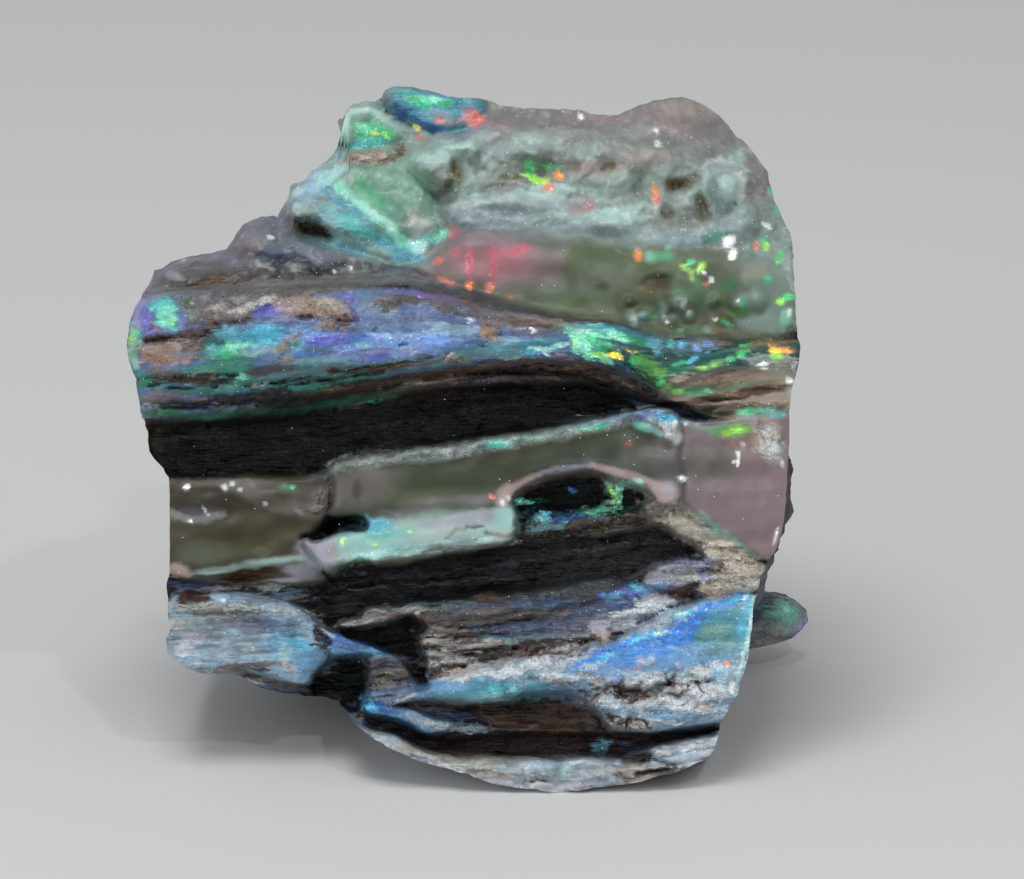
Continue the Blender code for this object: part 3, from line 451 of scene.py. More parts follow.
# %% The palette
# white is the colour of painted highlights and glints, most of them glowing
PALETTE = {
    "abyss": (20, 74, 70), "algae": (60, 138, 116), "aqua": (88, 196, 192), "ash": (122, 118, 114),
    "azure": (52, 124, 206), "bark": (92, 70, 56), "blush": (198, 176, 172), "bone": (208, 208, 204),
    "brine": (142, 166, 158), "celery": (132, 172, 152), "chalk": (182, 188, 184), "char": (17, 16, 17),
    "clay": (160, 122, 94), "coal": (27, 27, 29), "cocoa": (70, 43, 26), "coral": (224, 116, 98),
    "cream": (202, 195, 178), "cyan": (78, 182, 212), "denim": (90, 114, 160), "dew": (186, 220, 212),
    "dove": (130, 126, 126), "drab": (112, 106, 101), "dusk": (82, 94, 124), "dust": (130, 111, 105),
    "emerald": (20, 128, 84), "fern": (102, 108, 96), "fir": (18, 30, 25), "flint": (58, 64, 72),
    "fog": (116, 128, 140), "frost": (208, 218, 228), "gap": (86, 98, 90), "glaze": (150, 162, 154),
    "grass": (90, 158, 70), "green": (56, 204, 116), "grit": (128, 130, 130), "haze": (88, 86, 84),
    "heather": (156, 136, 140), "ice": (170, 198, 214), "icemint": (170, 212, 204), "indigo": (78, 78, 186),
    "ink": (7, 7, 8), "iris": (108, 150, 214), "jade": (58, 186, 128), "jelly": (80, 85, 74),
    "kelp": (94, 110, 102), "khaki": (76, 72, 54), "lagoon": (84, 154, 172), "lichen": (108, 146, 110),
    "lilac": (148, 148, 188), "lily": (196, 194, 210), "lime": (150, 230, 70), "loam": (64, 58, 50),
    "lump": (160, 180, 176), "lupin": (128, 134, 178), "magenta": (188, 78, 228), "mauve": (122, 108, 113),
    "milk": (138, 145, 139), "mint": (128, 222, 188), "mist": (150, 182, 204), "moss": (84, 92, 48),
    "moth": (118, 120, 133), "mud": (110, 100, 90), "navy": (40, 80, 138), "olive": (110, 96, 60),
    "orange": (238, 138, 50), "pearl": (166, 168, 182), "peat": (48, 40, 24), "pebble": (128, 122, 116),
    "petrol": (88, 118, 128), "pine": (40, 78, 76), "pit": (88, 56, 40), "plate": (158, 138, 128),
    "plum": (68, 53, 64), "powder": (160, 184, 218), "rime": (178, 198, 214), "rose": (204, 90, 114),
    "rust": (98, 64, 42), "sage": (108, 122, 94), "sand": (206, 197, 182), "seafoam": (148, 187, 167),
    "shell": (184, 168, 152), "skim": (152, 170, 172), "sky": (106, 156, 196), "slate": (84, 102, 138),
    "sleet": (134, 148, 156), "snow": (232, 238, 244), "spray": (164, 216, 210), "steel": (98, 130, 158),
    "storm": (50, 60, 82), "straw": (178, 172, 162), "surf": (122, 172, 178), "swamp": (78, 88, 68),
    "tan": (164, 144, 124), "tea": (78, 68, 60), "teal": (48, 118, 108), "umber": (44, 30, 23),
    "violet": (108, 100, 188), "white": (222, 226, 226), "yellow": (225, 215, 60),
}


def linear(colour):
    """A palette colour as the light it stands for."""
    share = np.array(PALETTE[colour]) / 255
    return np.where(share <= 0.04045, share / 12.92, ((share + 0.055) / 1.055) ** 2.4)


print("colours:", len(PALETTE))

# %% [markdown]
# ## Brush strokes
#
# The colours of a precious opal follow no rule, so they are painted. Most strokes are dabs: a colour,
# where the middle is, half the width and half the height in millimetres, the turn in degrees, how well it
# covers and, for play of colour, how brightly it glows. A bar joins dabs of one colour. A tilde starts a
# line: its colour, half its width, its cover, its glow and the points it runs through. A star scatters
# sparkles of one size. Noise tears every edge, so no ellipse can be seen. The strokes could have been
# painted by hand on the mesh, but a list can be read, corrected and replayed.

# %% Dabs, lines and sparkles
REACH = 2.0  # a dab still counts this many times as far out as its edge
MARGIN = 0.5


def touch_of_dab(points, across, up, half_width, half_height, turn):
    """The points near an elliptic dab, and how far each is from its middle; 1 at its edge."""
    reach = REACH * max(half_width, half_height) + MARGIN
    near = np.flatnonzero((abs(points[:, 0] - across) < reach) & (abs(points[:, 1] - up) < reach))
    offset = points[near] - (across, up)
    cos, sin = np.cos(np.radians(turn)), np.sin(np.radians(turn))
    along = (offset[:, 0] * cos + offset[:, 1] * sin) / half_width
    over = (offset[:, 1] * cos - offset[:, 0] * sin) / half_height
    return near, np.hypot(along, over)


def touch_of_line(points, path, half_width):
    """The points near a line from corner to corner, and how far each is from it; 1 at its edge."""
    low = path.min(axis=0) - 2 * MARGIN
    high = path.max(axis=0) + 2 * MARGIN
    near = np.flatnonzero(((points > low) & (points < high)).all(axis=1))
    gap = np.full(len(near), np.inf)
    for start, end in zip(path, path[1:]):
        offset = points[near] - start
        part = np.clip(offset @ (end - start) / ((end - start) @ (end - start)), 0, 1)
        gap = np.minimum(gap, np.hypot(*(offset - part[:, None] * (end - start)).T))
    return near, gap / half_width


def read_strokes(text):
    """The strokes of a text, each as its touch, its colour, its shape, its cover and its glow."""
    strokes = []
    for kind, *words in (stroke.split() for stroke in text.split(";") if stroke.strip()):
        if kind == "~":
            half_width, cover, glow = map(float, words[1:4])
            strokes.append((touch_of_line, words[0], (read_points(words[4:]), half_width), cover, glow))
        elif kind == "*":
            radius, cover, glow = map(float, words[1:4])
            for place in read_points(words[4:]):
                strokes.append((touch_of_dab, words[0], (*place, radius, radius, 0), cover, glow))
        else:
            for dab in " ".join(words).split("/"):
                *shape, cover, glow = map(float, (dab + " 0").split()[:7])
                strokes.append((touch_of_dab, kind, shape, cover, glow))
    return strokes


print("touches: a dab, a line and a scatter of sparkles")

# %% [markdown]
# The shoulder, the crown and the wing are milky opal over grey stone. Their colours are mixed with a lot
# of white, and the few bright flashes sit deep in the glass.

# %% Strokes on the shoulder, the crown and the wing
# strokes of white are painted highlights and glints, not the stone's own white
SHOULDER = read_strokes("""
haze -10.9 29.9 1.8 1.2 10 .9; moth -11.1 30.3 1.4 .8 10 .9; fog -9.7 29.4 1.7 .49 -15 .8;
haze -14.5 27.9 2.2 .8 10 .95; pearl -15.6 28 .43 .27 0 .6 .05; haze -11.6 28.1 2.7 .49 3 .9;
tea -12.5 27.8 1.4 .32 10 .6; clay -13.5 27.5 1 .27 10 .4; tea -9.7 28.6 1.1 .22 -5 .5;
haze -7.8 27.9 2.7 .49 -5 .9; bone -9.1 28.4 .38 .22 -10 .8; chalk -10.9 28.5 .6 .22 -20 .5;
drab -7.7 27.4 2.4 .32 -3 .8; bone -8.5 27.6 .9 .11 -8 .6;
~ ash .1 .7 0 -8.8,27.5 -7.8,27.9 -6.4,27.8 -5.7,27.5;
flint -3.7 28.2 2.7 .32 -8 .85 / -1.3 27.4 3.2 .27 -13 .9 / -8.9 28.3 1.1 .54 0 .4;
heather -11.6 29.6 1.1 .54 0 .35; slate -10.5 29 .8 .38 0 .5; moth -12.3 28.7 .9 .43 0 .5;
fog -1.5 27.4 2.4 .27 -20 .8; * white .09 .9 .5 -7,28.2 -6.1,28.4; * white .09 .9 .7 -10.6,30.1;
* white .12 .9 .7 -10.5,30 -15.2,28.7;
""")
# the khaki line from 5.2,25.7 to 14.9,24.6 is painted shade along the foot of the jelly window
CROWN = read_strokes("""
dove 11.7 36.6 3.6 1.3 0 .95 / 16.1 33.7 1 3.4 8 .9 / 5.2 36.5 3.6 .59 0 .9; shell 12.2 37 2.2 .43 -5 .4;
brine 8.4 32.9 3.2 1.2 0 .5; dew 7.4 31.2 2.4 .43 0 .85; lump 6.8 31.8 1.2 .38 8 .7;
brine 5.2 30.9 2.2 .32 0 .7; lump 13.9 33 1.4 1.2 0 .9; dew 14.6 33.2 .6 1.3 -10 .9;
~ white .12 .8 .05 13.2,34.1 13.9,34.2 14.7,33.9 15.1,33.2 15,32.3;
~ dew .12 .6 0 13.1,33.9 12.9,32.9 13.2,31.8 13.7,31.3; gap 13.4 32.8 .32 .54 0 .5;
lump 12.2 32.2 .6 .38 20 .8; chalk 11.9 31.9 .32 .27 0 .8; lump 11.2 33.6 .9 .43 -20 .5;
chalk 9.5 35.8 1.1 .32 10 .4; lump 2.6 34.8 1.2 .6 0 .8 / 4.5 35.2 1 .49 -10 .8; dew 3.6 35.4 .8 .32 0 .6;
chalk 5.2 35.7 .9 .22 5 .5; lump 6.5 34.6 .9 .54 0 .7;
gap 3.9 34.2 1.4 .22 -10 .7 / 5.8 33.8 .9 .27 10 .7 / 7.4 34.3 .43 .22 0 .5 / 9.5 32.6 .32 .6 0 .5;
blush 7.4 33.7 1.5 .54 0 .5 / 9.8 34.2 1.1 .54 0 .4; heather 6.3 31.7 .8 .38 15 .7 .08;
rose 6.7 31.7 .32 .16 20 .4 .2; dew 4.5 32.6 1.4 .32 0 .7;
moss 2.3 33.3 .6 .16 -3 .85 / 3 33.4 .27 .16 -40 .7;
olive 7.8 33.9 .38 .22 20 .85 / 11.7 33 .8 .22 8 .95 / 11.4 32.8 .43 .22 40 .8 / 12.9 31.7 .27 .6 12 .9 / 11
  31.4 .32 .32 0 .9; gap 12.2 31.2 1.4 .43 0 .5; algae 13.4 30 1.1 .32 8 .8 .04;
petrol 12.2 29.9 1.4 .43 0 .5; lime 3.9 33.2 .59 .19 -22 .95 .9; yellow 4.4 33.1 .22 .14 -10 .8 .8;
jade 3.6 33.8 .22 .38 20 .8 .5 / 4.8 33.8 .54 .16 -10 .6 .3; orange 5.1 33.4 .22 .22 30 .8 .5;
coral 4.6 32.7 .27 .16 0 .9 .6 / 10.4 32.2 .19 .49 0 .7 .4;
orange 10.3 32.6 .16 .27 0 .6 .4 / 9.4 29.1 .22 .38 0 .7 .4; mint 10.1 29 .32 .32 0 .6 .3;
jade 10.8 29 .43 .27 0 .7 .25; lime 11.9 28.4 .32 .14 -35 .9 .8 / 12.3 28 .16 .32 15 .85 .5;
green 12.6 27.6 .22 .27 20 .7 .3; jade 11.5 27.1 .32 .16 0 .5 .2; mint 11 29.5 .22 .16 0 .6 .3;
fern 13.8 27.2 2.2 1.8 0 .6 / 13.6 25.7 2.2 .8 -4 .8; moss 12.2 25.2 1.3 .27 0 .7 / 14.2 25.8 .54 .38 20 .6;
lichen 12.8 25 1.1 .27 0 .6; brine 16.4 28.7 1.3 3.2 4 .7 / 16.1 25.5 1.3 .6 0 .6;
skim 5.2 30.5 3.2 .54 0 .7; dew 3 32.1 2.3 .38 4 .9; skim 9.8 30 2.7 .49 0 .7; moth 3 29.7 2.5 .32 0 .6;
olive 10.3 27.5 .6 .43 10 .8 / 12.2 26 .43 .54 20 .7; moss 13.6 26.6 .8 .43 0 .5 / 8.4 26.6 1.6 .43 0 .5;
lichen 12.8 26.8 1 .6 0 .6; lump 11.7 26.5 .43 .32 0 .7 / 10.8 26.1 .27 .43 10 .5 / 9.1 25.7 .27 .43 0 .6;
chalk 9.2 25.5 .16 .32 10 .6 .1 / 11.9 26.4 .16 .32 -20 .5 .1; lump 15.2 26.5 .6 .43 0 .5;
shell 15.7 28.2 .6 .38 0 .5; clay 13.6 24.9 .6 .22 0 .4 .08;
green 17 28.9 .16 .43 -20 .7 .4 / 17.5 26.8 .27 .19 0 .9 .8; lime 17.1 26.5 .22 .16 0 .8 .6;
jade 16.4 27.8 .27 .22 -20 .6 .4 / 16.2 29.9 .27 .22 0 .6 .3; grass 14.9 26 .54 .22 10 .6 .15;
~ khaki .2 .8 0 5.2,25.7 7.4,25.4 9.5,24.8 11.7,24.5 14.9,24.6;
coral 15.8 29.6 .16 .22 0 .7 .4 / 13.1 27.5 .16 .11 0 .8 .5; mint 17.4 25.7 .27 .43 0 .5 .2;
white 14.3 29.8 .38 .27 40 1 1 / 14.5 29.1 .19 .22 0 1 .9; ~ white .06 .9 .6 16.2,30.8 16.5,30.5;
white 17.6 26 .11 .27 0 .6 .4; jade 10.2 25.7 .32 .09 20 .7 .2; lime 12.8 28.4 .16 .32 -30 .9 .7;
green 12.3 28.7 .22 .16 20 .8 .5; mint 11.6 25 .32 .14 20 .5 .08;
spray 9.7 25.8 .27 .22 0 .6 / 12.2 25.8 .27 .22 0 .6; jade 14.1 25.4 .32 .11 -30 .7 .15;
dew 13.1 25 .22 .22 0 .6; jade 15.1 26.5 .16 .27 -30 .7 .2; seafoam 16 26.6 .38 .43 0 .7;
emerald 14.4 27.4 .43 .32 0 .6 .1; peat 9.5 27.6 .38 .27 20 .6 / 11 27.1 .32 .32 0 .5;
gap 11.2 25.9 .32 .22 0 .6; fern 5.2 27.3 2.4 .6 0 .6; khaki 9.1 26.6 1.6 .6 0 .35; dew 8 31.1 .6 .22 10 .6;
lump 11 25.6 .43 .32 0 .4; lichen 5.7 27.1 2.2 .43 0 .4; lump 8 33.2 .8 .43 0 .6;
chalk 5.2 35.3 .54 .22 10 .6; lump 14.2 32.8 .54 .6 0 .5; green 16.5 32.6 .16 .22 0 .7 .4;
jade 17 31.5 .22 .32 -20 .7 .3; lime 16.3 29.6 .16 .22 0 .7 .5; fern 6.6 27.8 3.2 .54 -3 .6;
sage 9.5 28.2 1.9 .49 0 .5; fern 4.1 26.9 2.2 .43 10 .5; peat 7.5 27.4 .38 .27 0 .5;
umber 10.8 27.7 .43 .27 20 .4; dew 10.1 31.7 1.6 .16 -4 .5;
heather 11.7 35.9 1.3 .54 -20 .4 / 7.9 36.5 2.2 .32 0 .4;
* white .09 .9 .5 11,25.4 12.2,26 13.6,25.6 14.8,26.6; * white .12 .9 .5 13.4,27.7 13,28.1;
* white .12 .9 .7 10.4,35.8 6.3,36.5; * white .15 .9 .5 10.5,35.1;
""")
# the flint line from -1.3,27.2 to 5.2,25.7 is painted shade along the foot of the jelly window
WING = read_strokes("""
brine -2.4 33.9 2.5 1.8 0 .9; seafoam -4.3 32.6 2.2 1.8 0 .8; milk -8.2 32.1 1.6 1.2 20 .8;
dew -9.1 32.1 .54 .8 10 .7; mist -7.9 32.9 1.4 .6 38 .9 .08; spray -7.2 33.4 1 .38 38 .7 .12;
lump -8.5 31.4 .9 .43 10 .7; surf -6.1 30.8 2.2 .8 -30 .9 .06; lagoon -6.4 31.8 1.4 .38 -38 .85 .12;
aqua -5.2 30.3 2.2 .32 -28 .7 .15;
~ mint .28 .85 .2 -6.7,32.8 -6.1,32.2 -5.2,31.4 -4.1,30.6 -3.4,29.9 -2.8,29.2;
~ spray .16 .8 .3 -6.4,32.4 -5.4,31.6 -4.3,30.9 -3.6,30.1; celery -4.3 32.9 1.4 .8 -20 .8 .06;
jade -5 32.3 1 .43 -40 .5 .12; celery -2.5 32.3 1 1.4 10 .9 .04; algae -3.7 31.4 1.2 .54 -50 .5 .05;
straw -2.7 31.1 .43 .54 0 .5; chalk -2.4 30.8 .9 .22 5 .8; aqua -1.8 29.9 1.1 .22 14 .9 .12;
mint -1 30.2 .54 .22 24 .8 .4; cyan -3 29 .9 .32 0 .8 .12; spray -2.5 29.6 .49 .32 -20 .9 .5;
lagoon -3.9 29.4 1.1 .32 -20 .8 .15 / -6.7 29.6 1.8 .32 -20 .7 .08; moth -.1 30.6 .54 .9 0 .6;
peat -8.2 30.5 1.1 .38 -28 1; olive -8.9 30.9 .43 .27 -20 .9; moth -9.6 31.3 .32 .6 -10 .7;
milk -1.3 33.1 .54 1 10 .8; lump -2.1 33.9 1.1 .27 0 .8; dew -1.8 34.3 .9 .27 -5 .8;
lump .2 35.2 1.4 .43 10 .9; dew -.6 34.8 1 .32 15 .8; lump 1.1 34.6 .8 .54 30 .8; gap .6 34.2 .43 .32 40 .5;
chalk 1.4 35.5 .54 .22 10 .8; lump 1.5 34.1 .43 .32 0 .7; olive -.4 33.4 .22 .8 16 .95;
moss -.8 32.8 .32 .49 10 .9; gap -.9 32.3 .6 .54 0 .8; brine .3 32.8 .54 .8 0 .8; lump .9 33.1 .9 .43 20 .6;
chalk 1.9 31.9 2.5 .27 5 .85; dew .8 32.2 .54 .27 0 .7; skim 1.5 31 1.9 .6 0 .85 / 2.4 31.6 2.5 .38 4 .8;
moth 1.9 30.1 2.2 .38 0 .6; celery -5.5 36.8 1.3 .32 -8 .9 .08; brine -5.4 37.1 1.2 .27 0 .7;
jade -4.9 35.7 1 .43 -14 .95 .5; aqua -5.2 35.1 .9 .27 5 .9 .4; mint -5.5 35.9 .43 .27 -30 .7 .5;
yellow -4.8 35.6 .16 .11 0 .8 .8; lime -4.2 35.5 .22 .11 -20 .8 .6; dew -6.5 36.1 .38 .8 10 .9 .1;
~ dew .2 .8 .03 -6.4,36.8 -5,36.9 -3.9,36.4 -3,35.5 -2.4,35.2; moth -2.6 35.4 .8 .27 -25 .6;
plate -5.3 34.4 1.1 .43 8 .95; sand -5.7 34.2 .9 .22 6 .7; bark -3.5 34.7 .49 .32 20 .85;
clay -4 34.3 .54 .22 10 .5; fog -4.2 37.5 .54 .49 40 .8; steel -1.3 37.9 1.4 .22 -10 .9 .1;
navy -3.2 36.9 .49 .6 -35 .95 / -1.8 36 1 .27 -30 .85; lagoon -2.4 37 1 .38 -30 .9 .12;
aqua -3.4 38 .6 .16 0 .8 .25; jade -2.4 37.4 .7 .27 -25 .9 .4; mint -1.7 37.5 .8 .19 -10 .9 .35;
jade -1 37.2 .43 .27 0 .8 .3; fog -1 36.4 .8 .38 -20 .9; lagoon -.6 36.8 .54 .32 0 .6 .1;
yellow -2.5 36 .16 .14 0 .9 .7;
coral -1.4 36.3 .27 .14 -10 .8 .4 / -2.4 35.5 .22 .11 0 .6 .25 / .5 36.5 .49 .43 0 .8 .35 / 1 36.4 .32 .32 0
  .7 .35; rose .2 36.9 .27 .22 0 .5 .2; dove 1.9 36.6 .8 .49 -10 .8; heather 1.4 28.7 3 1.4 -3 .9 .09;
rose 1.9 28.7 2.2 .8 0 .35 .12 / -.6 30.3 .32 .32 0 .6 .2 / .3 28.7 .22 .8 0 .75 .35 / -.4 29.2 .27 .27 0 .6
  .3 / 1.6 28.7 .22 .9 0 .65 .25 / 3 29.3 .54 .27 15 .75 .3 / 2.2 29.1 .43 .27 0 .5 .2;
heather 4.4 28.6 1.1 .8 0 .6 .06; ~ flint .2 .7 0 -1.3,27.2 .9,26.6 3,26.1 5.2,25.7;
coral -1.4 28.8 .27 .22 0 .8 .3 / -.9 27.7 .43 .16 -25 .7 .3; orange .3 27.4 .22 .22 0 .9 .8;
coral 1.4 27.3 .22 .27 0 .85 .5 / 2.5 26.8 .22 .16 0 .4 .15;
""")
print("strokes on the top:", len(SHOULDER + CROWN + WING))
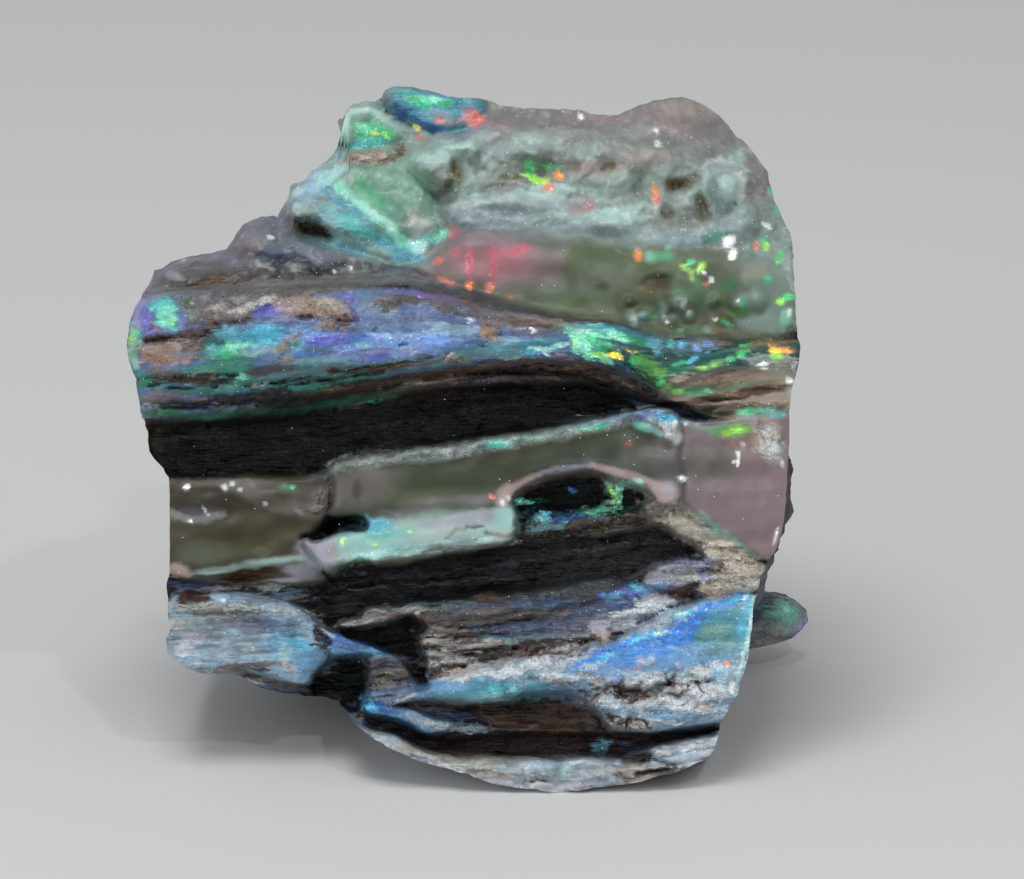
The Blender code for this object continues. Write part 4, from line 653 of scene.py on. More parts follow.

# %% [markdown]
# The ridge is wood that turned to fire opal: long streaks of blue, violet and green follow the grain, and
# brown flakes of the old wood lie on top. The green brow at its right end is the brightest part of the
# stone.

# %% Strokes on the ridge and the brow
# the umber and bark lines that run from -17.4,24.4 to -11.6,25.6 are painted shadow under the crust plate
# above them
RIDGE = read_strokes("""
drab -11.6 27.1 4.5 .43 2 .85; ash -13.6 26.5 2.8 .32 6 .7; pearl -17.5 26.4 .43 .43 30 .9;
violet -17.2 25.8 .32 .7 10 .8 .2; teal -11.6 22.6 5.9 .49 3 .9 / -12.1 22 4.9 .27 4 .8;
petrol -7.2 22.8 3.2 .38 5 .8; aqua -16.1 26 .54 1 8 .95 .1; mint -16.1 25.8 .38 .54 10 .8 .2;
kelp -15 26.4 .6 .54 0 .8; algae -14.7 26 .49 .49 0 .6 .06; lime -15.8 25.4 .27 .11 30 .6 .4;
yellow -14.7 26.5 .11 .08 0 .6 .5; clay -16.9 25.1 .16 .6 -18 .9; violet -16.9 24.8 .22 .22 0 .9 .6;
lilac -17.7 25.5 .27 .54 15 .8 .12; seafoam -17.9 24.1 .32 1.1 4 .9 .12; lime -18 24.5 .11 .32 -20 .7 .3;
jade -17.7 23.8 .16 .27 -10 .7 .2 / -17.7 24.8 .16 .22 0 .7 .4; plate -15.6 23.9 1.9 .7 2 .95;
dust -14 24.3 1.2 .43 6 .7; clay -16.6 23.5 .9 .32 -10 .6;
~ umber .13 .95 0 -17.4,24.4 -16.9,24.5 -16.4,24.4; ash -12.5 26.3 2.5 .59 8 .95;
dust -13.1 25.8 1.8 .32 10 .8; ash -9.9 26.8 1.8 .32 0 .95; drab -8.9 27.1 2.2 .22 0 .9;
bone -11.9 26.2 1.5 .16 12 .8 / -10.9 26.6 .9 .16 20 .9 / -13.5 26.3 .6 .11 10 .7;
ash -13.1 25.6 1.4 .22 8 .8; ~ bark .26 .9 0 -16.9,24.5 -15.6,24.6 -14.3,24.9 -13.1,25.2 -11.7,25.6;
~ umber .12 .95 0 -16.9,24.4 -15.6,24.5 -14.3,24.7 -13.1,25 -11.6,25.5; teal -12.9 23.9 1.3 .8 4 .9 .1;
algae -12.5 23.3 1.1 .8 -10 .9 .1; mint -12.1 24.3 .8 .27 14 .85 .3; jade -12.8 23.7 .49 .32 -20 .8 .15;
aqua -13.6 23.9 .54 .32 0 .5 .1 / -10.9 24.3 .6 .27 5 .8 .3; lagoon -11.7 24.9 1.5 .43 5 .95 .2;
cyan -10.9 24.8 1.2 .38 0 .9 .2 / -10.3 24.3 1 .22 5 .9 .35; lagoon -8.9 24.3 1.2 .27 5 .8 .2;
surf -10.9 23.9 .9 .27 10 .6 .05; steel -9.1 23.7 1.6 .43 8 .9 .06; teal -13 23.1 1.5 .43 10 .9 .06;
algae -12.4 22.8 .8 .43 -20 .85 .15; mint -12.1 22.4 .32 .27 20 .6 .15; algae -14.3 22.8 1.2 .27 5 .7 .1;
~ mud .28 .85 0 -16.8,22.8 -15.9,22.5 -14.8,22.4 -13.6,22.5; indigo -10.3 26.1 1 .27 3 .8 .1;
lupin -9.6 25.7 .8 .27 0 .7 .08; slate -11.1 25.4 1.2 .22 8 .7 .05; iris -8.2 24.7 1.5 .27 3 .95 .3;
indigo -7.6 24.4 1.1 .22 3 .9 .2; sky -8.6 25 .8 .22 0 .8 .25; cyan -9 24.2 .38 .22 20 .7 .25;
violet -6.4 24.6 .27 .6 0 .8 .12; slate -7.2 23.8 1.5 .38 4 .9 .12; surf -7.4 23.4 1.6 .22 4 .7 .06;
tan -9.6 24.2 .7 .19 48 .95 / -9.2 24.6 .43 .19 45 .8; plate -8.9 26.3 1.3 .54 0 .9;
tan -7.6 26.2 1.3 .6 0 .97; sand -7.4 26.4 .6 .32 0 .85; umber -8.6 25.7 .8 .09 0 .8;
clay -6.5 25.8 .6 .49 -10 .9; tan -7.1 25.2 .9 .22 0 .8; umber -6.6 25.6 .49 .08 5 .8;
~ umber .1 .9 0 -7,25.2 -6.4,25.4 -5.7,25.6; iris -3.7 24.2 2.6 .59 4 .97 .34 / -5 23.8 1.5 .38 6 .8 .25;
powder -3 24.6 1.8 .22 4 .9 .55; lilac -2.2 24 1.1 .27 8 .85 .22; lupin -4.8 23.8 1.4 .32 6 .8 .08;
mint -5.4 24.2 .38 .16 0 .6 .3; umber -3.2 24.2 .32 .07 -5 .7 / -4.8 24.9 .16 .11 -40 .7;
denim -3.2 25.7 2.9 .59 -5 .95 .1; slate -1.3 25.5 2.2 .43 -8 .9 .08;
steel -4.9 26.5 1.4 .49 -25 .95 .14 / -3.5 25.2 2.2 .22 0 .7 .1; violet -6.3 26.8 .32 .32 0 .7 .15;
drab -4.1 26.4 .8 .38 0 .9; tan -4.4 26.6 .43 .22 0 .6; magenta -2.3 26.9 .43 .14 -14 1 .9;
violet -2.9 27.1 .38 .16 0 .8 .4; drab -2.1 26.5 2.2 .22 -10 .9 / -1 26.2 1.6 .22 -14 .8;
powder .3 25.6 .22 .16 0 .9 .5; mist -.5 25 1.6 .32 0 .8 .08; surf -2.2 23.3 3.5 .27 6 .95 .1;
algae -.8 23.5 2.6 .27 6 .7 .08; surf .9 23.9 1.8 .38 4 .9 .12; petrol -4.8 23 2.2 .22 6 .8;
bone -.8 23.5 .27 .11 8 .8 .2; ~ bark .13 .95 0 -7.2,22.8 -6.2,22.8 -4.9,22.8 -3.5,23 -1.8,23.4 -1,23.5;
teal -6.4 22.4 1.9 .27 4 .85 .04; algae -5 22.3 1.4 .27 8 .7 .06; petrol -1.8 22.8 3.4 .22 8 .85;
slate -10.2 23.2 1 .22 10 .7; plum -10.7 22.8 1.3 .22 8 .85; tan -9.7 23.3 .43 .16 20 .8;
bark -1.8 22 4.3 .27 8 .9; umber -6.7 21.2 7 .43 6 .95 / -14.8 22.3 2.7 .16 -2 .9 / -13.2 21.2 4.9 .22 4 .9;
~ umber .2 .95 0 -11.6,21.6 -9.4,21.8 -7.7,22.2 -6.4,22 -4.8,22.1 -3.4,22.3 -1.3,22.6 .3,22.8 3,22.8
  5.2,23.1; teal -12.9 21.8 2.1 .24 4 .9; algae -7.9 21.8 1.5 .22 5 .8 .04; jade -7.9 21.8 .49 .11 0 .7 .15;
mud -2.8 21.8 2.4 .14 8 .8; mauve -3.5 21.6 1.6 .11 8 .6 / -16.4 21.4 1.2 .22 3 .9;
flint -12.1 21.4 1.3 .16 3 .8; ~ ink .12 .95 0 -17.2,21 -14.3,20.9 -11,21.1 -7.2,21.4;
mud -16.3 20.9 1 .16 -4 .95; bone -16.9 20.9 .43 .08 -5 .7; fog -12.3 20.8 1 .14 3 .8;
kelp -15.4 20.4 2.2 .22 2 .85; emerald -16.3 20.5 1 .19 2 .8 .08 / -14 20.4 .54 .19 0 .8 .15;
jade -12.5 20.5 .43 .16 0 .85 .25; teal -9.1 20.7 1.3 .16 4 .8; jade -5.3 21.2 .6 .19 5 .85 .1;
flint -3.8 21.1 1 .14 5 .7; teal -8.3 22.1 1.4 .27 6 .85 .06; mauve -6.2 21 .8 .14 5 .6;
algae -7.2 21.1 .9 .14 5 .6; emerald -17.3 22.3 .49 .38 0 .9 .1 / -17.6 22.6 .27 .22 0 .8 .25;
mud -1 22.2 2.4 .19 8 .85; khaki -16.7 19.2 .43 .8 -20 .9; plate 3.7 25.4 2.5 .32 -4 .95;
rust 4.1 25.3 1.9 .16 -6 .7; clay 2.5 25.7 1.2 .16 0 .7; bone 2.9 25.7 .27 .11 0 .8 .2;
tan 1.4 24.8 .38 .7 12 .95; drab 1.9 25.7 1.6 .22 -10 .9; haze .3 26.4 1.6 .22 -14 .7;
slate 3 24.9 1.3 .22 3 .85 .05; mauve 3.6 24.8 1.1 .14 5 .6; lagoon 2.6 24.1 2.7 .43 3 .95 .12;
surf 2.1 23.7 2.1 .27 2 .9 .12; sky 1.4 24.2 1.1 .22 4 .7 .12; mist 2.1 24.4 .9 .22 0 .6 .08;
cyan 4 23.9 .8 .16 5 .9 .5; spray 4.1 24 .54 .11 -8 .9 .8 / 5.2 24.2 .49 .14 12 .9 .8;
umber 5.2 22.5 4.3 .54 0 .97; rust 3.6 23.4 2.2 .14 4 .85; bark 5.2 23.1 2.4 .22 -2 .9;
clay 5.7 23.5 .8 .16 -18 .7; rust 7 23 .9 .16 -30 .8; bark 7.4 22.4 2.2 .27 -14 .9;
loam 9 22.2 1.4 .49 -28 .95; drab 9.2 22.3 1 .27 -28 .8; mud 8.3 22.6 .9 .16 -30 .8;
plum 1.9 22.5 2.7 .16 4 .8; dusk .9 22.3 1.6 .08 5 .6; mauve 3 22.3 2.2 .11 0 .7;
mud 5.2 22.2 1.6 .11 -2 .6; mauve 10.7 21.5 .9 .16 -4 .7; ~ ink .1 .9 0 1.9,22.6 4.1,22.8 6.3,22.6 8.4,21.8;
~ rust .07 .7 0 7.4,23.1 8.4,22.9 9.5,22.1 10.1,21.6; slate -2.4 23.3 1.4 .16 4 .7 .1;
iris -1.3 24.2 1.3 .49 4 .8 .32; ~ bark .2 .85 0 -8.9,21.5 -6.7,21.8 -4.5,22.1 -1.8,22.5 .3,22.9 2.2,23.1;
~ umber .09 .9 0 -8.9,21.3 -6.2,21.6 -3.5,22.1 -.8,22.5 1.9,22.9; tan -.1 23.4 .6 .11 8 .7;
plate -1.3 22.3 1.4 .16 8 .8; mud -3.5 22.1 1.2 .16 8 .8;
~ mud .09 .8 0 -6.7,22.8 -4.5,23 -2.4,23.1 -.2,23.5; ash -13.7 26 1.2 .16 8 .8;
steel -14.5 23.8 1.1 .16 4 .6 .04;
~ ink .08 .9 0 -11.6,22 -9.9,22.2 -8.3,22.4 -7.2,22.3 -6.1,22.5 -4.5,22.7;
~ ink .07 .9 0 -15.4,22.5 -13.7,22.6 -12.3,22.5; ~ umber .08 .9 0 -7.1,22.8 -5.6,22.9 -3.7,23.1 -1.8,23.5;
~ ink .08 .85 0 -17,22 -15.4,21.9 -13.2,22; ~ iris .3 .8 .35 -5.1,24.5 -3.5,24.6 -1.8,24.5 -.4,24.3;
powder -3.7 24.7 1.1 .11 0 .6 .3; cream -.6 23.5 .27 .09 10 .8 .1; bone -10.9 22.1 .43 .08 0 .6;
tan -14.1 21.2 .54 .11 0 .7; loam -16.8 19.6 .27 1 0 .85; azure -8.6 23.8 1 .11 4 .7 .12;
sky -2.4 24.1 1.4 .11 4 .6 .15; azure -5.8 24.6 .6 .16 0 .7 .12; indigo -4.8 23.6 .8 .16 6 .7 .15;
slate -.6 24.2 .54 .54 -20 .6; steel .5 23.8 .9 .27 -10 .6 .05; clay 1.2 24.9 .32 .6 10 .9;
umber .9 24.2 .11 .16 0 .7; sleet -2.4 23.3 .9 .16 4 .35; * white .12 .9 .7 4.4,23.8 3.7,25;
""")
BROW = read_strokes("""
pine 9.5 23.8 3.8 1.2 -12 .7; sky 7.7 25.1 1.6 .19 -8 .85 .2; navy 9.5 24.7 1.3 .22 -16 .8 .12;
lagoon 6 24.8 .43 .49 0 .7 .15; mint 6.9 24.6 1.2 .49 -20 .9 .5; aqua 7.7 25 .8 .22 -14 .8 .5;
mint 8.5 24.6 .7 .22 -22 .9 .7; spray 6.5 25 .43 .16 0 .8 .7; green 7.1 24.4 .6 .22 -24 .8 .5;
mint 6.1 24.3 .22 .54 0 .8 .5; lime 5.9 24.4 .08 .38 -10 .6 .5; emerald 9.5 24.3 1.2 .27 -28 .85 .2;
mint 6.8 23.9 .49 .38 -40 .95 .75; jade 7.4 24 .43 .32 -20 .8 .6; lime 7.4 23.6 .54 .16 -22 .9 .7;
yellow 8.2 23.6 .38 .16 -15 .95 .9; mint 7.7 23.4 .49 .16 -25 .7 .4; yellow 9 23.9 .38 .11 -18 .95 .9;
green 9.3 23.4 .38 .27 30 .7 .3; abyss 8.3 24.2 1.1 .14 -18 .95 / 10.2 23.6 1.3 .27 -22 .95;
lagoon 10.3 24.3 .54 .43 -35 .9 .12; grass 10.1 22.9 1.1 .38 -32 .8 .06; green 10.7 22.2 .27 .32 20 .85 .4;
lime 11.1 22 .16 .16 0 .7 .4; emerald 11.4 22.8 .43 .27 0 .7 .12; petrol 12.2 24.2 1.5 .43 0 .95;
dove 13.2 24.3 .9 .22 0 .7; steel 11.8 24.2 .54 .27 0 .7 .12; aqua 11.2 24.3 .19 .27 0 .8 .35;
cyan 11.8 24.2 .19 .22 0 .8 .35; iris 12.6 24.1 .16 .27 0 .8 .4 / 13.2 24.2 .16 .22 0 .8 .35;
~ abyss .2 .95 0 10.9,23.3 12.2,23.2 13.4,23.6 14.6,24.1 15.6,24.3; cyan 12.5 23.5 .59 .11 28 .9 .3;
jade 11.6 23.2 .38 .16 20 .7 .25; algae 12.9 23 1.6 .22 12 .85 .1; grass 13.6 23.2 1.2 .16 14 .6 .1;
green 15 23.9 .43 .24 40 .85 .45; jade 14.5 23.5 .32 .22 20 .7 .3;
lime 12.9 23 .27 .16 20 .6 .3 / 13.5 23.1 .16 .11 0 .6 .3; brine 16.6 23.3 1.3 .49 0 .9;
dew 16.5 23.1 .9 .27 -4 .8; shell 13.7 22.5 2.7 .38 5 .97; plate 14.4 22.6 1.8 .16 5 .6;
~ kelp .12 .7 0 12.2,22.8 13.8,22.9 15.5,23.1 16.6,23.1; cream 17.3 23.1 .54 .54 0 .5;
orange 16.7 24.2 .38 .19 -35 .95 .9; yellow 17 23.9 .49 .16 -8 .9 .8; orange 17.4 23.9 .43 .16 0 .8 .6;
lime 16.9 23.6 .32 .16 0 .9 .6; clay 16 24.3 .54 .11 5 .5 .1; algae 13 21.8 2.3 .22 4 .8 .05;
lichen 13.8 22 2.2 .16 6 .7 .04; jade 13.1 21.6 .49 .16 0 .8 .25;
mint 13.2 21.7 .22 .11 0 .8 .35 / 14.8 22.1 .38 .11 10 .6 .25; lime 11.6 21.7 .32 .14 10 .7 .35;
green 12.2 21.6 .27 .11 0 .7 .25; umber 14.8 21.5 2.6 .24 9 .95; bark 15.6 21.7 1.4 .19 10 .85;
mud 16.1 22.1 .9 .14 10 .6;
white 16.2 23.1 .27 .19 -15 1 1 / 17.6 22.3 .19 .16 0 1 .8 / 17.9 23 .11 .32 -10 .6 .5;
dew 17.7 21.8 .22 .6 0 .4; algae 7.4 24.1 .6 .32 0 .7 .15; sage 13.9 21.6 .6 .16 0 .8;
mud 14.9 20.8 2.4 .27 2 .95; loam 12.9 20.8 1 .16 4 .8; tan 16.2 21 1 .16 0 .7;
umber 14.7 20.5 1.6 .11 2 .8; bark 16.9 20.6 .8 .16 0 .7; tan 13.2 22.3 .8 .22 6 .7;
clay 14.4 22.1 .9 .16 4 .7; bark 12.2 21 .9 .11 -6 .8; drab 10.6 21.4 .43 .16 30 .7;
bark 12.1 20.9 1 .22 24 .9; umber 12.8 20.5 1.1 .16 20 .8; sand 16.5 23.1 .43 .27 0 .3;
clay 13.9 21.6 1 .16 -3 .5;
""")
print("strokes on the ridge:", len(RIDGE + BROW))

# %% [markdown]
# The slab, the right slab and the fan are jelly opal, clear enough to look into. Few strokes are needed,
# wide and thin, and a pale line along the rim: partly its crust, partly a painted highlight on its top
# edge. The black wood under them takes only hair lines.

# %% Strokes on the slabs, the pockets and the black wood
SLAB = read_strokes("""
khaki .3 17.2 4.3 .6 6 .4; swamp -1.3 16.6 3.2 .8 4 .8 / 5.2 18.6 3.8 .49 12 .7; khaki 3 18.4 3.2 .27 12 .6;
pebble -5.5 16.8 1.6 1.3 0 .7; dove -4.5 17.2 1.1 .6 0 .4; loam -5.8 16.4 .22 .54 0 .6;
sage -.8 16.1 3.2 .38 3 .5; dove 11 17.9 .8 1.4 0 .7; pebble 9.5 18.2 1 .8 0 .5;
~ glaze .36 .95 0 -6.9,17.7 -5.5,17.9 -3.5,18.2 -1.3,18.3 .9,18.8 3,19.1 5.2,19.5 7.4,19.9 9,20.3;
white -.6 18.6 .14 .38 -35 .9 .25 / -.9 18.4 .22 .11 20 .7 .2; aqua 1.9 18.9 .8 .24 4 .9 .25;
jade 1.7 18.8 .32 .16 0 .8 .35; mint 2.4 18.9 .27 .14 0 .7 .3; seafoam 3.6 19.2 1.3 .19 10 .8;
surf 6.8 19.9 1.3 .24 8 .85 .08; jade 7.4 19.9 .32 .22 0 .8 .35; mint 6.6 19.7 .54 .14 10 .6 .15;
indigo 8.1 20.3 .24 .16 0 .8 .4; chalk 9 20.6 .49 .27 0 .9;
violet 8.5 20.3 .22 .16 0 .7 .25 / 9.4 20.2 .22 .16 0 .7 .3; sky 10.4 20.4 .8 .32 0 .95 .25;
powder 10.2 20.8 .8 .16 -5 .85 .3; cyan 11.1 20.2 .59 .27 -20 .85 .3; indigo 9.8 20.5 .22 .22 0 .7 .4;
mint 9.7 19.8 .49 .22 -20 .8 .2; spray 10.4 19.6 .6 .19 -25 .85 .08; chalk 11.2 19.6 .49 .49 0 .95;
white 11.5 19.2 .32 .32 0 .85 .05; clay 10.7 19.7 .22 .16 0 .6; blush 2.2 16.3 .49 .32 40 .8 .05;
~ blush .2 .85 0 2.3,16.2 2.8,16.6 3.5,16.9 4.1,17.1; ~ pearl .14 .8 0 4.1,17.2 5,17.5 6,17.6 7.1,17.7;
~ blush .2 .8 0 6.9,17.7 8,17.4 9,17.2 9.8,16.9 10.5,16.5;
~ kelp .1 .6 0 3.3,17.5 4.5,17.8 5.8,18 7.4,18 9.1,17.7 10.4,17.2; coral 8.9 18.9 .22 .11 0 .4 .15;
dove -.2 15.8 2.7 .27 3 .8; kelp -.9 15.5 1.5 .16 3 .75; dove -2.4 15.2 1.8 .22 2 .7;
dew -1.8 14.2 5 .8 6 .97 .05; icemint -2.2 13.2 4.8 .32 8 .9 .05; ice -1.3 13.4 2.7 .32 10 .4;
lily .4 14.8 2.4 .38 8 .85; chalk -.8 14 2.2 .27 6 .5; spray -5.3 13.4 2.1 .7 4 .95 .12;
cyan -4.8 14.4 .9 .32 12 .85 .15; aqua -4.1 14 1.2 .22 5 .5 .12; lily -7.9 13 1 .8 -20 .97;
pearl -8.5 13.4 .49 .32 -20 .6; blush -7 13.2 .16 .7 0 .6 .06; sand -6.4 13.2 .11 .6 0 .3;
dew 1.7 14.1 1.2 .59 5 .85 .05; spray 2.2 15 .59 .54 0 .85 .15; ~ mud .07 .6 0 -.9,13.8 -.5,14.2 .1,14.3;
~ bark .06 .7 0 .1,14.4 .5,14.3 1,14.4; kelp .3 13.7 .54 .11 10 .5; chalk 1.9 13.7 .6 .22 8 .5;
spray -3.5 13 1.1 .27 8 .5; ~ mud .1 .7 0 1.1,14.1 1.7,13.9 2.5,13.9 2.9,14.2;
~ mud .1 .6 0 -2.2,13 -1.3,13.4 -.5,13.3 .3,13.5 1.3,13.4;
~ kelp .1 .6 0 -4.5,12.6 -3.7,12.8 -2.8,12.6 -2.2,12.9;
lime -6.5 13.7 .16 .08 30 .9 .9 / -6.6 13.5 .11 .11 0 .9 .8 / -4.8 13.4 .14 .09 0 .9 .7 / -5.2 13.6 .08 .08
  0 .8 .6 / -2.9 14.1 .16 .07 0 .8 .7; green -5.4 12.7 .22 .14 -20 .9 .6; mint -5.1 12.5 .22 .11 20 .8 .5;
green -6.1 12.3 .16 .08 0 .7 .4; lime 1.9 13.4 .14 .08 0 .8 .6; coral 1.5 16 .16 .11 0 .9 .7;
blush 2.2 15.9 .54 .27 40 .85 .15; white 2.1 15.7 .11 .19 0 .9 .6; pebble -7.2 16.1 .54 .6 0 .8;
bone -7 17.7 .27 .22 0 .6;
snow 11.2 19.6 .38 .32 0 .8 / 9 20.6 .43 .16 0 .8 / -6.3 17.9 .22 .16 0 .8 / -5.3 18.1 .32 .14 4 .7 / -4
  18.3 .27 .16 0 .8 / -1.9 18.5 .32 .16 0 .8; seafoam -1.2 18.6 .22 .16 0 .7;
snow .3 18.8 .27 .16 0 .8 / 2.6 19.1 .32 .14 8 .7; spray 4.3 19.4 .32 .16 8 .8; snow 5.8 19.7 .27 .14 8 .7;
kelp -2.5 18.3 .6 .08 4 .6; ~ kelp .06 .6 0 -6.2,17.6 -4.5,17.8 -2.9,18.1 -1.3,18.3;
violet 7.7 20.1 .22 .14 10 .7 .2; snow 8.3 20.3 .16 .14 0 .7; cyan 9.5 20.6 .27 .14 0 .7 .25;
snow 10.2 20.2 .32 .14 -20 .7 / 10.8 19.9 .27 .16 -30 .7; swamp .9 17.5 3.8 .43 8 .7;
~ mud .07 .9 0 -5.6,12.3 -4.5,12.6 -3.5,12.6 -2.4,12.9 -1.3,13.2 .3,13.3 1.9,13.5;
~ bark .06 .7 0 -4.8,12.3 -3.5,12.4 -2.2,12.7; sleet 9.5 20.4 .43 .16 -6 .6; * white .12 .9 .5 2.4,16;
* white .15 .9 .5 11.4,20;
""")
POCKETS = read_strokes("""
ink -6.7 14.4 1.1 .38 10 .9; lagoon -5.3 14.7 .22 .32 0 .7 .1; mud 6.8 14.2 3.8 .27 4 .9;
loam 5.2 14.8 1.8 .43 0 .6; drab 7.4 14.6 2.7 .22 6 .85; mud 9.8 15.2 1.4 .27 12 .9;
ash 10.1 14.8 1.5 .11 10 .7; ~ pearl .08 .7 0 7.1,14.8 8.4,15 9.5,15.2 10.6,15.5;
~ bark .09 .8 0 5.2,14.2 7.4,14.5 9.5,14.8 11.5,15.2; ~ ink .1 .9 0 4.1,13.9 6.3,14.2 8.4,14.5 10.6,14.9;
aqua 3.4 15.7 .49 .14 -8 .95 .5; mint 3 15.6 .22 .14 0 .8 .3; emerald 4 15.8 .43 .11 -14 .7 .1;
aqua 6.8 15.2 1 .19 12 .97 .4; mint 6.6 15.2 .43 .16 10 .85 .5; jade 7.4 15.3 .43 .16 0 .8 .4;
~ celery .2 .95 .12 7.7,16.9 7.9,16.4 8,15.8 7.8,15.4; ~ lime .1 .9 .4 7.8,16.8 8.1,16.3 8.1,15.7;
~ mint .16 .95 .35 8.1,15.3 8.3,15.8 8.4,16.4 8.9,16.7 9.5,16.8; celery 8 16.8 .38 .27 0 .9 .1;
aqua 8.6 16.7 .43 .16 -10 .9 .35; dew 9.2 16.8 .32 .14 0 .8 .2; navy 5.3 14.8 1.1 .27 12 .97 .2;
azure 5.5 14.9 .6 .16 14 .8 .3; cyan 4.3 14.9 .43 .32 -20 .97 .5; spray 4.2 14.9 .16 .22 0 .8 .6;
cyan 5.5 14.7 .22 .16 30 .8 .4; surf 4.4 14.3 .9 .27 0 .9 .06; azure 5.8 16.3 .16 .14 0 .9 .5;
blush 10.7 16.1 .9 .6 0 .95; lily 11 16.4 .38 .38 0 .6; clay 9.7 16.7 .16 .11 0 .7 .1;
ash 11 15.6 .8 .27 10 .8; bone 2.4 13.4 .22 .11 0 .5;
""")
RIGHTSLAB = read_strokes("""
fern 13.2 17.9 1.4 1.2 0 .7; dove 12.8 16.5 1.1 1.1 0 .4; heather 15 15 2.1 1.2 0 .8;
~ white .1 .95 .5 12,20 12.8,20.1 13.6,20.1 14.5,20.1; brine 13.3 19.8 1.4 .22 0 .7;
grass 14.5 19.6 1 .38 4 .8 .3; lime 14.8 19.6 .49 .22 0 .7 .5 / 14.2 19.4 .27 .16 0 .6 .4;
jade 13.4 19.5 .27 .16 0 .5 .25; mint 15.6 20.6 .9 .19 3 .85 .2; jade 15.4 20.7 .27 .16 20 .8 .35;
aqua 16.8 20.5 .59 .22 -10 .8 .15; clay 14.6 18.9 .9 .16 -25 .5; cream 16.5 19.1 .7 1.1 20 1;
bone 16.1 18.8 .54 .27 40 .8; clay 15.8 18.8 .27 .16 30 .5; chalk 17 18.5 .38 .59 0 .85;
drab 16.2 19.5 .22 .8 20 .6; ~ white .06 1 .8 14.8,18.5 14.8,17.7; ~ white .06 .9 .6 16.9,14.3 16.8,13.5;
white 11.8 17 .22 .11 0 1 .6; snow 16.6 18.6 .43 .49 20 .8 / 16.3 19.5 .32 .27 20 .8;
clay 16.2 19.1 .16 .27 20 .6; drab 17.1 19.2 .22 .32 0 .6; * white .09 .9 .7 15.1,18.8 14.6,17.9;
* white .12 .9 .7 17.2,17.8;
""")
FAN = read_strokes("""
sand 14.6 12 1.4 1 -40 .85 / 12.2 14.2 .8 .54 -45 .8; bone 15.4 11.4 .8 .43 -30 .6;
~ seafoam .16 .85 .04 12.8,15.1 13.7,14.3 14.7,13.6 15.7,12.8; ~ spray .07 .6 .03 13,15 14.1,14.2 15.1,13.3;
bark 13.5 11.9 .27 .8 -20 .85; ~ bark .07 .8 0 13.6,13.2 14.6,13.1 15.8,12.8;
~ bark .07 .7 0 13.7,12.7 14.8,12.5 16,12.2; ~ bark .07 .7 0 13.8,11.9 15,11.8 16,11.6;
~ bark .07 .6 0 14.1,11.3 15.1,11.2; tan 13.7 10.9 1.2 .22 4 .7; umber 12.9 13.4 .43 .22 -40 .8;
drab 12.2 15 .54 .22 -30 .6;
""")
WOOD = read_strokes("""
~ flint .09 .85 0 -6.9,11.5 -6.4,11.8 -5.5,11.9 -4.9,11.8; ~ dusk .06 .7 .03 -6.4,11.8 -5.5,11.9;
~ flint .06 .7 0 -3.5,11.9 -1.3,11.8 .9,11.8 2.5,11.9; ~ flint .06 .6 0 -4.3,10.8 -3.2,10.6 -1.8,10.7;
~ loam .06 .6 0 -1.3,12.6 .3,12.8 1.9,12.8; ~ mud .07 .5 0 -6.2,11 -3.5,11.2 -.2,11.4 3,11.7;
~ flint .08 .6 0 -4.5,11.5 -1.3,11.9 1.9,12.3 5.2,12.6; ~ mud .06 .5 0 5.2,13 8.4,13.4 11.1,13.6;
~ flint .07 .6 0 .9,11.1 4.1,11.5 7.4,11.9 9.5,12.3; ~ ink .1 .8 0 -5.6,11.3 -2.4,11.6 .9,11.9;
~ ink .1 .8 0 3,12.3 6.3,12.6 9.5,13; ~ ink .09 .8 0 -1.3,10.9 1.9,11.2 5.2,11.6;
flint -6.4 10.2 .54 .43 0 .6; ~ flint .05 .5 0 -16.4,19.1 -12.1,19.3 -7.8,19.6;
~ flint .05 .4 0 -4.5,19.9 -.2,20.6 4.1,21.1; ~ mud .05 .4 0 -14.3,18.2 -9.9,18.4; rust 1 10.5 .8 .14 8 .8;
pearl 12.2 12.4 1.5 .27 8 .97; lupin 11.9 12.5 1.1 .14 8 .8 .08; chalk 12.3 11.7 1.2 .24 3 .85;
powder 12.9 12.5 .49 .16 10 .6 .1; indigo 13 11.9 .22 .32 10 .5 .1;
""")
print("strokes on the slabs:", len(SLAB + POCKETS + RIGHTSLAB + FAN + WOOD))

# %% [markdown]
# Below, the opal is mixed with dry crust. White, ice blue and brown lie side by side in small touches,
# and the two blocks on the left and the foot repeat those colours in longer bands.

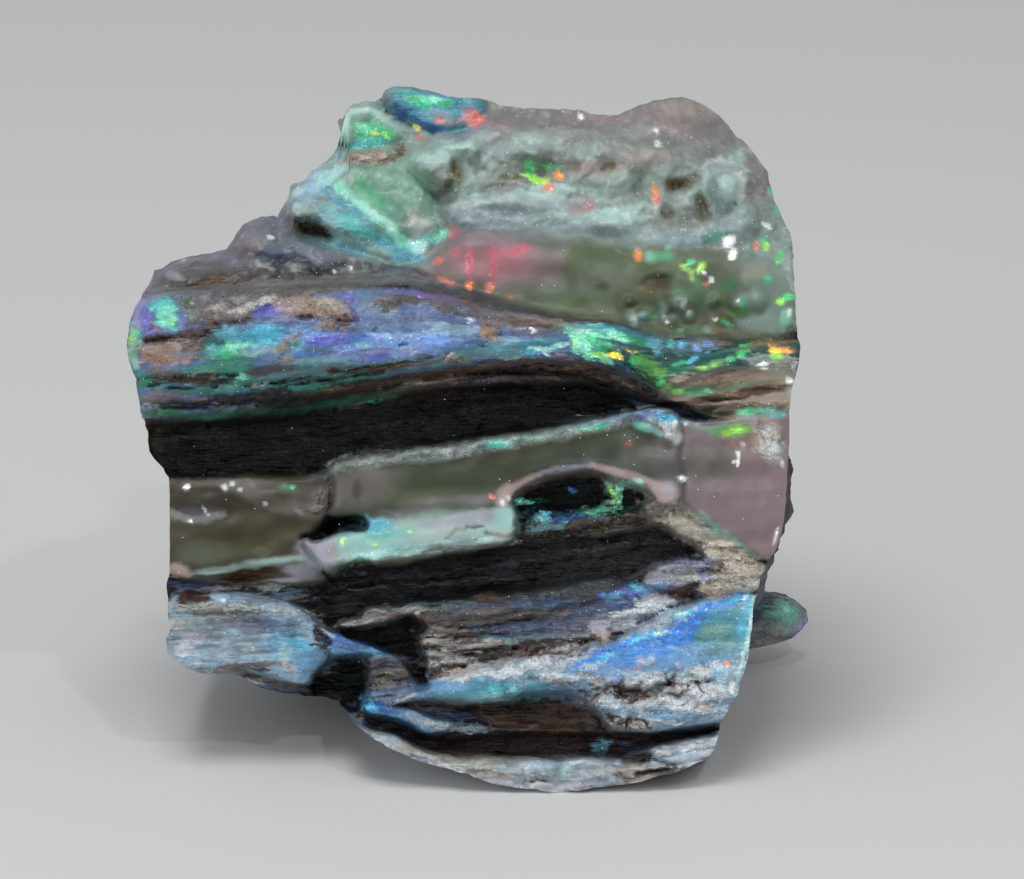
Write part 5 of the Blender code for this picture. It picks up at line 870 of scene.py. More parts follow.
# %% Strokes on the steps, the crust, the blocks and the foot
STEPS = read_strokes("""
petrol -1.3 10.2 2.2 .14 4 .8; kelp -1.9 10 1.4 .16 4 .7; mud .9 9.8 3.2 .16 5 .9;
navy 4.1 10.2 1.8 .16 5 .8 .05 / 9.5 10.9 1.6 .32 8 .95 .14; indigo 8.3 10.7 1.1 .22 5 .8 .15;
lagoon 8.1 10.6 .43 .22 0 .7 .15; cyan 9.3 11.1 .22 .22 0 .8 .25; sky 10.1 11.1 .54 .22 10 .7 .1;
dusk 7.4 10 2.2 .27 8 .8; flint 3 9.8 3.2 .16 5 .8; dusk .9 10.1 2.7 .11 5 .7 / 6 9.2 3.9 .32 8 .9;
slate 1.9 9.1 2.5 .16 5 .8; mud 3 9.5 3.8 .11 6 .8; pebble -.4 8.9 1.6 .13 4 .9; mud -1.3 8.6 1.3 .16 4 .8;
slate 3 8.8 2.2 .11 6 .6; petrol 3 8.5 2.4 .1 3 .85 .04; lagoon 1.9 8.3 1.4 .07 2 .8 .06;
moth 6 8.6 2.4 .22 8 .85 / 7.4 9.4 2.2 .16 8 .6; navy 7.9 10.1 1.8 .16 8 .7 .05;
chalk 5.5 8.3 1.2 .08 10 .7; straw -1.3 8.2 1.2 .14 2 .95; chalk -1.7 8.4 .6 .08 2 .8;
straw .3 8 2.2 .11 4 .9; pearl -1 7.8 1.2 .09 3 .8; straw -1.3 7.5 1.1 .11 6 .9;
chalk -1.5 7.6 .54 .06 0 .8; straw .5 7.5 1.8 .08 8 .9 / -1.7 7 .6 .1 14 .8 / -.2 7 1.2 .06 12 .8;
~ umber .09 .9 0 -2.2,7.9 -.8,7.7 .9,7.8 3,8 5.2,8.3;
~ umber .09 .9 0 -2.2,7.2 -1,7.3 .3,7.4 1.9,7.7 3.6,7.9; ~ umber .08 .85 0 -1.9,8.5 .3,8.5 2.5,8.6 4.6,8.9;
~ umber .08 .8 0 -2.4,6.6 -1.3,7 -.1,7.2; ~ bark .07 .8 0 -2.4,9.3 .3,9.2 3,9.6;
~ ink .09 .8 0 -1.3,8.9 .9,9 3.6,9.4; ice 10.2 10.4 1.1 .32 10 .5; chalk 10.7 10.1 .9 .38 20 .7;
snow 10.9 10.4 .6 .22 10 .7; pearl 9.5 9.8 1.4 .43 14 .8; chalk 8 9.6 .9 .16 12 .4;
plate 7.5 8.7 .43 .6 20 .95; straw 7.1 8.2 .43 .22 0 .8; umber 8.1 8.8 .1 .49 -12 .85 / 7 8.2 .54 .09 10 .7;
chalk -.2 7.1 .6 .09 4 .8; bark -.2 8.1 .43 .22 -6 .3;
""")
WEDGE = read_strokes("""
bone -5.5 9.2 1.4 .19 8 .9; pearl -5 9.5 .8 .14 5 .6; bone -3.7 9.9 1.4 .16 0 .9;
brine -3.5 9.8 .8 .11 0 .6; clay -3.7 9.5 1.2 .11 10 .7; rust -2.6 9.7 .43 .11 0 .6;
umber -5.8 9.5 .32 .11 0 .5; bone -1.6 7.1 .8 .11 12 .8;
""")
CRUST = read_strokes("""
rime 1.9 6.3 4.3 .59 6 .6; snow 1 6.3 2.5 .27 6 .9; mist 3 6.3 1.6 .22 6 .8 .05;
snow 5.2 6.3 1.4 .22 2 .8 / 3.6 6.8 1.6 .16 10 .7;
~ pit .2 .95 0 -2.4,5.7 -1.7,6.2 -.8,6.7 .9,7 2.2,7.3 3.6,7.6; bone .3 6.8 1.6 .08 10 .8;
pit 4.6 7.6 1.5 .32 10 .9 / 6.3 7.9 .9 .27 12 .9;
snow 4.3 7.4 .6 .14 10 .85 / 5.3 7.8 .54 .11 10 .8 / 5.8 7.4 .43 .14 0 .8;
~ snow .08 .85 0 2.2,6.8 3.6,7.1 4.9,7.3 6.1,7.7; ~ umber .08 .9 0 3,7.2 4.4,7.5 5.7,7.6 6.8,8.1;
snow 9.5 9.8 1.6 .38 16 .9; pearl 8.5 9.2 1.4 .43 14 .9; snow 10.3 10.2 1.1 .32 12 .8;
pearl 11 10.6 .6 .22 10 .6; pit 12 10.8 .8 .19 -10 .7; azure 7.4 7 1.8 .49 12 .97 .12;
sky 10.6 7.4 3.2 .9 8 .9 .08; azure 10.6 7.6 2.7 .59 10 .8 .15; lagoon 13.6 8.8 1.9 1.5 0 .97 .05;
sky 12.8 7.4 2.2 .43 8 .9 .1;
azure 8 7.6 1.4 .38 18 .97 .3 / 6.8 7.2 .9 .22 22 .8 .25 / 9.5 8.1 1.2 .43 20 .95 .4;
cyan 7.6 7.3 .8 .16 20 .7 .3; sky 6.9 6.5 1.4 .27 0 .9 .08; spray 10.6 8.6 .43 .14 20 .9 .7;
cyan 9.7 8.4 .6 .14 20 .85 .5;
azure 11.5 8.3 1 .6 20 .95 .3 / 12.1 9 1 .54 25 .95 .35 / 13.1 9.8 1.2 .38 15 .9 .3;
cyan 12.4 9.8 1 .16 14 .97 .6; spray 11.9 9.7 .27 .11 20 .9 .7; azure 13.9 10.2 1.6 .32 16 .95 .25;
cyan 14.8 10.5 .8 .16 16 .8 .3; lagoon 14.3 9.5 1.4 .6 0 .85 .1; teal 13.6 8.7 1.1 .49 0 .5 .05;
surf 13.9 7.9 1.2 .43 8 .8 .05; seafoam 13.6 8.8 .9 .32 0 .4 .05; sky 12.2 7.7 1.1 .27 10 .7 .15;
iris 10.2 7.2 1 .27 10 .8 .2; lilac 9.2 6.8 .54 .22 0 .85 .2; sand 9.9 7 .38 .16 0 .6 .15;
sky 10.9 6.8 1 .22 0 .8 .12; ~ spray .1 .9 .45 15.6,10.6 15.5,9.4 15.4,8.3 15.1,7.2 14.8,6.1;
cyan 15.3 10.1 .22 .43 0 .8 .4 / 15.1 8.8 .22 .54 0 .7 .3; coral 11.5 6.9 .14 .08 0 .8 .5;
orange 14.2 7 .11 .19 10 .8 .5; ice 9.5 5.9 3.2 .43 4 .9 .04; snow 7.4 6 1 .27 8 .85 / 9.5 6.2 1.1 .16 8 .8;
white 13 6.5 .49 .32 0 .85 .25; snow 13.6 6.8 .43 .32 0 .8 .1; cyan 13.9 6.4 .43 .38 0 .7 .35;
ice 14.2 6 .6 .7 0 .9 .15; white 14.5 5.7 .16 .32 -15 .8 .4; snow 12.8 5.6 1.3 .38 8 .9;
mist 13.9 4.9 .9 .49 20 .9 .1; rust 9.3 5.7 1.9 .38 8 .8;
pit 8.2 5.5 .8 .3 -8 .97 / 9.5 5.2 1.1 .27 16 .97 / 10.8 5.7 .6 .27 24 .97 / 11.2 6.3 .27 .38 -20 .9 / 6.8
  5.8 .43 .11 0 .8 / 7.1 5.1 .54 .11 -10 .8 / 12.8 6 .54 .09 15 .8; umber 9 5.4 .9 .11 8 .8;
bone 10.1 5.8 .38 .14 20 .9; snow 8.8 5.8 .32 .11 0 .9 / 7.8 5.3 .32 .11 0 .9; sand 11.5 5.5 .49 .19 10 .9;
snow 11.8 5.8 .32 .14 0 .9; ~ pit .07 .9 0 10.9,5.3 11.5,5.2 12.1,5.5;
~ umber .07 .9 0 12.5,5.9 12.9,5.5 12.8,4.9 12.4,4.6; snow 10.8 4.7 2.3 .27 2 .95 / 7.4 4.8 1.1 .22 -4 .9;
mist 10.1 4.3 2.4 .27 -2 .9 .06; snow 12.2 4.3 1.4 .27 6 .9; mist 12.2 3.7 1.6 .19 8 .9 .08;
sky 11.2 3.6 1.1 .11 6 .7 .1; snow 10.6 3.9 1.6 .14 2 .8; ~ bark .07 .6 0 9.5,4.1 11.1,4 12.8,4.2;
~ pit .07 .8 0 6.3,5.6 6.8,5.2 7.4,4.6 7.8,4.2; cream 8.4 3.8 .38 .43 0 .9 / 9.8 3.5 .27 .27 0 .9;
~ umber .08 .9 0 8,4.2 8.1,3.5 8.6,3.8 8,4.2; ~ umber .07 .9 0 8.8,3.4 8.8,4 9.6,3.9;
~ umber .07 .8 0 9.5,3.4 10.1,3.4; snow 6.1 6.1 .9 .22 0 .8; rust 3.8 6.1 .6 .11 5 .5;
sand -.2 6.5 1.1 .16 6 .7; mud 6.8 6.3 .9 .16 -10 .7; drab 5.2 5.8 .9 .22 -8 .7; ice 1.9 7.1 1.1 .11 10 .6;
bark 9.8 5 1.4 .11 10 .8; cream 12.8 4.7 .6 .27 -20 .6; bark 13.4 5.4 .32 .16 -30 .8;
sky 1 6.1 1.6 .14 6 .8 .04; mist 9.5 4.4 2.2 .22 0 .8 .04;
sky 11 4.1 2.2 .16 2 .85 .05 / 12.2 3.5 1.4 .14 8 .85 .08 / 7.7 4.3 .6 .14 -20 .7 .04;
snow 10.6 4.9 1.5 .16 2 .95 / 8.5 4.8 .6 .16 -4 .9 / 12.8 5 .6 .22 10 .9; white 12.2 6.1 .43 .14 0 .8;
snow 13.7 5.4 .54 .43 -30 .9; mist 14.4 4.7 .49 .54 -30 .8 .06;
snow 8 5.9 .54 .14 8 .9 / 10.2 6 .54 .14 8 .9; azure 8.2 6.1 .43 .22 20 .7 .05;
sky 6.3 5.9 .54 .16 0 .8 .05; bark 5.2 5.6 .8 .14 -8 .9; rust 4.1 5.9 .49 .1 -8 .8;
loam 6.8 5.5 .54 .11 20 .8; ~ pit .09 .9 0 7.6,5.5 8.2,5.7 8.9,5.4 9.5,5.5 10.2,5.1 10.8,5.6;
~ pit .07 .9 0 10.8,5.6 11.5,6.1 11.9,5.7 12.3,6; cream 8.4 3.8 .38 .38 0 .97 / 9.2 3.7 .49 .27 10 .97;
~ umber .1 .95 0 7.9,4.3 8.1,3.4 8.7,3.8 7.9,4.3; ~ umber .08 .95 0 8.8,3.4 8.9,4 9.7,3.8 10.1,3.4;
snow 2.4 6.4 1 .16 6 .9; mist 3.7 6.5 .6 .16 8 .8 .04; snow 6.8 6.8 .6 .11 12 .8;
bone 12.1 5 .43 .16 -20 .8; mist 8.4 4.4 1 .16 -10 .8 .04; bone 9.5 4.2 .43 .22 -6 .45;
slate 10.1 9.8 .54 .27 -10 .4; steel .9 6.2 .54 .22 0 .3; bone -.2 7.2 .6 .16 -14 .6;
umber 1.9 7 .49 .16 -10 .45; rime 10.6 5.6 .43 .27 0 .5; * white .12 .9 .7 15.2,10.6;
""")
LEDGE = read_strokes("""
lagoon 1.4 5.5 3.6 .49 2 .97 .1; surf .3 5.1 1.6 .32 0 .6 .05; sky -1.8 5.6 1.5 .43 8 .95 .12;
flint 3 5.1 1.3 .16 0 .5; navy 5.5 5.4 1.1 .32 -6 .7 .1; cyan 1.9 5.9 1.6 .1 0 .6 .2;
aqua 1.8 5.6 .38 .16 0 .8 .3; mint 2.7 5.6 .16 .11 20 .8 .5; lilac 3.2 5.7 .16 .14 0 .7 .3;
jade 1.1 4.9 .14 .16 0 .8 .3; azure -4.3 4.7 1.3 .32 -4 .9 .08;
cyan -5.3 5 .27 .27 0 .8 .3 / -4.9 4.6 .43 .16 0 .7 .25; frost -3.5 5.1 1.4 .16 2 .85;
mud -1.8 4.9 1.4 .14 -8 .7; pearl -2.4 4.5 1.8 .22 -12 .85; mist -2.2 4.1 1.4 .22 -14 .8 .05;
rime -.6 3.6 1.9 .27 -4 .9; bone -1.8 3.7 .8 .16 -14 .7; slate -.8 4.2 1.6 .22 -6 .8;
moth 5.7 5 1.2 .22 -20 .8; slate 6.6 4.4 1 .22 -40 .8; bark 4.6 4.2 2.8 .54 0 .85;
umber 2.5 4.6 2.4 .22 2 .85 / 5.2 3.7 2.4 .14 -2 .85; ~ mud .07 .7 0 .9,3.4 3,3.4 5.2,3.4 7.1,3.5;
sky -.6 5.7 1.4 .27 4 .8 .06; cyan .3 5.4 .9 .16 0 .5 .1; coal -1.8 5.5 .43 .16 0 .35;
sky 5.2 5.3 .8 .14 0 .25; ink 4.4 4.2 1.8 .38 3 .4;
""")
LEFTBLOCK = read_strokes("""
flint -4.3 6.5 1.1 .8 0 .6; fog -3.7 7.2 1.3 .16 -4 .7; mud -3.9 6.5 1.2 .11 0 .7;
slate -4.5 6.9 .9 .11 0 .6; dusk -4.1 5.6 1.5 .22 4 .8 .05; pebble -4.2 5.9 .6 .13 5 .8;
~ bark .08 .8 0 -5.3,6.8 -4.2,7 -2.9,6.8; ~ bark .07 .7 0 -5.3,6.2 -4.2,6.3 -2.8,6.1;
sky -5 5.4 .54 .16 0 .7 .1; slate -5.8 7.8 1.6 .27 -12 .9; sky -6.8 7.6 .8 .22 -5 .9 .1;
azure -5.3 7.7 .9 .11 -8 .5; lagoon -4.8 7.6 1.1 .22 -10 .6 .1; ~ pearl .14 .95 0 -9,9.9 -8.2,9.2 -7.1,8.5;
fir -6.6 6.8 1.1 .43 0 .9; ink -7 5.4 1.6 .6 0 .95; sleet -13.2 8.5 3.2 1.3 0 .95 / -13.6 7.8 2.5 .49 3 .5;
ice -14.3 7.6 2.2 .16 3 .8; lily -14.8 8.3 .6 .32 0 .7; frost -15.2 7.7 .54 .32 0 .8;
straw -15.6 9.2 .43 .54 0 .7; mist -12.1 8.8 2.2 .27 -3 .8; ice -12.4 7.4 1.9 .11 2 .8;
moth -12.1 9 2.2 .32 -3 .8; fog -12.3 9.5 1.6 .22 0 .7; mist -12.9 8.2 1.6 .11 2 .6;
moth -12.4 9.2 1.6 .16 0 .7; sky -9.3 7.6 1.5 1.2 -10 .97 .08; cyan -9.3 8.4 1.1 .43 -20 .7 .1;
ice -10.2 7.1 1 .6 20 .6 .04; spray -9.8 7.8 .43 .8 10 .4 .05; slate -10.3 9.1 1.4 .38 -20 .85;
petrol -9 8.9 1 .32 -25 .7; ash -13.6 9.8 2.4 .22 2 .6; fog -10.9 9.7 1.3 .27 0 .8;
bone -13.5 10.1 2.5 .14 -1 .9 / -9.4 9.9 1.4 .11 -10 .8; cocoa -14.8 10.6 .9 .32 0 1;
flint -14.6 11.5 1.6 .16 0 .9; slate -14.3 11.2 1.5 .16 0 .7; ash -11.6 11.1 2.7 .16 2 .8;
cocoa -11.5 11.8 1.6 .27 13 .97; fog -10.4 10.5 2.3 .19 2 .85; steel -9.7 10.8 1.1 .11 2 .6 .05;
brine -10.8 11.1 1.4 .14 4 .7; pearl -9.3 11.5 1.3 .16 6 .7; mud -11.8 6.8 2.3 .22 5 .9;
bone -14.3 6.9 .8 .11 -5 .6; umber -11.2 6.6 .8 .16 0 .8; drab -10.5 6 1.6 .16 -10 .8;
frost -12.3 6.2 1.3 .16 -10 .8; slate -9.7 5.7 1.4 .16 -8 .8; ~ blush .1 .9 0 -9.8,7.1 -9.5,6.6 -9.2,6.3;
rust -7.9 6.5 .32 .16 20 .6; pearl -7.4 6.8 .27 .43 0 .6; umber -7.7 8.3 .32 .8 20 .9;
flint -12.1 9.4 1.2 .16 0 .6; mud -13.7 9.7 1.3 .14 4 .7; dusk -10.9 8.9 .9 .16 -6 .6;
flint -13.7 8.5 1 .11 0 .4; straw -14.5 10.1 1.4 .11 -4 .8; * white .09 .9 .5 -13.1,10.4;
""")
LEFTSLAB = read_strokes("""
pebble -13.1 16.8 2.9 .22 0 .85; dove -11 16.5 2.2 .32 -4 .5; loam -13.5 15.8 2.5 .54 0 .85;
~ pebble .4 .6 0 -12.1,16.5 -11.1,15.9 -10.2,15.6 -8.9,15.3 -7.7,15.2; moth -14.5 15 1.2 .43 0 .5;
~ bone .2 .3 0 -15.8,15.1 -14.9,14.8 -13.9,14.8 -13.1,15.1; pebble -8.3 15.8 1.1 .9 0 .5;
sage -14 13 1.4 .59 0 .5; moss -11.6 13.4 1.9 .49 6 .35; fern -14.5 12.8 1.1 .43 0 .6;
brine -10.5 12.5 2.2 .22 8 .95; dew -9.8 12.6 1.5 .13 7 .7; brine -13.1 12.1 1.4 .16 6 .9;
dew -13.5 11.9 .9 .08 4 .6; blush -15.4 12 .59 .32 -15 .9; pearl -8.9 12 .9 .32 -10 .8;
white -15 16.5 .18 .14 0 1 .9; pearl -8.9 15.2 .32 .11 -25 .7 .05; green -9.3 16.5 .16 .11 0 .8 .5;
jade -9.8 16.5 .32 .16 0 .4 .2; ~ white .05 .9 .4 -14.1,15.5 -13.9,15; drab -7.7 15.9 .49 .49 0 .7;
umber -7.2 15.7 .16 .43 -10 .7; drab -8.1 15.3 .43 .32 30 .6;
* white .09 .9 .5 -12.1,16.4 -10.7,15.6 -14.8,14.7; * white .12 .9 .5 -12.5,16.7;
* white .15 .9 .5 -12.9,16.5;
""")
FOOT = read_strokes("""
sleet 4.1 1 4.9 .8 0 .8; straw -.6 1.8 1.9 .32 -4 .95; lily -1.8 1.7 1 .16 -22 .9; mud 1.2 1.9 2.7 .11 0 .8;
chalk 3 1.4 .22 .49 4 .8; frost 3.5 1.1 .16 .43 -4 .9; mist 3.8 1.5 .16 .43 0 .8 .05;
chalk 4.2 1.2 .16 .43 6 .8; mist 4.6 1.2 .16 .49 -3 .8; brine 5 1.5 .16 .43 0 .8; dew 5.4 1.2 .16 .43 5 .8;
ice 5.7 1.4 .16 .43 -4 .8; lily 6.5 1.3 .16 .43 4 .8; chalk 7.4 1.2 .22 .32 -5 .8;
straw 1.4 .8 1.2 .22 -4 .8; lily 2.2 .5 1.4 .16 -8 .9; chalk 4.1 .3 1.8 .16 -2 .9;
lily 6.3 .4 1.5 .22 4 .85; mud 8 .9 1.3 .14 6 .8; straw 9.2 1.1 1.9 .27 10 .9; mud 9.5 1.5 1.4 .11 6 .6;
mist 7.7 .5 .8 .11 6 .7; chalk 11 1.4 1 .22 16 .8; ~ mud .06 .6 0 1.9,.9 3,1 4.4,.9;
~ loam .06 .5 0 -1.8,1.5 -.8,1.4 .9,1.1; fog -6 4.2 .38 .8 24 .95; sleet -4 3 2.2 .54 -24 .8;
powder -5.5 3.6 .43 .27 -20 .6 .05; mist -4.4 3.1 1.2 .27 -24 .9 .05; lily -4.6 3.3 .54 .16 -20 .8;
slate -3.7 3.2 .8 .16 -24 .7; chalk -2.9 2.4 .6 .27 -20 .9; petrol -2.5 1.9 .54 .16 -25 .8;
umber -1.8 2.3 1.2 .16 -15 .8; frost 12 2.2 1.6 .43 14 .97; chalk 11.5 2.4 1.1 .16 14 .8;
ice 11.5 1.9 1.2 .16 14 .8; chalk 13.1 2.5 1 .16 14 .8 / 10.8 2.3 .6 .27 0 .7;
~ slate .06 .7 0 10.6,1.9 12.2,2.2 13.6,2.6; ~ fog .05 .6 0 10.8,2.4 12.2,2.6 13.4,2.9;
slate 9.5 2.5 1.1 .11 -5 .85; dusk 9.5 2.3 .6 .11 -8 .7; lagoon 7.5 2.5 .38 .38 0 .95 .1;
rust 12.8 3.1 .9 .1 10 .6; umber -3.7 3.3 1.6 .22 -20 .9; straw -3.4 2.6 1.1 .22 -22 .8;
bark -.8 2.3 1.6 .16 -8 .8; straw .3 1.6 1.6 .22 -6 .8; mud .6 1.2 1.3 .11 -6 .8;
loam 10.1 .9 1.9 .27 12 .9; bark 8 .8 1 .16 6 .8; straw 9.3 .6 1.1 .11 10 .7; mud 7.4 .2 1.6 .16 4 .7;
umber 10.4 1.2 1.4 .11 12 .8; mud 1.9 1.6 1.1 .16 0 .5; chalk -.1 1.5 .8 .11 -6 .8;
frost 3 .5 1.4 .14 -2 .85; lagoon 5.2 1.3 .22 .16 0 .5 .06 / 6.3 1.5 .16 .22 0 .5 .06;
bark 4.1 .6 1.3 .08 4 .7; rime 7.4 .7 1.3 .22 2 .5; coal -5.1 3.1 .43 .22 20 .35;
""")
FLANK = read_strokes("""
umber 17.5 17.5 .54 5.1 0 .95; char 17.6 12.6 .8 2.2 0 .95; flint 16.4 10.4 .9 2.2 0 .8;
ash 17.1 8.6 1.4 .9 8 .9; chalk 16.9 8.4 .9 .43 0 .7; brine 17.7 10 .8 .9 -40 .95 .08;
aqua 17.6 10.2 .43 .6 -30 .8 .2; mint 17.6 10.4 .27 .43 -30 .7 .25; violet 18.3 9.3 .32 .43 -20 .9 .2;
lilac 18.3 9.6 .16 .27 -20 .7 .3; bone 17.9 8.3 .43 .22 20 .7; drab 17.1 8 .8 .22 10 .7;
* white .12 .9 .5 16.9,8.9;
""")
STROKES = (
    SHOULDER + CROWN + WING + RIDGE + BROW + SLAB + POCKETS + RIGHTSLAB + FAN + WOOD + STEPS + WEDGE + CRUST
    + LEDGE + LEFTBLOCK + LEFTSLAB + FOOT
)
print("strokes:", len(STROKES), "on the front and", len(FLANK), "on the flank")

# %% [markdown]
# ## What the colours are made of
#
# Some colours are always the same substance: umber is wood, bone is crust, sky blue is fire opal. A
# stroke of such a colour also lays down that finish and stands out from the stone, or sinks into it, by a
# tenth of a millimetre or so. That is where the loose flakes, the pits and the milky rims come from.

# %% The substance of the colours
# finish and how far the colour stands out, in millimetres
SUBSTANCE = {
    "umber": ("wood", -0.16), "ink": ("wood", -0.2), "rust": ("wood", -0.05), "cocoa": ("wood", -0.1),
    "bark": ("wood", 0.0), "bone": ("crust", 0.1), "cream": ("crust", 0.1), "sand": ("crust", 0.1),
    "tan": ("crust", 0.1), "clay": ("crust", 0.05), "drab": ("crust", 0.05), "ash": ("crust", 0.04),
    "dust": ("crust", 0.08), "olive": (None, -0.06), "moss": (None, -0.06), "chalk": (None, 0.1),
    "dew": (None, 0.05), "haze": ("foam", 0.08), "tea": ("foam", -0.05), "lump": ("foam", 0.2),
    "gap": ("foam", -0.16), "pit": ("crust", -0.22), "rime": ("crust", 0.04),
    "snow": ("crust", 0.12), "plate": ("fire", 0.12), "glaze": ("crust", 0.12),
    "icemint": ("fire", 0.03), "azure": ("fire", 0.0), "navy": ("fire", 0.0), "cyan": ("fire", 0.0),
    "sky": ("fire", 0.0), "lagoon": ("fire", 0.0), "aqua": ("fire", 0.0), "surf": ("fire", 0.0),
}
print("colours with a substance:", len(SUBSTANCE))

# %% [markdown]
# ## Carving and painting the front
#
# The front is worked in one pass. Every outline moves the depth and, with the same soft edge, lays down
# its finish and its ground colour. The strokes follow. Then each finish gets its own fine relief: laminae
# that run with the grain on wood and fibre, crumbs on the crust, bubbles in the foam and slow waves in
# the glass.
#
# Two tables say how strongly each pattern lifts a finish and how much it lightens its colour, so raised
# parts come out lighter and sunk ones darker: partly their tone, partly painted shade. A third lays
# painted shade into the cracks between plates.

# %% Relief and shading of each finish
FINISHES = ("wood", "fibre", "crust", "jelly", "foam", "fire")
GRAIN_RISE = ((-18, -9, 10, 14, 18), (0, 0.2, 2.8, 2.7, 2.0))  # how far the grain climbs, at places across
LOW_FIRE = (28.6, 27.6)  # below these heights fire opal shows the grain of the wood
# in millimetres
RISE = {
    "wood": {"plate": 0.17, "streak": 0.10, "hair": 0.05, "crack": -0.14},
    "fibre": {"plate": 0.15, "streak": 0.10, "hair": 0.05, "crack": -0.12},
    "low fire": {"plate": 0.06, "streak": 0.05, "hair": 0.04, "crack": -0.05},
    "fire": {"dimple": 0.05},
    "crust": {"clod": 0.13, "chip": 0.08, "plate": 0.12, "streak": 0.10, "crack": -0.06},
    "foam": {"bubble": 0.14, "froth": 0.09, "bubble tone": 0.06},
    "jelly": {"wave": 0.035},
}
# as a share of the colour: raised parts lighter, sunk ones darker, partly tone and partly painted shade
SHADE = {
    "wood": {"streak": 0.4, "hair": 0.6, "plate": 0.35},
    "fibre": {"streak": 0.3, "hair": 0.35, "plate": 0.25},
    "low fire": {"streak": 0.22, "hair": 0.16},
    "fire": {"dimple": 0.10},
    "crust": {"chip": 0.12, "small chip": 0.14, "clod": 0.2, "hair": 0.1, "streak": 0.08},
    "foam": {"froth": 0.12, "bubble tone": 0.06, "froth tone": 0.05},
    "jelly": {"wave": 0.05},
}
# how strongly painted shade darkens the cracks between plates, as a share of umber
CRACK_SHADE = {
    "fibre": {"crack": 0.85}, "wood": {"crack": 0.6}, "low fire": {"crack": 0.35}, "crust": {"crack": 0.2},
}


def blend(table, shares, patterns):
    """The sum of the patterns, each as strong as the table says for the finish it lies on."""
    return sum(
        shares[finish] * amount * patterns[name]
        for finish, amounts in table.items() for name, amount in amounts.items()
    )


def plates(flat, thick, seed):
    """Plates of old wood along the grain: how far each stands out, and how near the crack beside it is."""
    bend = 0.35 * mottle(flat, (5, 2.5, 1), seed) + 0.1 * mottle(flat, (1.0, 0.7, 1), seed + 1)
    layer = (flat[:, 1] + bend) / thick
    number = np.floor(layer)
    part = layer - number
    plate = np.stack([flat[:, 0], number * 5.1, 0 * number], axis=1)
    stand = mottle(plate, (2.5, 1, 1), seed + 2)
    return stand, ease(0.22, 0.04, np.minimum(part, 1 - part))


def patterns_on(flat):
    """The patterns of the fine relief by name, each with one value for every point."""
    grain = flat.copy()
    grain[:, 1] -= np.interp(flat[:, 0], *GRAIN_RISE)
    stand, crack = plates(grain, 0.42, 51)
    crack *= ease(-0.1, 0.5, mottle(grain, (3, 0.5, 1), 55))
    _, far, chip = grains(grain, (0.8, 0.34), 61)
    _, near_far, small_chip = grains(grain, (0.34, 0.2), 64)
    _, bubble_far, bubble = grains(flat + 0.2 * mottle(flat, 0.6, 66)[:, None], 1.0, 67)
    _, froth_far, froth = grains(flat, 0.42, 70)
    return {
        "plate": stand, "crack": crack, "hair": mottle(grain, (1.6, 0.14, 1), 34),
        "streak": mottle(grain, (4, 0.3, 1), 32), "dimple": mottle(flat, 0.5, 36),
        "wave": mottle(flat, 2.2, 39) + 0.15 * mottle(flat, 0.8, 40),
        "clod": 0.1 - far ** 2 + 0.5 * (1 - near_far ** 2), "far": far,
        "chip": chip, "small chip": small_chip,
        "bubble": 0.6 - bubble_far, "bubble tone": bubble, "froth": 0.6 - froth_far, "froth tone": froth,
    }


print("finishes:", ", ".join(FINISHES))

# %% [markdown]
# An outline with corners looks cut with scissors, so its corners are rounded before use. A point then
# needs to know only how far inside it is: the soft edge, the rounded rim and the colour all follow from
# that.

# %% Outlines with rounded corners
def rounded(outline):
    """The closed outline with its corners cut twice."""
    points = outline
    for _ in range(2):
        following = np.roll(points, -1, axis=0)
        cut = np.stack([points * 0.75 + following * 0.25, points * 0.25 + following * 0.75], axis=1)
        points = cut.reshape(-1, 2)
    return points


def depth_inside(points, outline):
    """How far each point is inside the outline; negative outside."""
    corners = rounded(outline)
    near = np.full(len(points), np.inf)
    inside = np.zeros(len(points), bool)
    for start, end in zip(corners, np.roll(corners, -1, axis=0)):
        edge = end - start
        offset = points - start
        along = np.clip(offset @ edge / max(edge @ edge, 1e-9), 0, 1)
        near = np.minimum(near, np.hypot(*(offset - along[:, None] * edge).T))
        if start[1] != end[1]:
            crosses = (start[1] > points[:, 1]) != (end[1] > points[:, 1])
            inside ^= crosses & (offset[:, 0] < offset[:, 1] * edge[0] / edge[1])
    return np.where(inside, near, -near)


print("corners of the slab after rounding:", len(rounded(read_points(FEATURES[6][-1].split()))))

# %% [markdown]
# One class holds what is known of the surface while it is worked. It has two coats of paint, brushed with
# different wander, and the shader later lets the second show through the first in hair-thin streaks.

# %% Carve and paint
SHARP_GLOW = 0.2  # a brighter stroke keeps its shape better
FIRE_GLOW = 0.3  # a brighter stroke is always fire opal


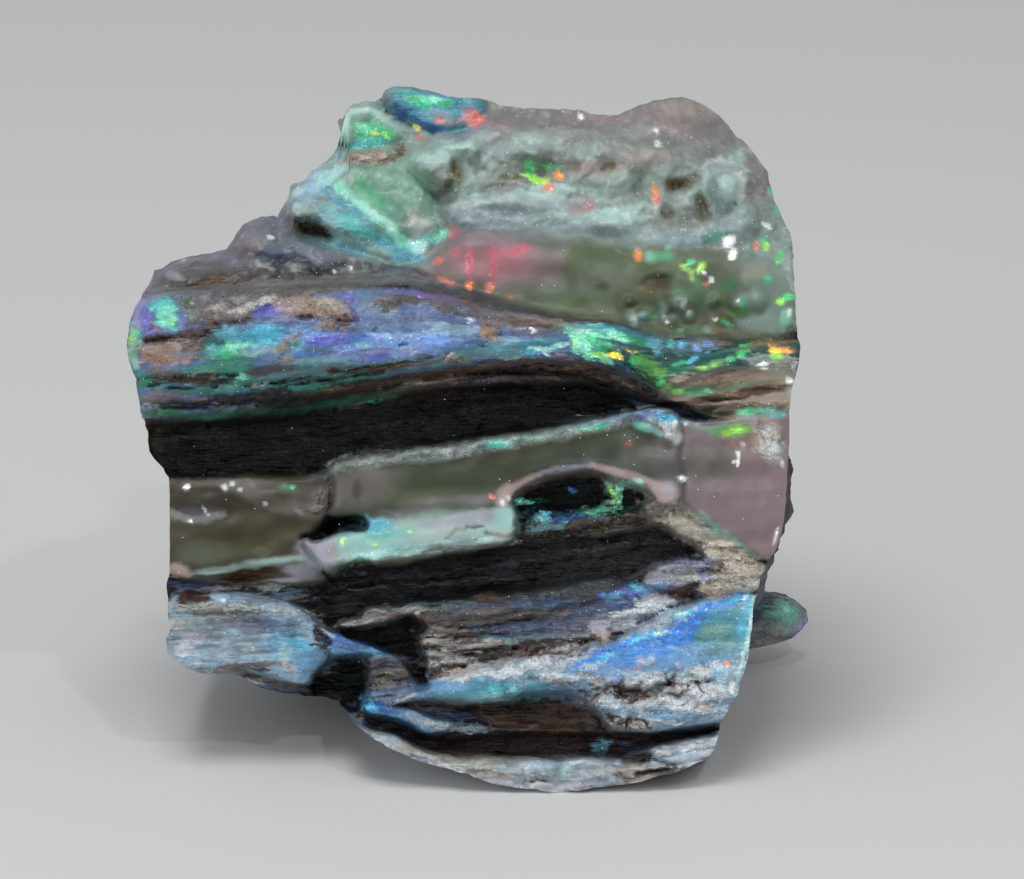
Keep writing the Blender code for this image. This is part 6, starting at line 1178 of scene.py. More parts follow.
class Surface:
    """What is known of each point: its place, its depth, its two coats of paint and its finishes."""

    def __init__(self, flat, deep, tint, finish):
        self.flat = flat
        self.deep = deep
        self.tint = np.stack([tint, tint])
        self.glow = 0 * self.tint
        self.finish = finish

    def lay(self, where, share, finish, colour):
        share = share[:, None]
        self.finish[where] += (np.array(FINISHES) == finish) * share - self.finish[where] * share
        self.tint[:, where] += (linear(colour) - self.tint[:, where]) * share

    def carve(self):
        wander = np.stack([noise(self.flat, 1.3, 1), noise(self.flat, 1.3, 2)], axis=1) * 0.22
        points = self.flat[:, :2] + wander
        for _, finish, colour, level, tilt, rim, soft, outline in FEATURES:
            corners = read_points(outline.split())
            low = corners.min(axis=0) - 2
            high = corners.max(axis=0) + 2
            near = np.flatnonzero(((points > low) & (points < high)).all(axis=1))
            inside = depth_inside(points[near], corners)
            face = level + (points[near] - corners.mean(axis=0)) @ tilt
            if rim:
                face += rim * (1 - np.sqrt(1 - np.clip(1 - inside / rim, 0, 1) ** 2))
            self.deep[near] += (face - self.deep[near]) * ease(-soft, soft, inside)
            edge = max(0.12, 0.6 * soft)
            self.lay(near, ease(-edge, edge, inside), finish, colour)
        for across, up, half_width, half_height, height in LUMPS:
            offset = np.hypot((points[:, 0] - across) / half_width, (points[:, 1] - up) / half_height)
            self.deep -= height * ease(1.3, 0, offset)

    def glass(self):
        """How glassy each point is: jelly opal wholly, foam by half."""
        return np.clip(self.finish[:, 3] + 0.5 * self.finish[:, 4], 0, 1)

    def wandered(self, flat, coat):
        """Where the brush really touches: smooth strokes, crumbly strokes, and how torn their edges are."""
        grainy = (self.finish[:, 0] + self.finish[:, 1] + 0.6 * self.finish[:, 5])[:, None]
        seed = 21 + 200 * coat
        reach = 1 + 0.8 * coat
        round_wander = np.stack([mottle(flat, 0.6, seed), mottle(flat, 0.6, seed + 1)], axis=1)
        round_wander *= 0.2 * reach
        along = mottle(flat, (1.6, 0.3, 1), seed + 2)
        over = mottle(flat, (1.8, 0.3, 1), seed + 3)
        long_wander = np.stack([along * 0.45 * reach, over * 0.15 * reach], axis=1)
        calm = 1 - 0.65 * self.glass()[:, None]
        smooth = flat[:, :2] + (round_wander + (long_wander - round_wander) * grainy) * calm
        middle, _, _ = grains(flat, (0.42, 0.22), 71 + 10 * coat)
        crumbly = smooth + 0.4 * (middle - flat[:, :2])
        torn = 0.36 * mottle(flat, (0.4, 0.22, 1), seed + 4)
        torn += 0.32 * mottle(flat, (0.24, 0.15, 1), seed + 5)
        return smooth, crumbly, torn

    def paint(self, strokes, flat):
        glass = self.glass()
        soft = 0.2 + 0.25 * glass
        brushes = [self.wandered(flat, coat) for coat in (0, 1)]
        for touch, colour, shape, cover, glow in strokes:
            finish, stand = SUBSTANCE.get(colour, (None, 0))
            for coat, (smooth, crumbly, torn) in enumerate(brushes):
                points = crumbly if finish == "crust" else smooth
                if glow > SHARP_GLOW:
                    points = 0.5 * (points + flat[:, :2])
                near, distance = touch(points, *shape)
                distance += torn[near] * (1 - (0.1 if glow > SHARP_GLOW else 0.7) * glass[near])
                share = cover * ease(1.05 + soft[near], 1.05 - soft[near], distance)
                if coat == 0:
                    self.deep[near] -= share * stand
                    wanted = "fire" if glow > FIRE_GLOW else finish
                    if wanted:
                        own = np.array(FINISHES) == wanted
                        self.finish[near] += (own - self.finish[near]) * share[:, None]
                share = share[:, None]
                self.tint[coat, near] += (linear(colour) - self.tint[coat, near]) * share
                self.glow[coat, near] += (linear(colour) * glow - self.glow[coat, near]) * share

    def stain(self, share, colour):
        self.tint += (linear(colour) - self.tint) * share[:, None]

    def texture(self):
        """The fine relief of each finish, and its colour lightened where it stands and darkened where it
        sinks: partly tone, partly painted shade.
        """
        patterns = patterns_on(self.flat)
        shares = dict(zip(FINISHES, self.finish.T))
        shares["low fire"] = shares["fire"] * ease(*LOW_FIRE, self.flat[:, 1])
        self.deep -= blend(RISE, shares, patterns)
        self.tint *= np.clip(1 + blend(SHADE, shares, patterns), 0.2, 2.0)[:, None]
        crack_shade = np.clip(blend(CRACK_SHADE, shares, patterns), 0, 1)
        chip, far = patterns["chip"], patterns["far"]
        froth_near, froth_tone = patterns["froth"], patterns["froth tone"]
        # painted shade in the cracks between plates
        self.stain(crack_shade * ease(-0.5, 0.3, patterns["plate"]), "umber")
        self.stain(shares["crust"] * 0.3 * ease(0.4, 0.8, chip), "bone")
        self.stain(shares["crust"] * 0.3 * ease(0.85, 0.97, -chip) * ease(0.2, 0.6, far), "bark")
        bubbles = ease(0.25, 0.55, froth_near) * ease(0.3, 0.8, froth_tone)
        self.stain(shares["foam"] * 0.4 * bubbles, "chalk")


def front(s, t):
    """x, y, z of the carved face, and its surface."""
    across, up, deep = loft(s, t)
    flat = np.stack([across, up, 0 * up], axis=1)
    everywhere = slice(None)
    surface = Surface(flat, deep, np.zeros((len(up), 3)), np.zeros((len(up), len(FINISHES))))
    level = level_of(t)
    dome = ease(5.7, 5.9, level)
    surface.lay(everywhere, np.ones(len(up)), "wood", "char")
    surface.lay(everywhere, ease(4.95, 5.05, level), "crust", "drab")
    surface.lay(everywhere, dome, "foam", "milk")
    surface.lay(everywhere, dome * ease(-5.5, -7.5, across), "foam", "moth")
    surface.carve()
    surface.paint(STROKES, flat)
    surface.texture()
    deep = surface.deep + 0.22 * noise(flat, (4.0, 0.9, 1), 3) + 0.14 * noise(flat, 0.9, 4)
    spread = 1 + deep / SPREAD_DISTANCE
    x = AXIS_ACROSS + (across - AXIS_ACROSS) * spread
    up = AXIS_UP + (up - AXIS_UP) * spread
    y = deep * np.cos(LEAN) + up * np.sin(LEAN)
    z = up * np.cos(LEAN) - deep * np.sin(LEAN) + LIFT
    return np.stack([x, y, z], axis=1), surface


print("shares that lie on the dome:", [round(float(share), 2) for share in np.cumsum(BAND_SHARE)[-3:-1]])

# %% [markdown]
# ## The back, the sides and the underside
#
# Only the front was ever cleaned and polished by the finder. The other sides are where the stone broke
# out of the ground: rough, in the same strata as the front, and a little darker. They are a second,
# simpler surface, and the sides are a straight blend from the front's edge to it.

# %% The rest of the stone
BACK_FOOT = 25.0
BACK_WAIST = 27.0
BACK_BROW = (25.2, 27.4)  # at the left and at the right
BACK_INSET = 0.9  # how much narrower the back is, on each side
FLAT_CENTRE = (3.5, 12.0)
FLAT_REACH = (10.5, 11.5)
# centre (x, y, z), reach, how far the right side swells out
FOOT_LUMP = ((15.0, 23.4, 2.1), (3.2, 2.9, 1.9), 4.7)
FLANK_SWELL = ((16.5, 13.8, 11.6), (6.0, 6.0, 5.5), 1.9)
# height on the leaning plane, finish and colour of the strata, from the foot to the crown
STRATA = (
    (0, "crust", "ash"), (3, "crust", "frost"), (5, "wood", "umber"), (7, "crust", "grit"),
    (9.5, "fibre", "slate"), (11.5, "fibre", "storm"), (13.5, "wood", "char"), (15.5, "jelly", "khaki"),
    (18, "jelly", "jelly"), (20, "wood", "char"), (22, "wood", "umber"), (24, "fibre", "slate"),
    (26.5, "fibre", "petrol"), (28, "crust", "drab"), (30, "crust", "fog"), (33, "foam", "milk"),
    (36, "foam", "brine"), (39, "foam", "dove"),
)


def bowl(x, y):
    """The height of the underside: flat under the middle of the stone, rising beyond it."""
    reach = np.hypot((x - FLAT_CENTRE[0]) / FLAT_REACH[0], (y - FLAT_CENTRE[1]) / FLAT_REACH[1])
    return np.clip(reach - 1, 0, None) * 4.5


def back(s, t, crest):
    """x, y, z of the rough back, under the crest at the same share of the width."""
    brow = BACK_BROW[0] + (BACK_BROW[1] - BACK_BROW[0]) * ease(0.2, 0.5, s)
    y = np.interp(t, (0, 0.25, 0.7), (0, 0.75, 1))
    y = BACK_FOOT + (BACK_WAIST - BACK_FOOT) * y
    y += (brow - y) * ease(0.7, 1, t)
    foot = 0.5 + bowl(s * 30 - 15, y)
    top = crest[:, 2] - 0.35 * (brow - crest[:, 1]) - 0.8
    z = foot + (top - foot) * t
    up = z * np.cos(LEAN) + y * np.sin(LEAN)
    left = np.interp(up, *LEFT_SIDE.T[::-1]) + BACK_INSET
    right = np.interp(up, *np.vstack([RIGHT_SIDE, RIGHT_SHOULDER]).T[::-1]) - BACK_INSET
    points = np.stack([left + (right - left) * s, y, z], axis=1)
    rough = 0.7 * noise(points, (9, 9, 4), 5) + 0.5 * noise(points, (6, 6, 1.6), 6)
    rough += 0.2 * noise(points, 1.2, 7)
    points[:, 1] -= ease(1, 0.9, t) * (1.0 + rough)
    return points


def swell(points, share, centre, reach, height):
    """Pushes the right side out in a round lump, by `share` of its height."""
    distance = np.linalg.norm((points - centre) / reach, axis=1)
    points[:, 0] += height * share * np.sqrt(1 - np.clip(distance, 0, 1) ** 2)


def edge_of_front(s, height):
    """The front's lowest (0) or highest (1) edge at each share of the width."""
    samples = np.linspace(0, 1, 400)
    edge, _ = front(samples, np.full(400, float(height)))
    return np.stack([np.interp(s, samples, values) for values in edge.T], axis=1)


def strata(points):
    """The surface of broken stone, with its layers at their height on the leaning plane."""
    up = points[:, 2] * np.cos(LEAN) + points[:, 1] * np.sin(LEAN)
    deep = points[:, 1] * np.cos(LEAN) - points[:, 2] * np.sin(LEAN)
    height = up + 1.3 * noise(points, (9, 9, 3), 41) + 0.5 * noise(points, (3, 3, 0.8), 42)
    heights = [height for height, _, _ in STRATA]
    tints = np.array([linear(colour) for _, _, colour in STRATA])
    finishes = np.array([np.array(FINISHES) == finish for _, finish, _ in STRATA], float)
    tint = np.stack([np.interp(height, heights, column) for column in tints.T], axis=1)
    finish = np.stack([np.interp(height, heights, column) for column in finishes.T], axis=1)
    round_corner = np.stack([points[:, 0] + 0.9 * points[:, 1], height, 0 * up], axis=1)
    surface = Surface(round_corner, 0 * up, 0.8 * tint, finish)
    spread = 1 + deep / SPREAD_DISTANCE
    across = AXIS_ACROSS + (points[:, 0] - AXIS_ACROSS) / spread
    seen = np.stack([across, AXIS_UP + (up - AXIS_UP) / spread, 0 * up], axis=1)
    surface.paint(FLANK, seen)
    surface.texture()
    return surface


print("strata of the broken sides:", len(STRATA))

# %% [markdown]
# ## Ledges, and the whole skin
#
# Paint that is laid straight onto the front would smear into stripes on a ledge, which the brush sees
# edge on. So the colours of every ledge are shared out along it and mottled afresh. After that the front,
# the back, the sides and the underside are joined into one skin.

# %% Ledges and the whole skin
LEDGE_SLOPE = (1.5, 4.0)  # millimetres deep for each one up: where weathering starts, and where it is full
LEDGE_GLOW = 0.3
SIDE_PAINT = 0.22  # of the depth: how far the front's paint runs round the corner
TREMBLE = 0.09  # millimetres of last unevenness, in lumps of the next size
TREMBLE_SIZE = 0.5


def shared_along(table, reach):
    """A table with each value averaged with its neighbours to the left and to the right."""
    padded = np.pad(table, ((0, 0), (reach, reach), (0, 0)), mode="edge")
    total = sum(padded[:, step:step + table.shape[1]] for step in range(2 * reach + 1))
    return total / (2 * reach + 1)


def weather_ledges(face, surface, s, t):
    """Paint runs together on a ledge: it loses the stripes of the edge above it."""
    column = np.round(s * COLUMNS).astype(int)
    row = np.round(t * ROWS).astype(int)
    table = np.zeros((ROWS + 1, COLUMNS + 1, 20))
    table[row, column] = np.column_stack([
        surface.deep, surface.flat[:, 1], *surface.tint, *surface.glow, surface.finish
    ])
    slope = np.gradient(table[..., 0], axis=0) / np.gradient(table[..., 1], axis=0)
    ledge = ease(*LEDGE_SLOPE, abs(slope))[row, column][:, None]
    mixed = shared_along(table, COLUMNS // 18)[row, column]
    patchy = 1 + 0.3 * mottle(face, 1.0, 84)[:, None] + 0.2 * mottle(face, 0.4, 85)[:, None]
    for coat in (0, 1):
        tint = mixed[:, 2 + 3 * coat:5 + 3 * coat] * patchy
        glow = LEDGE_GLOW * mixed[:, 8 + 3 * coat:11 + 3 * coat] * patchy
        surface.tint[coat] += (tint - surface.tint[coat]) * ledge
        surface.glow[coat] += (glow - surface.glow[coat]) * ledge
    surface.finish += (mixed[:, 14:] - surface.finish) * ledge


def settle(points, s, r, t, crest):
    """Brings the underside down onto a flat foot that rises beyond its rim."""
    foot = edge_of_front(s, 0)
    foot_back = back(s, 0 * s, crest)
    base = foot + (foot_back - foot) * r[:, None]
    slope = foot[:, 2] - 0.97 * np.tan(LEAN) * (base[:, 1] - foot[:, 1])
    under = np.maximum(slope, bowl(base[:, 0], base[:, 1]) * ease(0, 0.18, r) + 0.5 * ease(0.85, 1, r))
    points[:, 2] += (under - base[:, 2]) * (1 - t) ** 4


def break_sides(points, s, r, t):
    """Roughens the sides and the top; returns 1 at the middle of the right side and -1 of the left."""
    between = 4 * r * (1 - r)
    side = np.where(s == 1, 1.0, 0) - np.where(s == 0, 1.0, 0)
    rough = noise(points, (7, 7, 1.1), 8) + 0.6 * noise(points, (3, 3, 2), 9) + 0.4 * noise(points, 1.1, 10)
    points[:, 0] -= side * between * (0.6 + 0.4 * rough)
    points[:, 2] += np.where(t == 1, between * (0.4 * rough - 0.3), 0)
    swell(points, between * (s == 1), *FLANK_SWELL)
    swell(points, 1, *FOOT_LUMP)
    return side * between


def stone_points(s, r, t):
    """Position, colour, glow and finish of each point: s across, r from front to back, t up."""
    crest = edge_of_front(s, 1)
    points = back(s, t, crest)
    ahead = r < 1
    face, surface = front(s, t)
    weather_ledges(face, surface, s, t)
    points[ahead] = face[ahead] + (points[ahead] - face[ahead]) * r[ahead, None]
    settle(points, s, r, t, crest)
    sideways = break_sides(points, s, r, t)
    broken = strata(points)
    points[:, 1] -= broken.deep * (r == 1)
    points[:, 0] -= sideways * broken.deep
    share = ease(0, SIDE_PAINT, r)[:, None]
    tint = surface.tint + (broken.tint - surface.tint) * share
    glow = surface.glow + (broken.glow - surface.glow) * share
    finish = surface.finish + (broken.finish - surface.finish) * share
    smooth = np.clip(finish[:, 3] + 0.5 * finish[:, 5], 0, 1)
    tremble = np.stack([mottle(points, TREMBLE_SIZE, seed) for seed in (81, 82, 83)], axis=1)
    points += TREMBLE * tremble * (1 - 0.8 * smooth)[:, None]
    points[:, 2] = np.maximum(points[:, 2], 0)
    points[:, :2] -= CENTRE
    return points, tint, glow, finish


print("ledges are weathered over", COLUMNS // 18, "columns on each side")

# %% [markdown]
# ## Making the mesh
#
# The front keeps every triangle of the grid, because that is where the fine relief is. The back and the
# sides are thinned with Decimate through a vertex group, which keeps the whole piece under MOST_TRIANGLES.
# The colours and the finishes travel with the points as attributes, and the materials read them.

# %% Build the stone
MOST_TRIANGLES = 196000
FRONT_SHARE = 0.04  # of the depth: the part that Decimate leaves alone
THIN_FACTOR = 1000
SHARP_ANGLE = np.radians(70)


def store(mesh, name, values):
    kind = "FLOAT_COLOR" if values.ndim == 2 else "FLOAT"
    attribute = mesh.attributes.new(name, kind, "POINT")
    if values.ndim == 2:
        attribute.data.foreach_set("color", np.column_stack([values, np.ones(len(values))]).ravel())
    else:
        attribute.data.foreach_set("value", values)


def fetch(mesh, name):
    values = np.empty(len(mesh.vertices), np.float32)
    mesh.attributes[name].data.foreach_get("value", values)
    return values


def thin_out(rough, unseen_points, seen_points):
    """Thins the mesh away from the front until the whole is under MOST_TRIANGLES."""
    unseen = rough.vertex_groups.new(name="unseen")
    unseen.add(unseen_points.tolist(), 1.0, "REPLACE")
    unseen.add(seen_points.tolist(), 0.0, "REPLACE")
    thin = rough.modifiers.new("thin", "DECIMATE")
    thin.ratio = min(1.0, MOST_TRIANGLES / (2 * len(rough.data.polygons)))
    thin.use_collapse_triangulate = True
    thin.vertex_group = unseen.name
    thin.vertex_group_factor = THIN_FACTOR
    graph = bpy.context.evaluated_depsgraph_get()
    finished = bpy.data.meshes.new_from_object(rough.evaluated_get(graph))
    rough.modifiers.clear()
    rough.vertex_groups.clear()
    rough.data = finished


def build_stone():
    grid = box_grid(COLUMNS, ROWS, LAYERS)
    mesh = bpy.data.meshes.new("opal_stone")
    grid.to_mesh(mesh)
    grid.free()
    places = np.empty(len(mesh.vertices) * 3, np.float32)
    mesh.vertices.foreach_get("co", places)
    s, r, t = np.round(places.reshape(-1, 3) + 0.5, 6).T.astype(float)
    points, tint, glow, finish = stone_points(s, r, t)
    mesh.vertices.foreach_set("co", (points * MM).astype(np.float32).ravel())
    for coat, number in (("first", 0), ("second", 1)):
        store(mesh, coat + " tint", tint[number])
        store(mesh, coat + " glow", glow[number])
    for name, share in zip(FINISHES, finish.T):
        store(mesh, name, share)
    stone = bpy.data.objects.new("opal_stone", mesh)
    bpy.context.collection.objects.link(stone)
    thin_out(stone, np.flatnonzero(r > FRONT_SHARE), np.flatnonzero(r <= FRONT_SHARE))
    stone.data.name = "opal_stone"
    stone.data.shade_smooth()
    stone.data.set_sharp_from_angle(angle=SHARP_ANGLE)
    return stone


stone = build_stone()
print("stone:", len(stone.data.vertices), "points,", len(stone.data.polygons), "triangles")

# %% [markdown]
# ## Effects that the materials share
#
# Five effects come back in every part of this stone, so each is a node group: the streaks of the old wood
# grain, the crumbs of dry crust, the two coats of paint, the cloudy depth of milky opal, and the play of
# colour. A group gives out only colours, masks and heights. Each material places it with its own values.

# %% Node group helper
PER_MM = 1000.0  # the mesh is in metres


def group(name, inputs, outputs):
    tree = bpy.data.node_groups.new(name, "ShaderNodeTree")
    for socket, kind, value in inputs:
        made = tree.interface.new_socket(socket, in_out="INPUT", socket_type=kind)
        if value is not None:
            made.default_value = value
    for socket, kind in outputs:
        tree.interface.new_socket(socket, in_out="OUTPUT", socket_type=kind)
    return tree, tree.nodes.new("NodeGroupInput").outputs, tree.nodes.new("NodeGroupOutput").inputs


def node(tree, kind, links=(), **settings):
    """A new node: its settings first, then its inputs, each a socket to join or a plain value."""
    made = tree.nodes.new("ShaderNode" + kind)
    for name, value in settings.items():
        setattr(made, name, value)
    for socket, value in dict(links).items():
        if isinstance(value, bpy.types.NodeSocket):
            tree.links.new(value, made.inputs[socket])
        else:
            made.inputs[socket].default_value = value
    return made


def math(tree, operation, first, second=0.0):
    return node(tree, "Math", {0: first, 1: second}, operation=operation).outputs[0]


def stretch(tree, place, scale):
    return node(tree, "Mapping", {"Vector": place, "Scale": scale}).outputs[0]


def speckle(tree, place, scale, detail=2.0, roughness=0.5):
    links = {"Vector": place, "Scale": scale, "Detail": detail, "Roughness": roughness}
    return node(tree, "TexNoise", links).outputs["Fac"]


def remap(tree, value, from_low, from_high, to_low, to_high):
    inputs = {"Value": value, "From Min": from_low, "From Max": from_high}
    inputs |= {"To Min": to_low, "To Max": to_high}
    return node(tree, "MapRange", inputs).outputs["Result"]


print("one millimetre is", round(1 / PER_MM, 6), "of the scene's unit")

# %% [markdown]
# Grain and crumbs both darken the colour in places and lift it in others, so each gives a shade and a
# height. The two coats of paint meet where a noise passes one half, within an edge that each material
# chooses.

# %% Grain, crumbs and the two coats
def make_grain():
    """Streaks and hairs of the old wood, long in x."""
    tree, given, result = group(
        "wood grain",
        [("Place", "NodeSocketVector", None), ("Strength", "NodeSocketFloat", 1.0)],
        [("Shade", "NodeSocketFloat"), ("Height", "NodeSocketFloat")],
    )
    broad = speckle(tree, stretch(tree, given["Place"], (0.25, 2.2, 2.2)), PER_MM, 2.0, 0.6)
    hair = speckle(tree, stretch(tree, given["Place"], (0.6, 8.0, 8.0)), PER_MM, 1.0, 0.6)
    streaks = math(tree, "ADD", math(tree, "MULTIPLY", broad, 0.5), math(tree, "MULTIPLY", hair, 0.5))
    centred = math(tree, "SUBTRACT", streaks, 0.5)
    strong = math(tree, "MULTIPLY", centred, given["Strength"])
    shade = math(tree, "ADD", math(tree, "MULTIPLY", strong, 2.6), 1.0)
    tree.links.new(math(tree, "MAXIMUM", shade, 0.15), result["Shade"])
    tree.links.new(strong, result["Height"])
    return tree


def make_crumbs():
    """Crumbs of dry crust: lighter where they stand and darker between them, partly tone and partly painted
    shade.
    """
    tree, given, result = group(
        "crust crumbs",
        [("Place", "NodeSocketVector", None), ("Strength", "NodeSocketFloat", 1.0)],
        [("Shade", "NodeSocketFloat"), ("Height", "NodeSocketFloat")],
    )
    cells = node(tree, "TexVoronoi", {"Vector": given["Place"], "Scale": 3.2 * PER_MM}).outputs["Distance"]
    dust = speckle(tree, given["Place"], 9.0 * PER_MM, 1.0, 0.7)
    lump = math(tree, "SUBTRACT", dust, math(tree, "MULTIPLY", cells, 0.5))
    centred = math(tree, "SUBTRACT", lump, 0.25)
    strong = math(tree, "MULTIPLY", centred, given["Strength"])
    shade = math(tree, "ADD", math(tree, "MULTIPLY", strong, 1.8), 1.0)
    tree.links.new(math(tree, "MAXIMUM", shade, 0.1), result["Shade"])
    tree.links.new(strong, result["Height"])
    return tree


def make_coats():
    """Where the second coat of paint shows: hair-thin streaks along the grain, or soft patches."""
    tree, given, result = group(
        "two coats",
        [("Place", "NodeSocketVector", None), ("Streaks", "NodeSocketFloat", 1.0),
         ("Edge", "NodeSocketFloat", 0.05)],
        [("Second", "NodeSocketFloat")],
    )
    streaks = speckle(tree, stretch(tree, given["Place"], (0.5, 4.5, 4.5)), PER_MM, 2.0, 0.65)
    patches = speckle(tree, given["Place"], 2.6 * PER_MM, 3.0, 0.65)
    chosen = math(tree, "ADD", math(tree, "MULTIPLY", streaks, given["Streaks"]),
                  math(tree, "MULTIPLY", patches, math(tree, "SUBTRACT", 1.0, given["Streaks"])))
    low = math(tree, "SUBTRACT", 0.5, given["Edge"])
    high = math(tree, "ADD", 0.5, given["Edge"])
    tree.links.new(remap(tree, chosen, low, high, 0.0, 1.0), result["Second"])
    return tree


grain_group = make_grain()
crumbs_group = make_crumbs()
coats_group = make_coats()
print("groups:", grain_group.name, "and", crumbs_group.name, "and", coats_group.name)

# %% [markdown]
# Precious opal is built of small cells, and each sends back one colour at one angle. Here every cell
# draws a chance: a few come out bright, most dim, and the hue turns a little from cell to cell. Pins are
# the tiny stray glints that lie anywhere on the stone. Both are painted light, given out as emission.

# %% Cloudy depth and play of colour
SMALLER = 3.3  # how many small cells lie side by side in a broad one
PINS_PER_MM = 9.0
PIN_RADIUS = 0.22  # of its cell
GLINT_COLOUR = (0.55, 0.95, 0.85, 1)


def make_cloud():
    """The slow light and dark of milky opal."""
    tree, given, result = group(
        "milky cloud",
        [("Place", "NodeSocketVector", None), ("Strength", "NodeSocketFloat", 1.0)],
        [("Shade", "NodeSocketFloat"), ("Height", "NodeSocketFloat")],
    )
    cloud = speckle(tree, given["Place"], 0.9 * PER_MM, 3.0, 0.65)
    centred = math(tree, "MULTIPLY", math(tree, "SUBTRACT", cloud, 0.5), given["Strength"])
    tree.links.new(math(tree, "ADD", math(tree, "MULTIPLY", centred, 1.5), 1.0), result["Shade"])
    tree.links.new(centred, result["Height"])
    return tree


def cells_of(tree, place, scale):
    """Cells of one size: how far each point is from its cell's middle, and the cell's three chances."""
    cells = node(tree, "TexVoronoi", {"Vector": place, "Scale": scale}).outputs
    return cells["Distance"], node(tree, "SeparateColor", {"Color": cells["Color"]}).outputs


def scaled(tree, colour, strength):
    return node(tree, "VectorMath", {0: colour, "Scale": strength}, operation="SCALE").outputs[0]


def painted_glints_of(tree, given):
    """Tiny stray glints, each of its own hue."""
    distance, chance = cells_of(tree, given["Place"], PINS_PER_MM * PER_MM)
    lucky = math(tree, "LESS_THAN", chance[2], given["Pins"])
    near = math(tree, "LESS_THAN", distance, PIN_RADIUS)
    colour = {"Color": GLINT_COLOUR, "Hue": chance[0], "Saturation": chance[1], "Value": 1.0}
    return scaled(tree, node(tree, "HueSaturation", colour).outputs[0], math(tree, "MULTIPLY", lucky, near))


def make_play():
    """Small cells of one angle each: a few send back a bright colour and most a dim one."""
    tree, given, result = group(
        "play of colour",
        [("Place", "NodeSocketVector", None), ("Glow", "NodeSocketColor", None),
         ("Cells", "NodeSocketFloat", 3.0), ("Pins", "NodeSocketFloat", 0.03),
         ("Smooth", "NodeSocketFloat", 0.3)],
        [("Colour", "NodeSocketColor")],
    )
    wander = {"Vector": given["Place"], "Scale": 2.5 * PER_MM, "Detail": 1.0}
    bent = scaled(tree, node(tree, "TexNoise", wander).outputs["Color"], 0.25 / PER_MM)
    bent = node(tree, "VectorMath", {0: bent, 1: given["Place"]}, operation="ADD").outputs[0]
    scale = math(tree, "MULTIPLY", given["Cells"], PER_MM)
    _, broad = cells_of(tree, stretch(tree, bent, (0.6, 1.0, 1.0)), scale)
    distance, small = cells_of(tree, bent, math(tree, "MULTIPLY", scale, SMALLER))
    bright = remap(tree, math(tree, "POWER", small[0], 3.0), 0.0, 1.0, 0.35, 3.2)
    bright = math(tree, "MULTIPLY", bright, remap(tree, broad[0], 0.0, 1.0, 0.35, 1.3))
    bright = math(tree, "MULTIPLY", bright, remap(tree, distance, 0.1, 0.6, 1.2, 0.5))
    strands = speckle(tree, stretch(tree, bent, (0.8, 5.0, 5.0)), PER_MM, 1.5, 0.6)
    bright = math(tree, "MULTIPLY", bright, remap(tree, strands, 0.36, 0.64, 0.35, 1.75))
    sparkly = math(tree, "SUBTRACT", 1.0, given["Smooth"])
    calm = math(tree, "MULTIPLY", given["Smooth"], 0.9)
    hue = math(tree, "MULTIPLY", math(tree, "ADD", broad[1], small[1]), 0.5)
    turned = node(tree, "HueSaturation", {
        "Color": given["Glow"], "Hue": remap(tree, hue, 0.0, 1.0, 0.44, 0.56),
        "Saturation": remap(tree, small[2], 0.0, 1.0, 1.15, 0.55),
        "Value": math(tree, "ADD", math(tree, "MULTIPLY", bright, sparkly), calm),
    }).outputs[0]
    both = node(tree, "VectorMath", {0: turned, 1: painted_glints_of(tree, given)}, operation="ADD").outputs[0]
    tree.links.new(both, result["Colour"])
    return tree


cloud_group = make_cloud()
play_group = make_play()
print("groups:", cloud_group.name, "and", play_group.name)

# %% [markdown]
# ## The opal materials
#
# Burnt wood is matt and nearly black. Fibre turned to opal is silky. Crust is dry and crumbly. Milky opal
# scatters light under its skin, and jelly opal lets some of it straight through. The play of colour of fire
# opal, and the glints, are painted light that the materials give out as emission. The face of the mesh
# takes the material whose finish is strongest there, and the colours themselves run on across the joins,
# because all six read the same painted attributes.

# %% Make the materials
def attribute(tree, name, output="Color"):
    return node(tree, "Attribute", attribute_name=name).outputs[output]


def of_two_coats(tree, name, second):
    """The colour of the first coat of paint, or of the second where that one shows."""
    links = {0: second, 6: attribute(tree, "first " + name), 7: attribute(tree, "second " + name)}
    return node(tree, "Mix", links, data_type="RGBA").outputs[2]


def place_group(tree, shared, inputs):
    """The outputs of a shared group, placed in a material with its own inputs."""
    return node(tree, "Group", inputs, node_tree=shared).outputs


SCATTER_RADIUS = (0.9, 0.8, 0.7)  # millimetres, for red, green and blue
# what each number of a look is, and then the numbers of the six looks
LOOK_PARTS = (
    "roughness", "coat", "scatter", "clear", "grain", "crumbs", "cloud", "pins", "bump", "streaks", "edge",
    "smooth", "shine",
)
LOOKS = {
    "wood": (0.55, 0.04, 0.0, 0.0, 1.0, 0.3, 0.0, 0.002, 0.3, 1.0, 0.03, 0.3, 0.5),
    "fibre": (0.5, 0.1, 0.0, 0.0, 0.8, 0.3, 0.0, 0.03, 0.25, 1.0, 0.03, 0.4, 0.5),
    "crust": (0.58, 0.08, 0.0, 0.0, 0.2, 0.5, 0.0, 0.02, 0.4, 0.6, 0.03, 0.3, 0.4),
    "jelly": (0.48, 0.04, 0.0, 0.2, 0.0, 0.0, 0.3, 0.006, 0.0, 0.3, 0.16, 0.8, 0.3),
    "foam": (0.38, 0.12, 0.2, 0.0, 0.0, 0.15, 0.3, 0.03, 0.15, 0.2, 0.1, 0.75, 0.4),
    "fire": (0.34, 0.18, 0.0, 0.0, 0.35, 0.3, 0.3, 0.025, 0.18, 0.8, 0.05, 0.35, 0.5),
}
OPAL_IOR = 1.45
COAT_ROUGHNESS = 0.12
CELLS = 2.6  # broad cells of colour in a millimetre
DRYNESS = 0.1  # how far crumbs move the roughness up or down


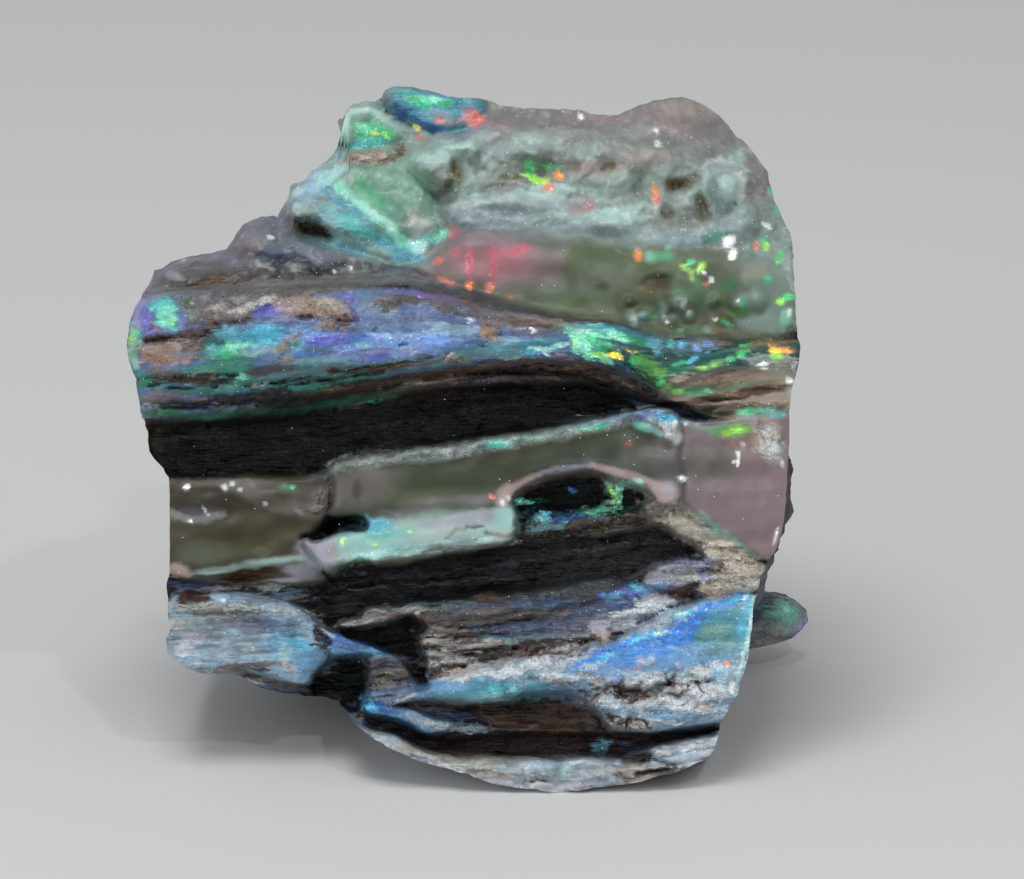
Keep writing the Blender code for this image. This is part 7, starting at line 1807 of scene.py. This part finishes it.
def opal(name, numbers):
    look = dict(zip(LOOK_PARTS, numbers))
    material = bpy.data.materials.new(name)
    material.use_nodes = True
    tree = material.node_tree
    surface = tree.nodes["Principled BSDF"]
    settings = {
        "Roughness": look["roughness"], "IOR": OPAL_IOR, "Specular IOR Level": look["shine"],
        "Coat Weight": look["coat"], "Coat Roughness": COAT_ROUGHNESS, "Subsurface Weight": look["scatter"],
        "Subsurface Radius": SCATTER_RADIUS, "Subsurface Scale": MM, "Transmission Weight": look["clear"],
        "Emission Strength": 1.0,
    }
    for socket, value in settings.items():
        surface.inputs[socket].default_value = value
    place = node(tree, "TexCoord").outputs["Object"]
    effects = [
        place_group(tree, shared, {"Place": place, "Strength": look[part]})
        for part, shared in (("grain", grain_group), ("crumbs", crumbs_group), ("cloud", cloud_group))
        if look[part]
    ]
    inputs = {"Place": place, "Streaks": look["streaks"], "Edge": look["edge"]}
    second = place_group(tree, coats_group, inputs)["Second"]
    inputs = {"Place": place, "Cells": CELLS, "Pins": look["pins"], "Smooth": look["smooth"]}
    inputs["Glow"] = of_two_coats(tree, "glow", second)
    play = place_group(tree, play_group, inputs)
    shade = effects[0]["Shade"]
    for effect in effects[1:]:
        shade = math(tree, "MULTIPLY", shade, effect["Shade"])
    colour = scaled(tree, of_two_coats(tree, "tint", second), shade)
    tree.links.new(colour, surface.inputs["Base Color"])
    # the play of colour and the pins are painted light: the surface gives them out as emission
    tree.links.new(play["Colour"], surface.inputs["Emission Color"])
    if look["bump"]:
        height = math(tree, "ADD", effects[0]["Height"], effects[1]["Height"])
        bump = node(tree, "Bump", {"Height": height, "Distance": look["bump"] * MM}).outputs[0]
        tree.links.new(bump, surface.inputs["Normal"])
        dry = remap(tree, shade, 0.6, 1.4, look["roughness"] + DRYNESS, look["roughness"] - DRYNESS)
        tree.links.new(dry, surface.inputs["Roughness"])
    return material


MATERIAL_NAMES = {
    "wood": "burnt_wood", "fibre": "opal_fibre", "crust": "opal_crust", "jelly": "jelly_opal",
    "foam": "milky_opal", "fire": "fire_opal",
}
for finish in FINISHES:
    stone.data.materials.append(opal(MATERIAL_NAMES[finish], LOOKS[finish]))
shares = np.stack([fetch(stone.data, finish) for finish in FINISHES])
corners = np.empty(len(stone.data.loops), np.int32)
stone.data.loops.foreach_get("vertex_index", corners)
starts = np.empty(len(stone.data.polygons), np.int32)
stone.data.polygons.foreach_get("loop_start", starts)
strongest = np.add.reduceat(shares[:, corners], starts, axis=1).argmax(axis=0)
stone.data.polygons.foreach_set("material_index", strongest.astype(np.int32))
counts = np.bincount(strongest, minlength=len(FINISHES)).tolist()
print("faces of each finish:", dict(zip(FINISHES, counts)))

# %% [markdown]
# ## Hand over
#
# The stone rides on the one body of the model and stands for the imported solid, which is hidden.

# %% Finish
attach(stone, "root")
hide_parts("opal_specimen")
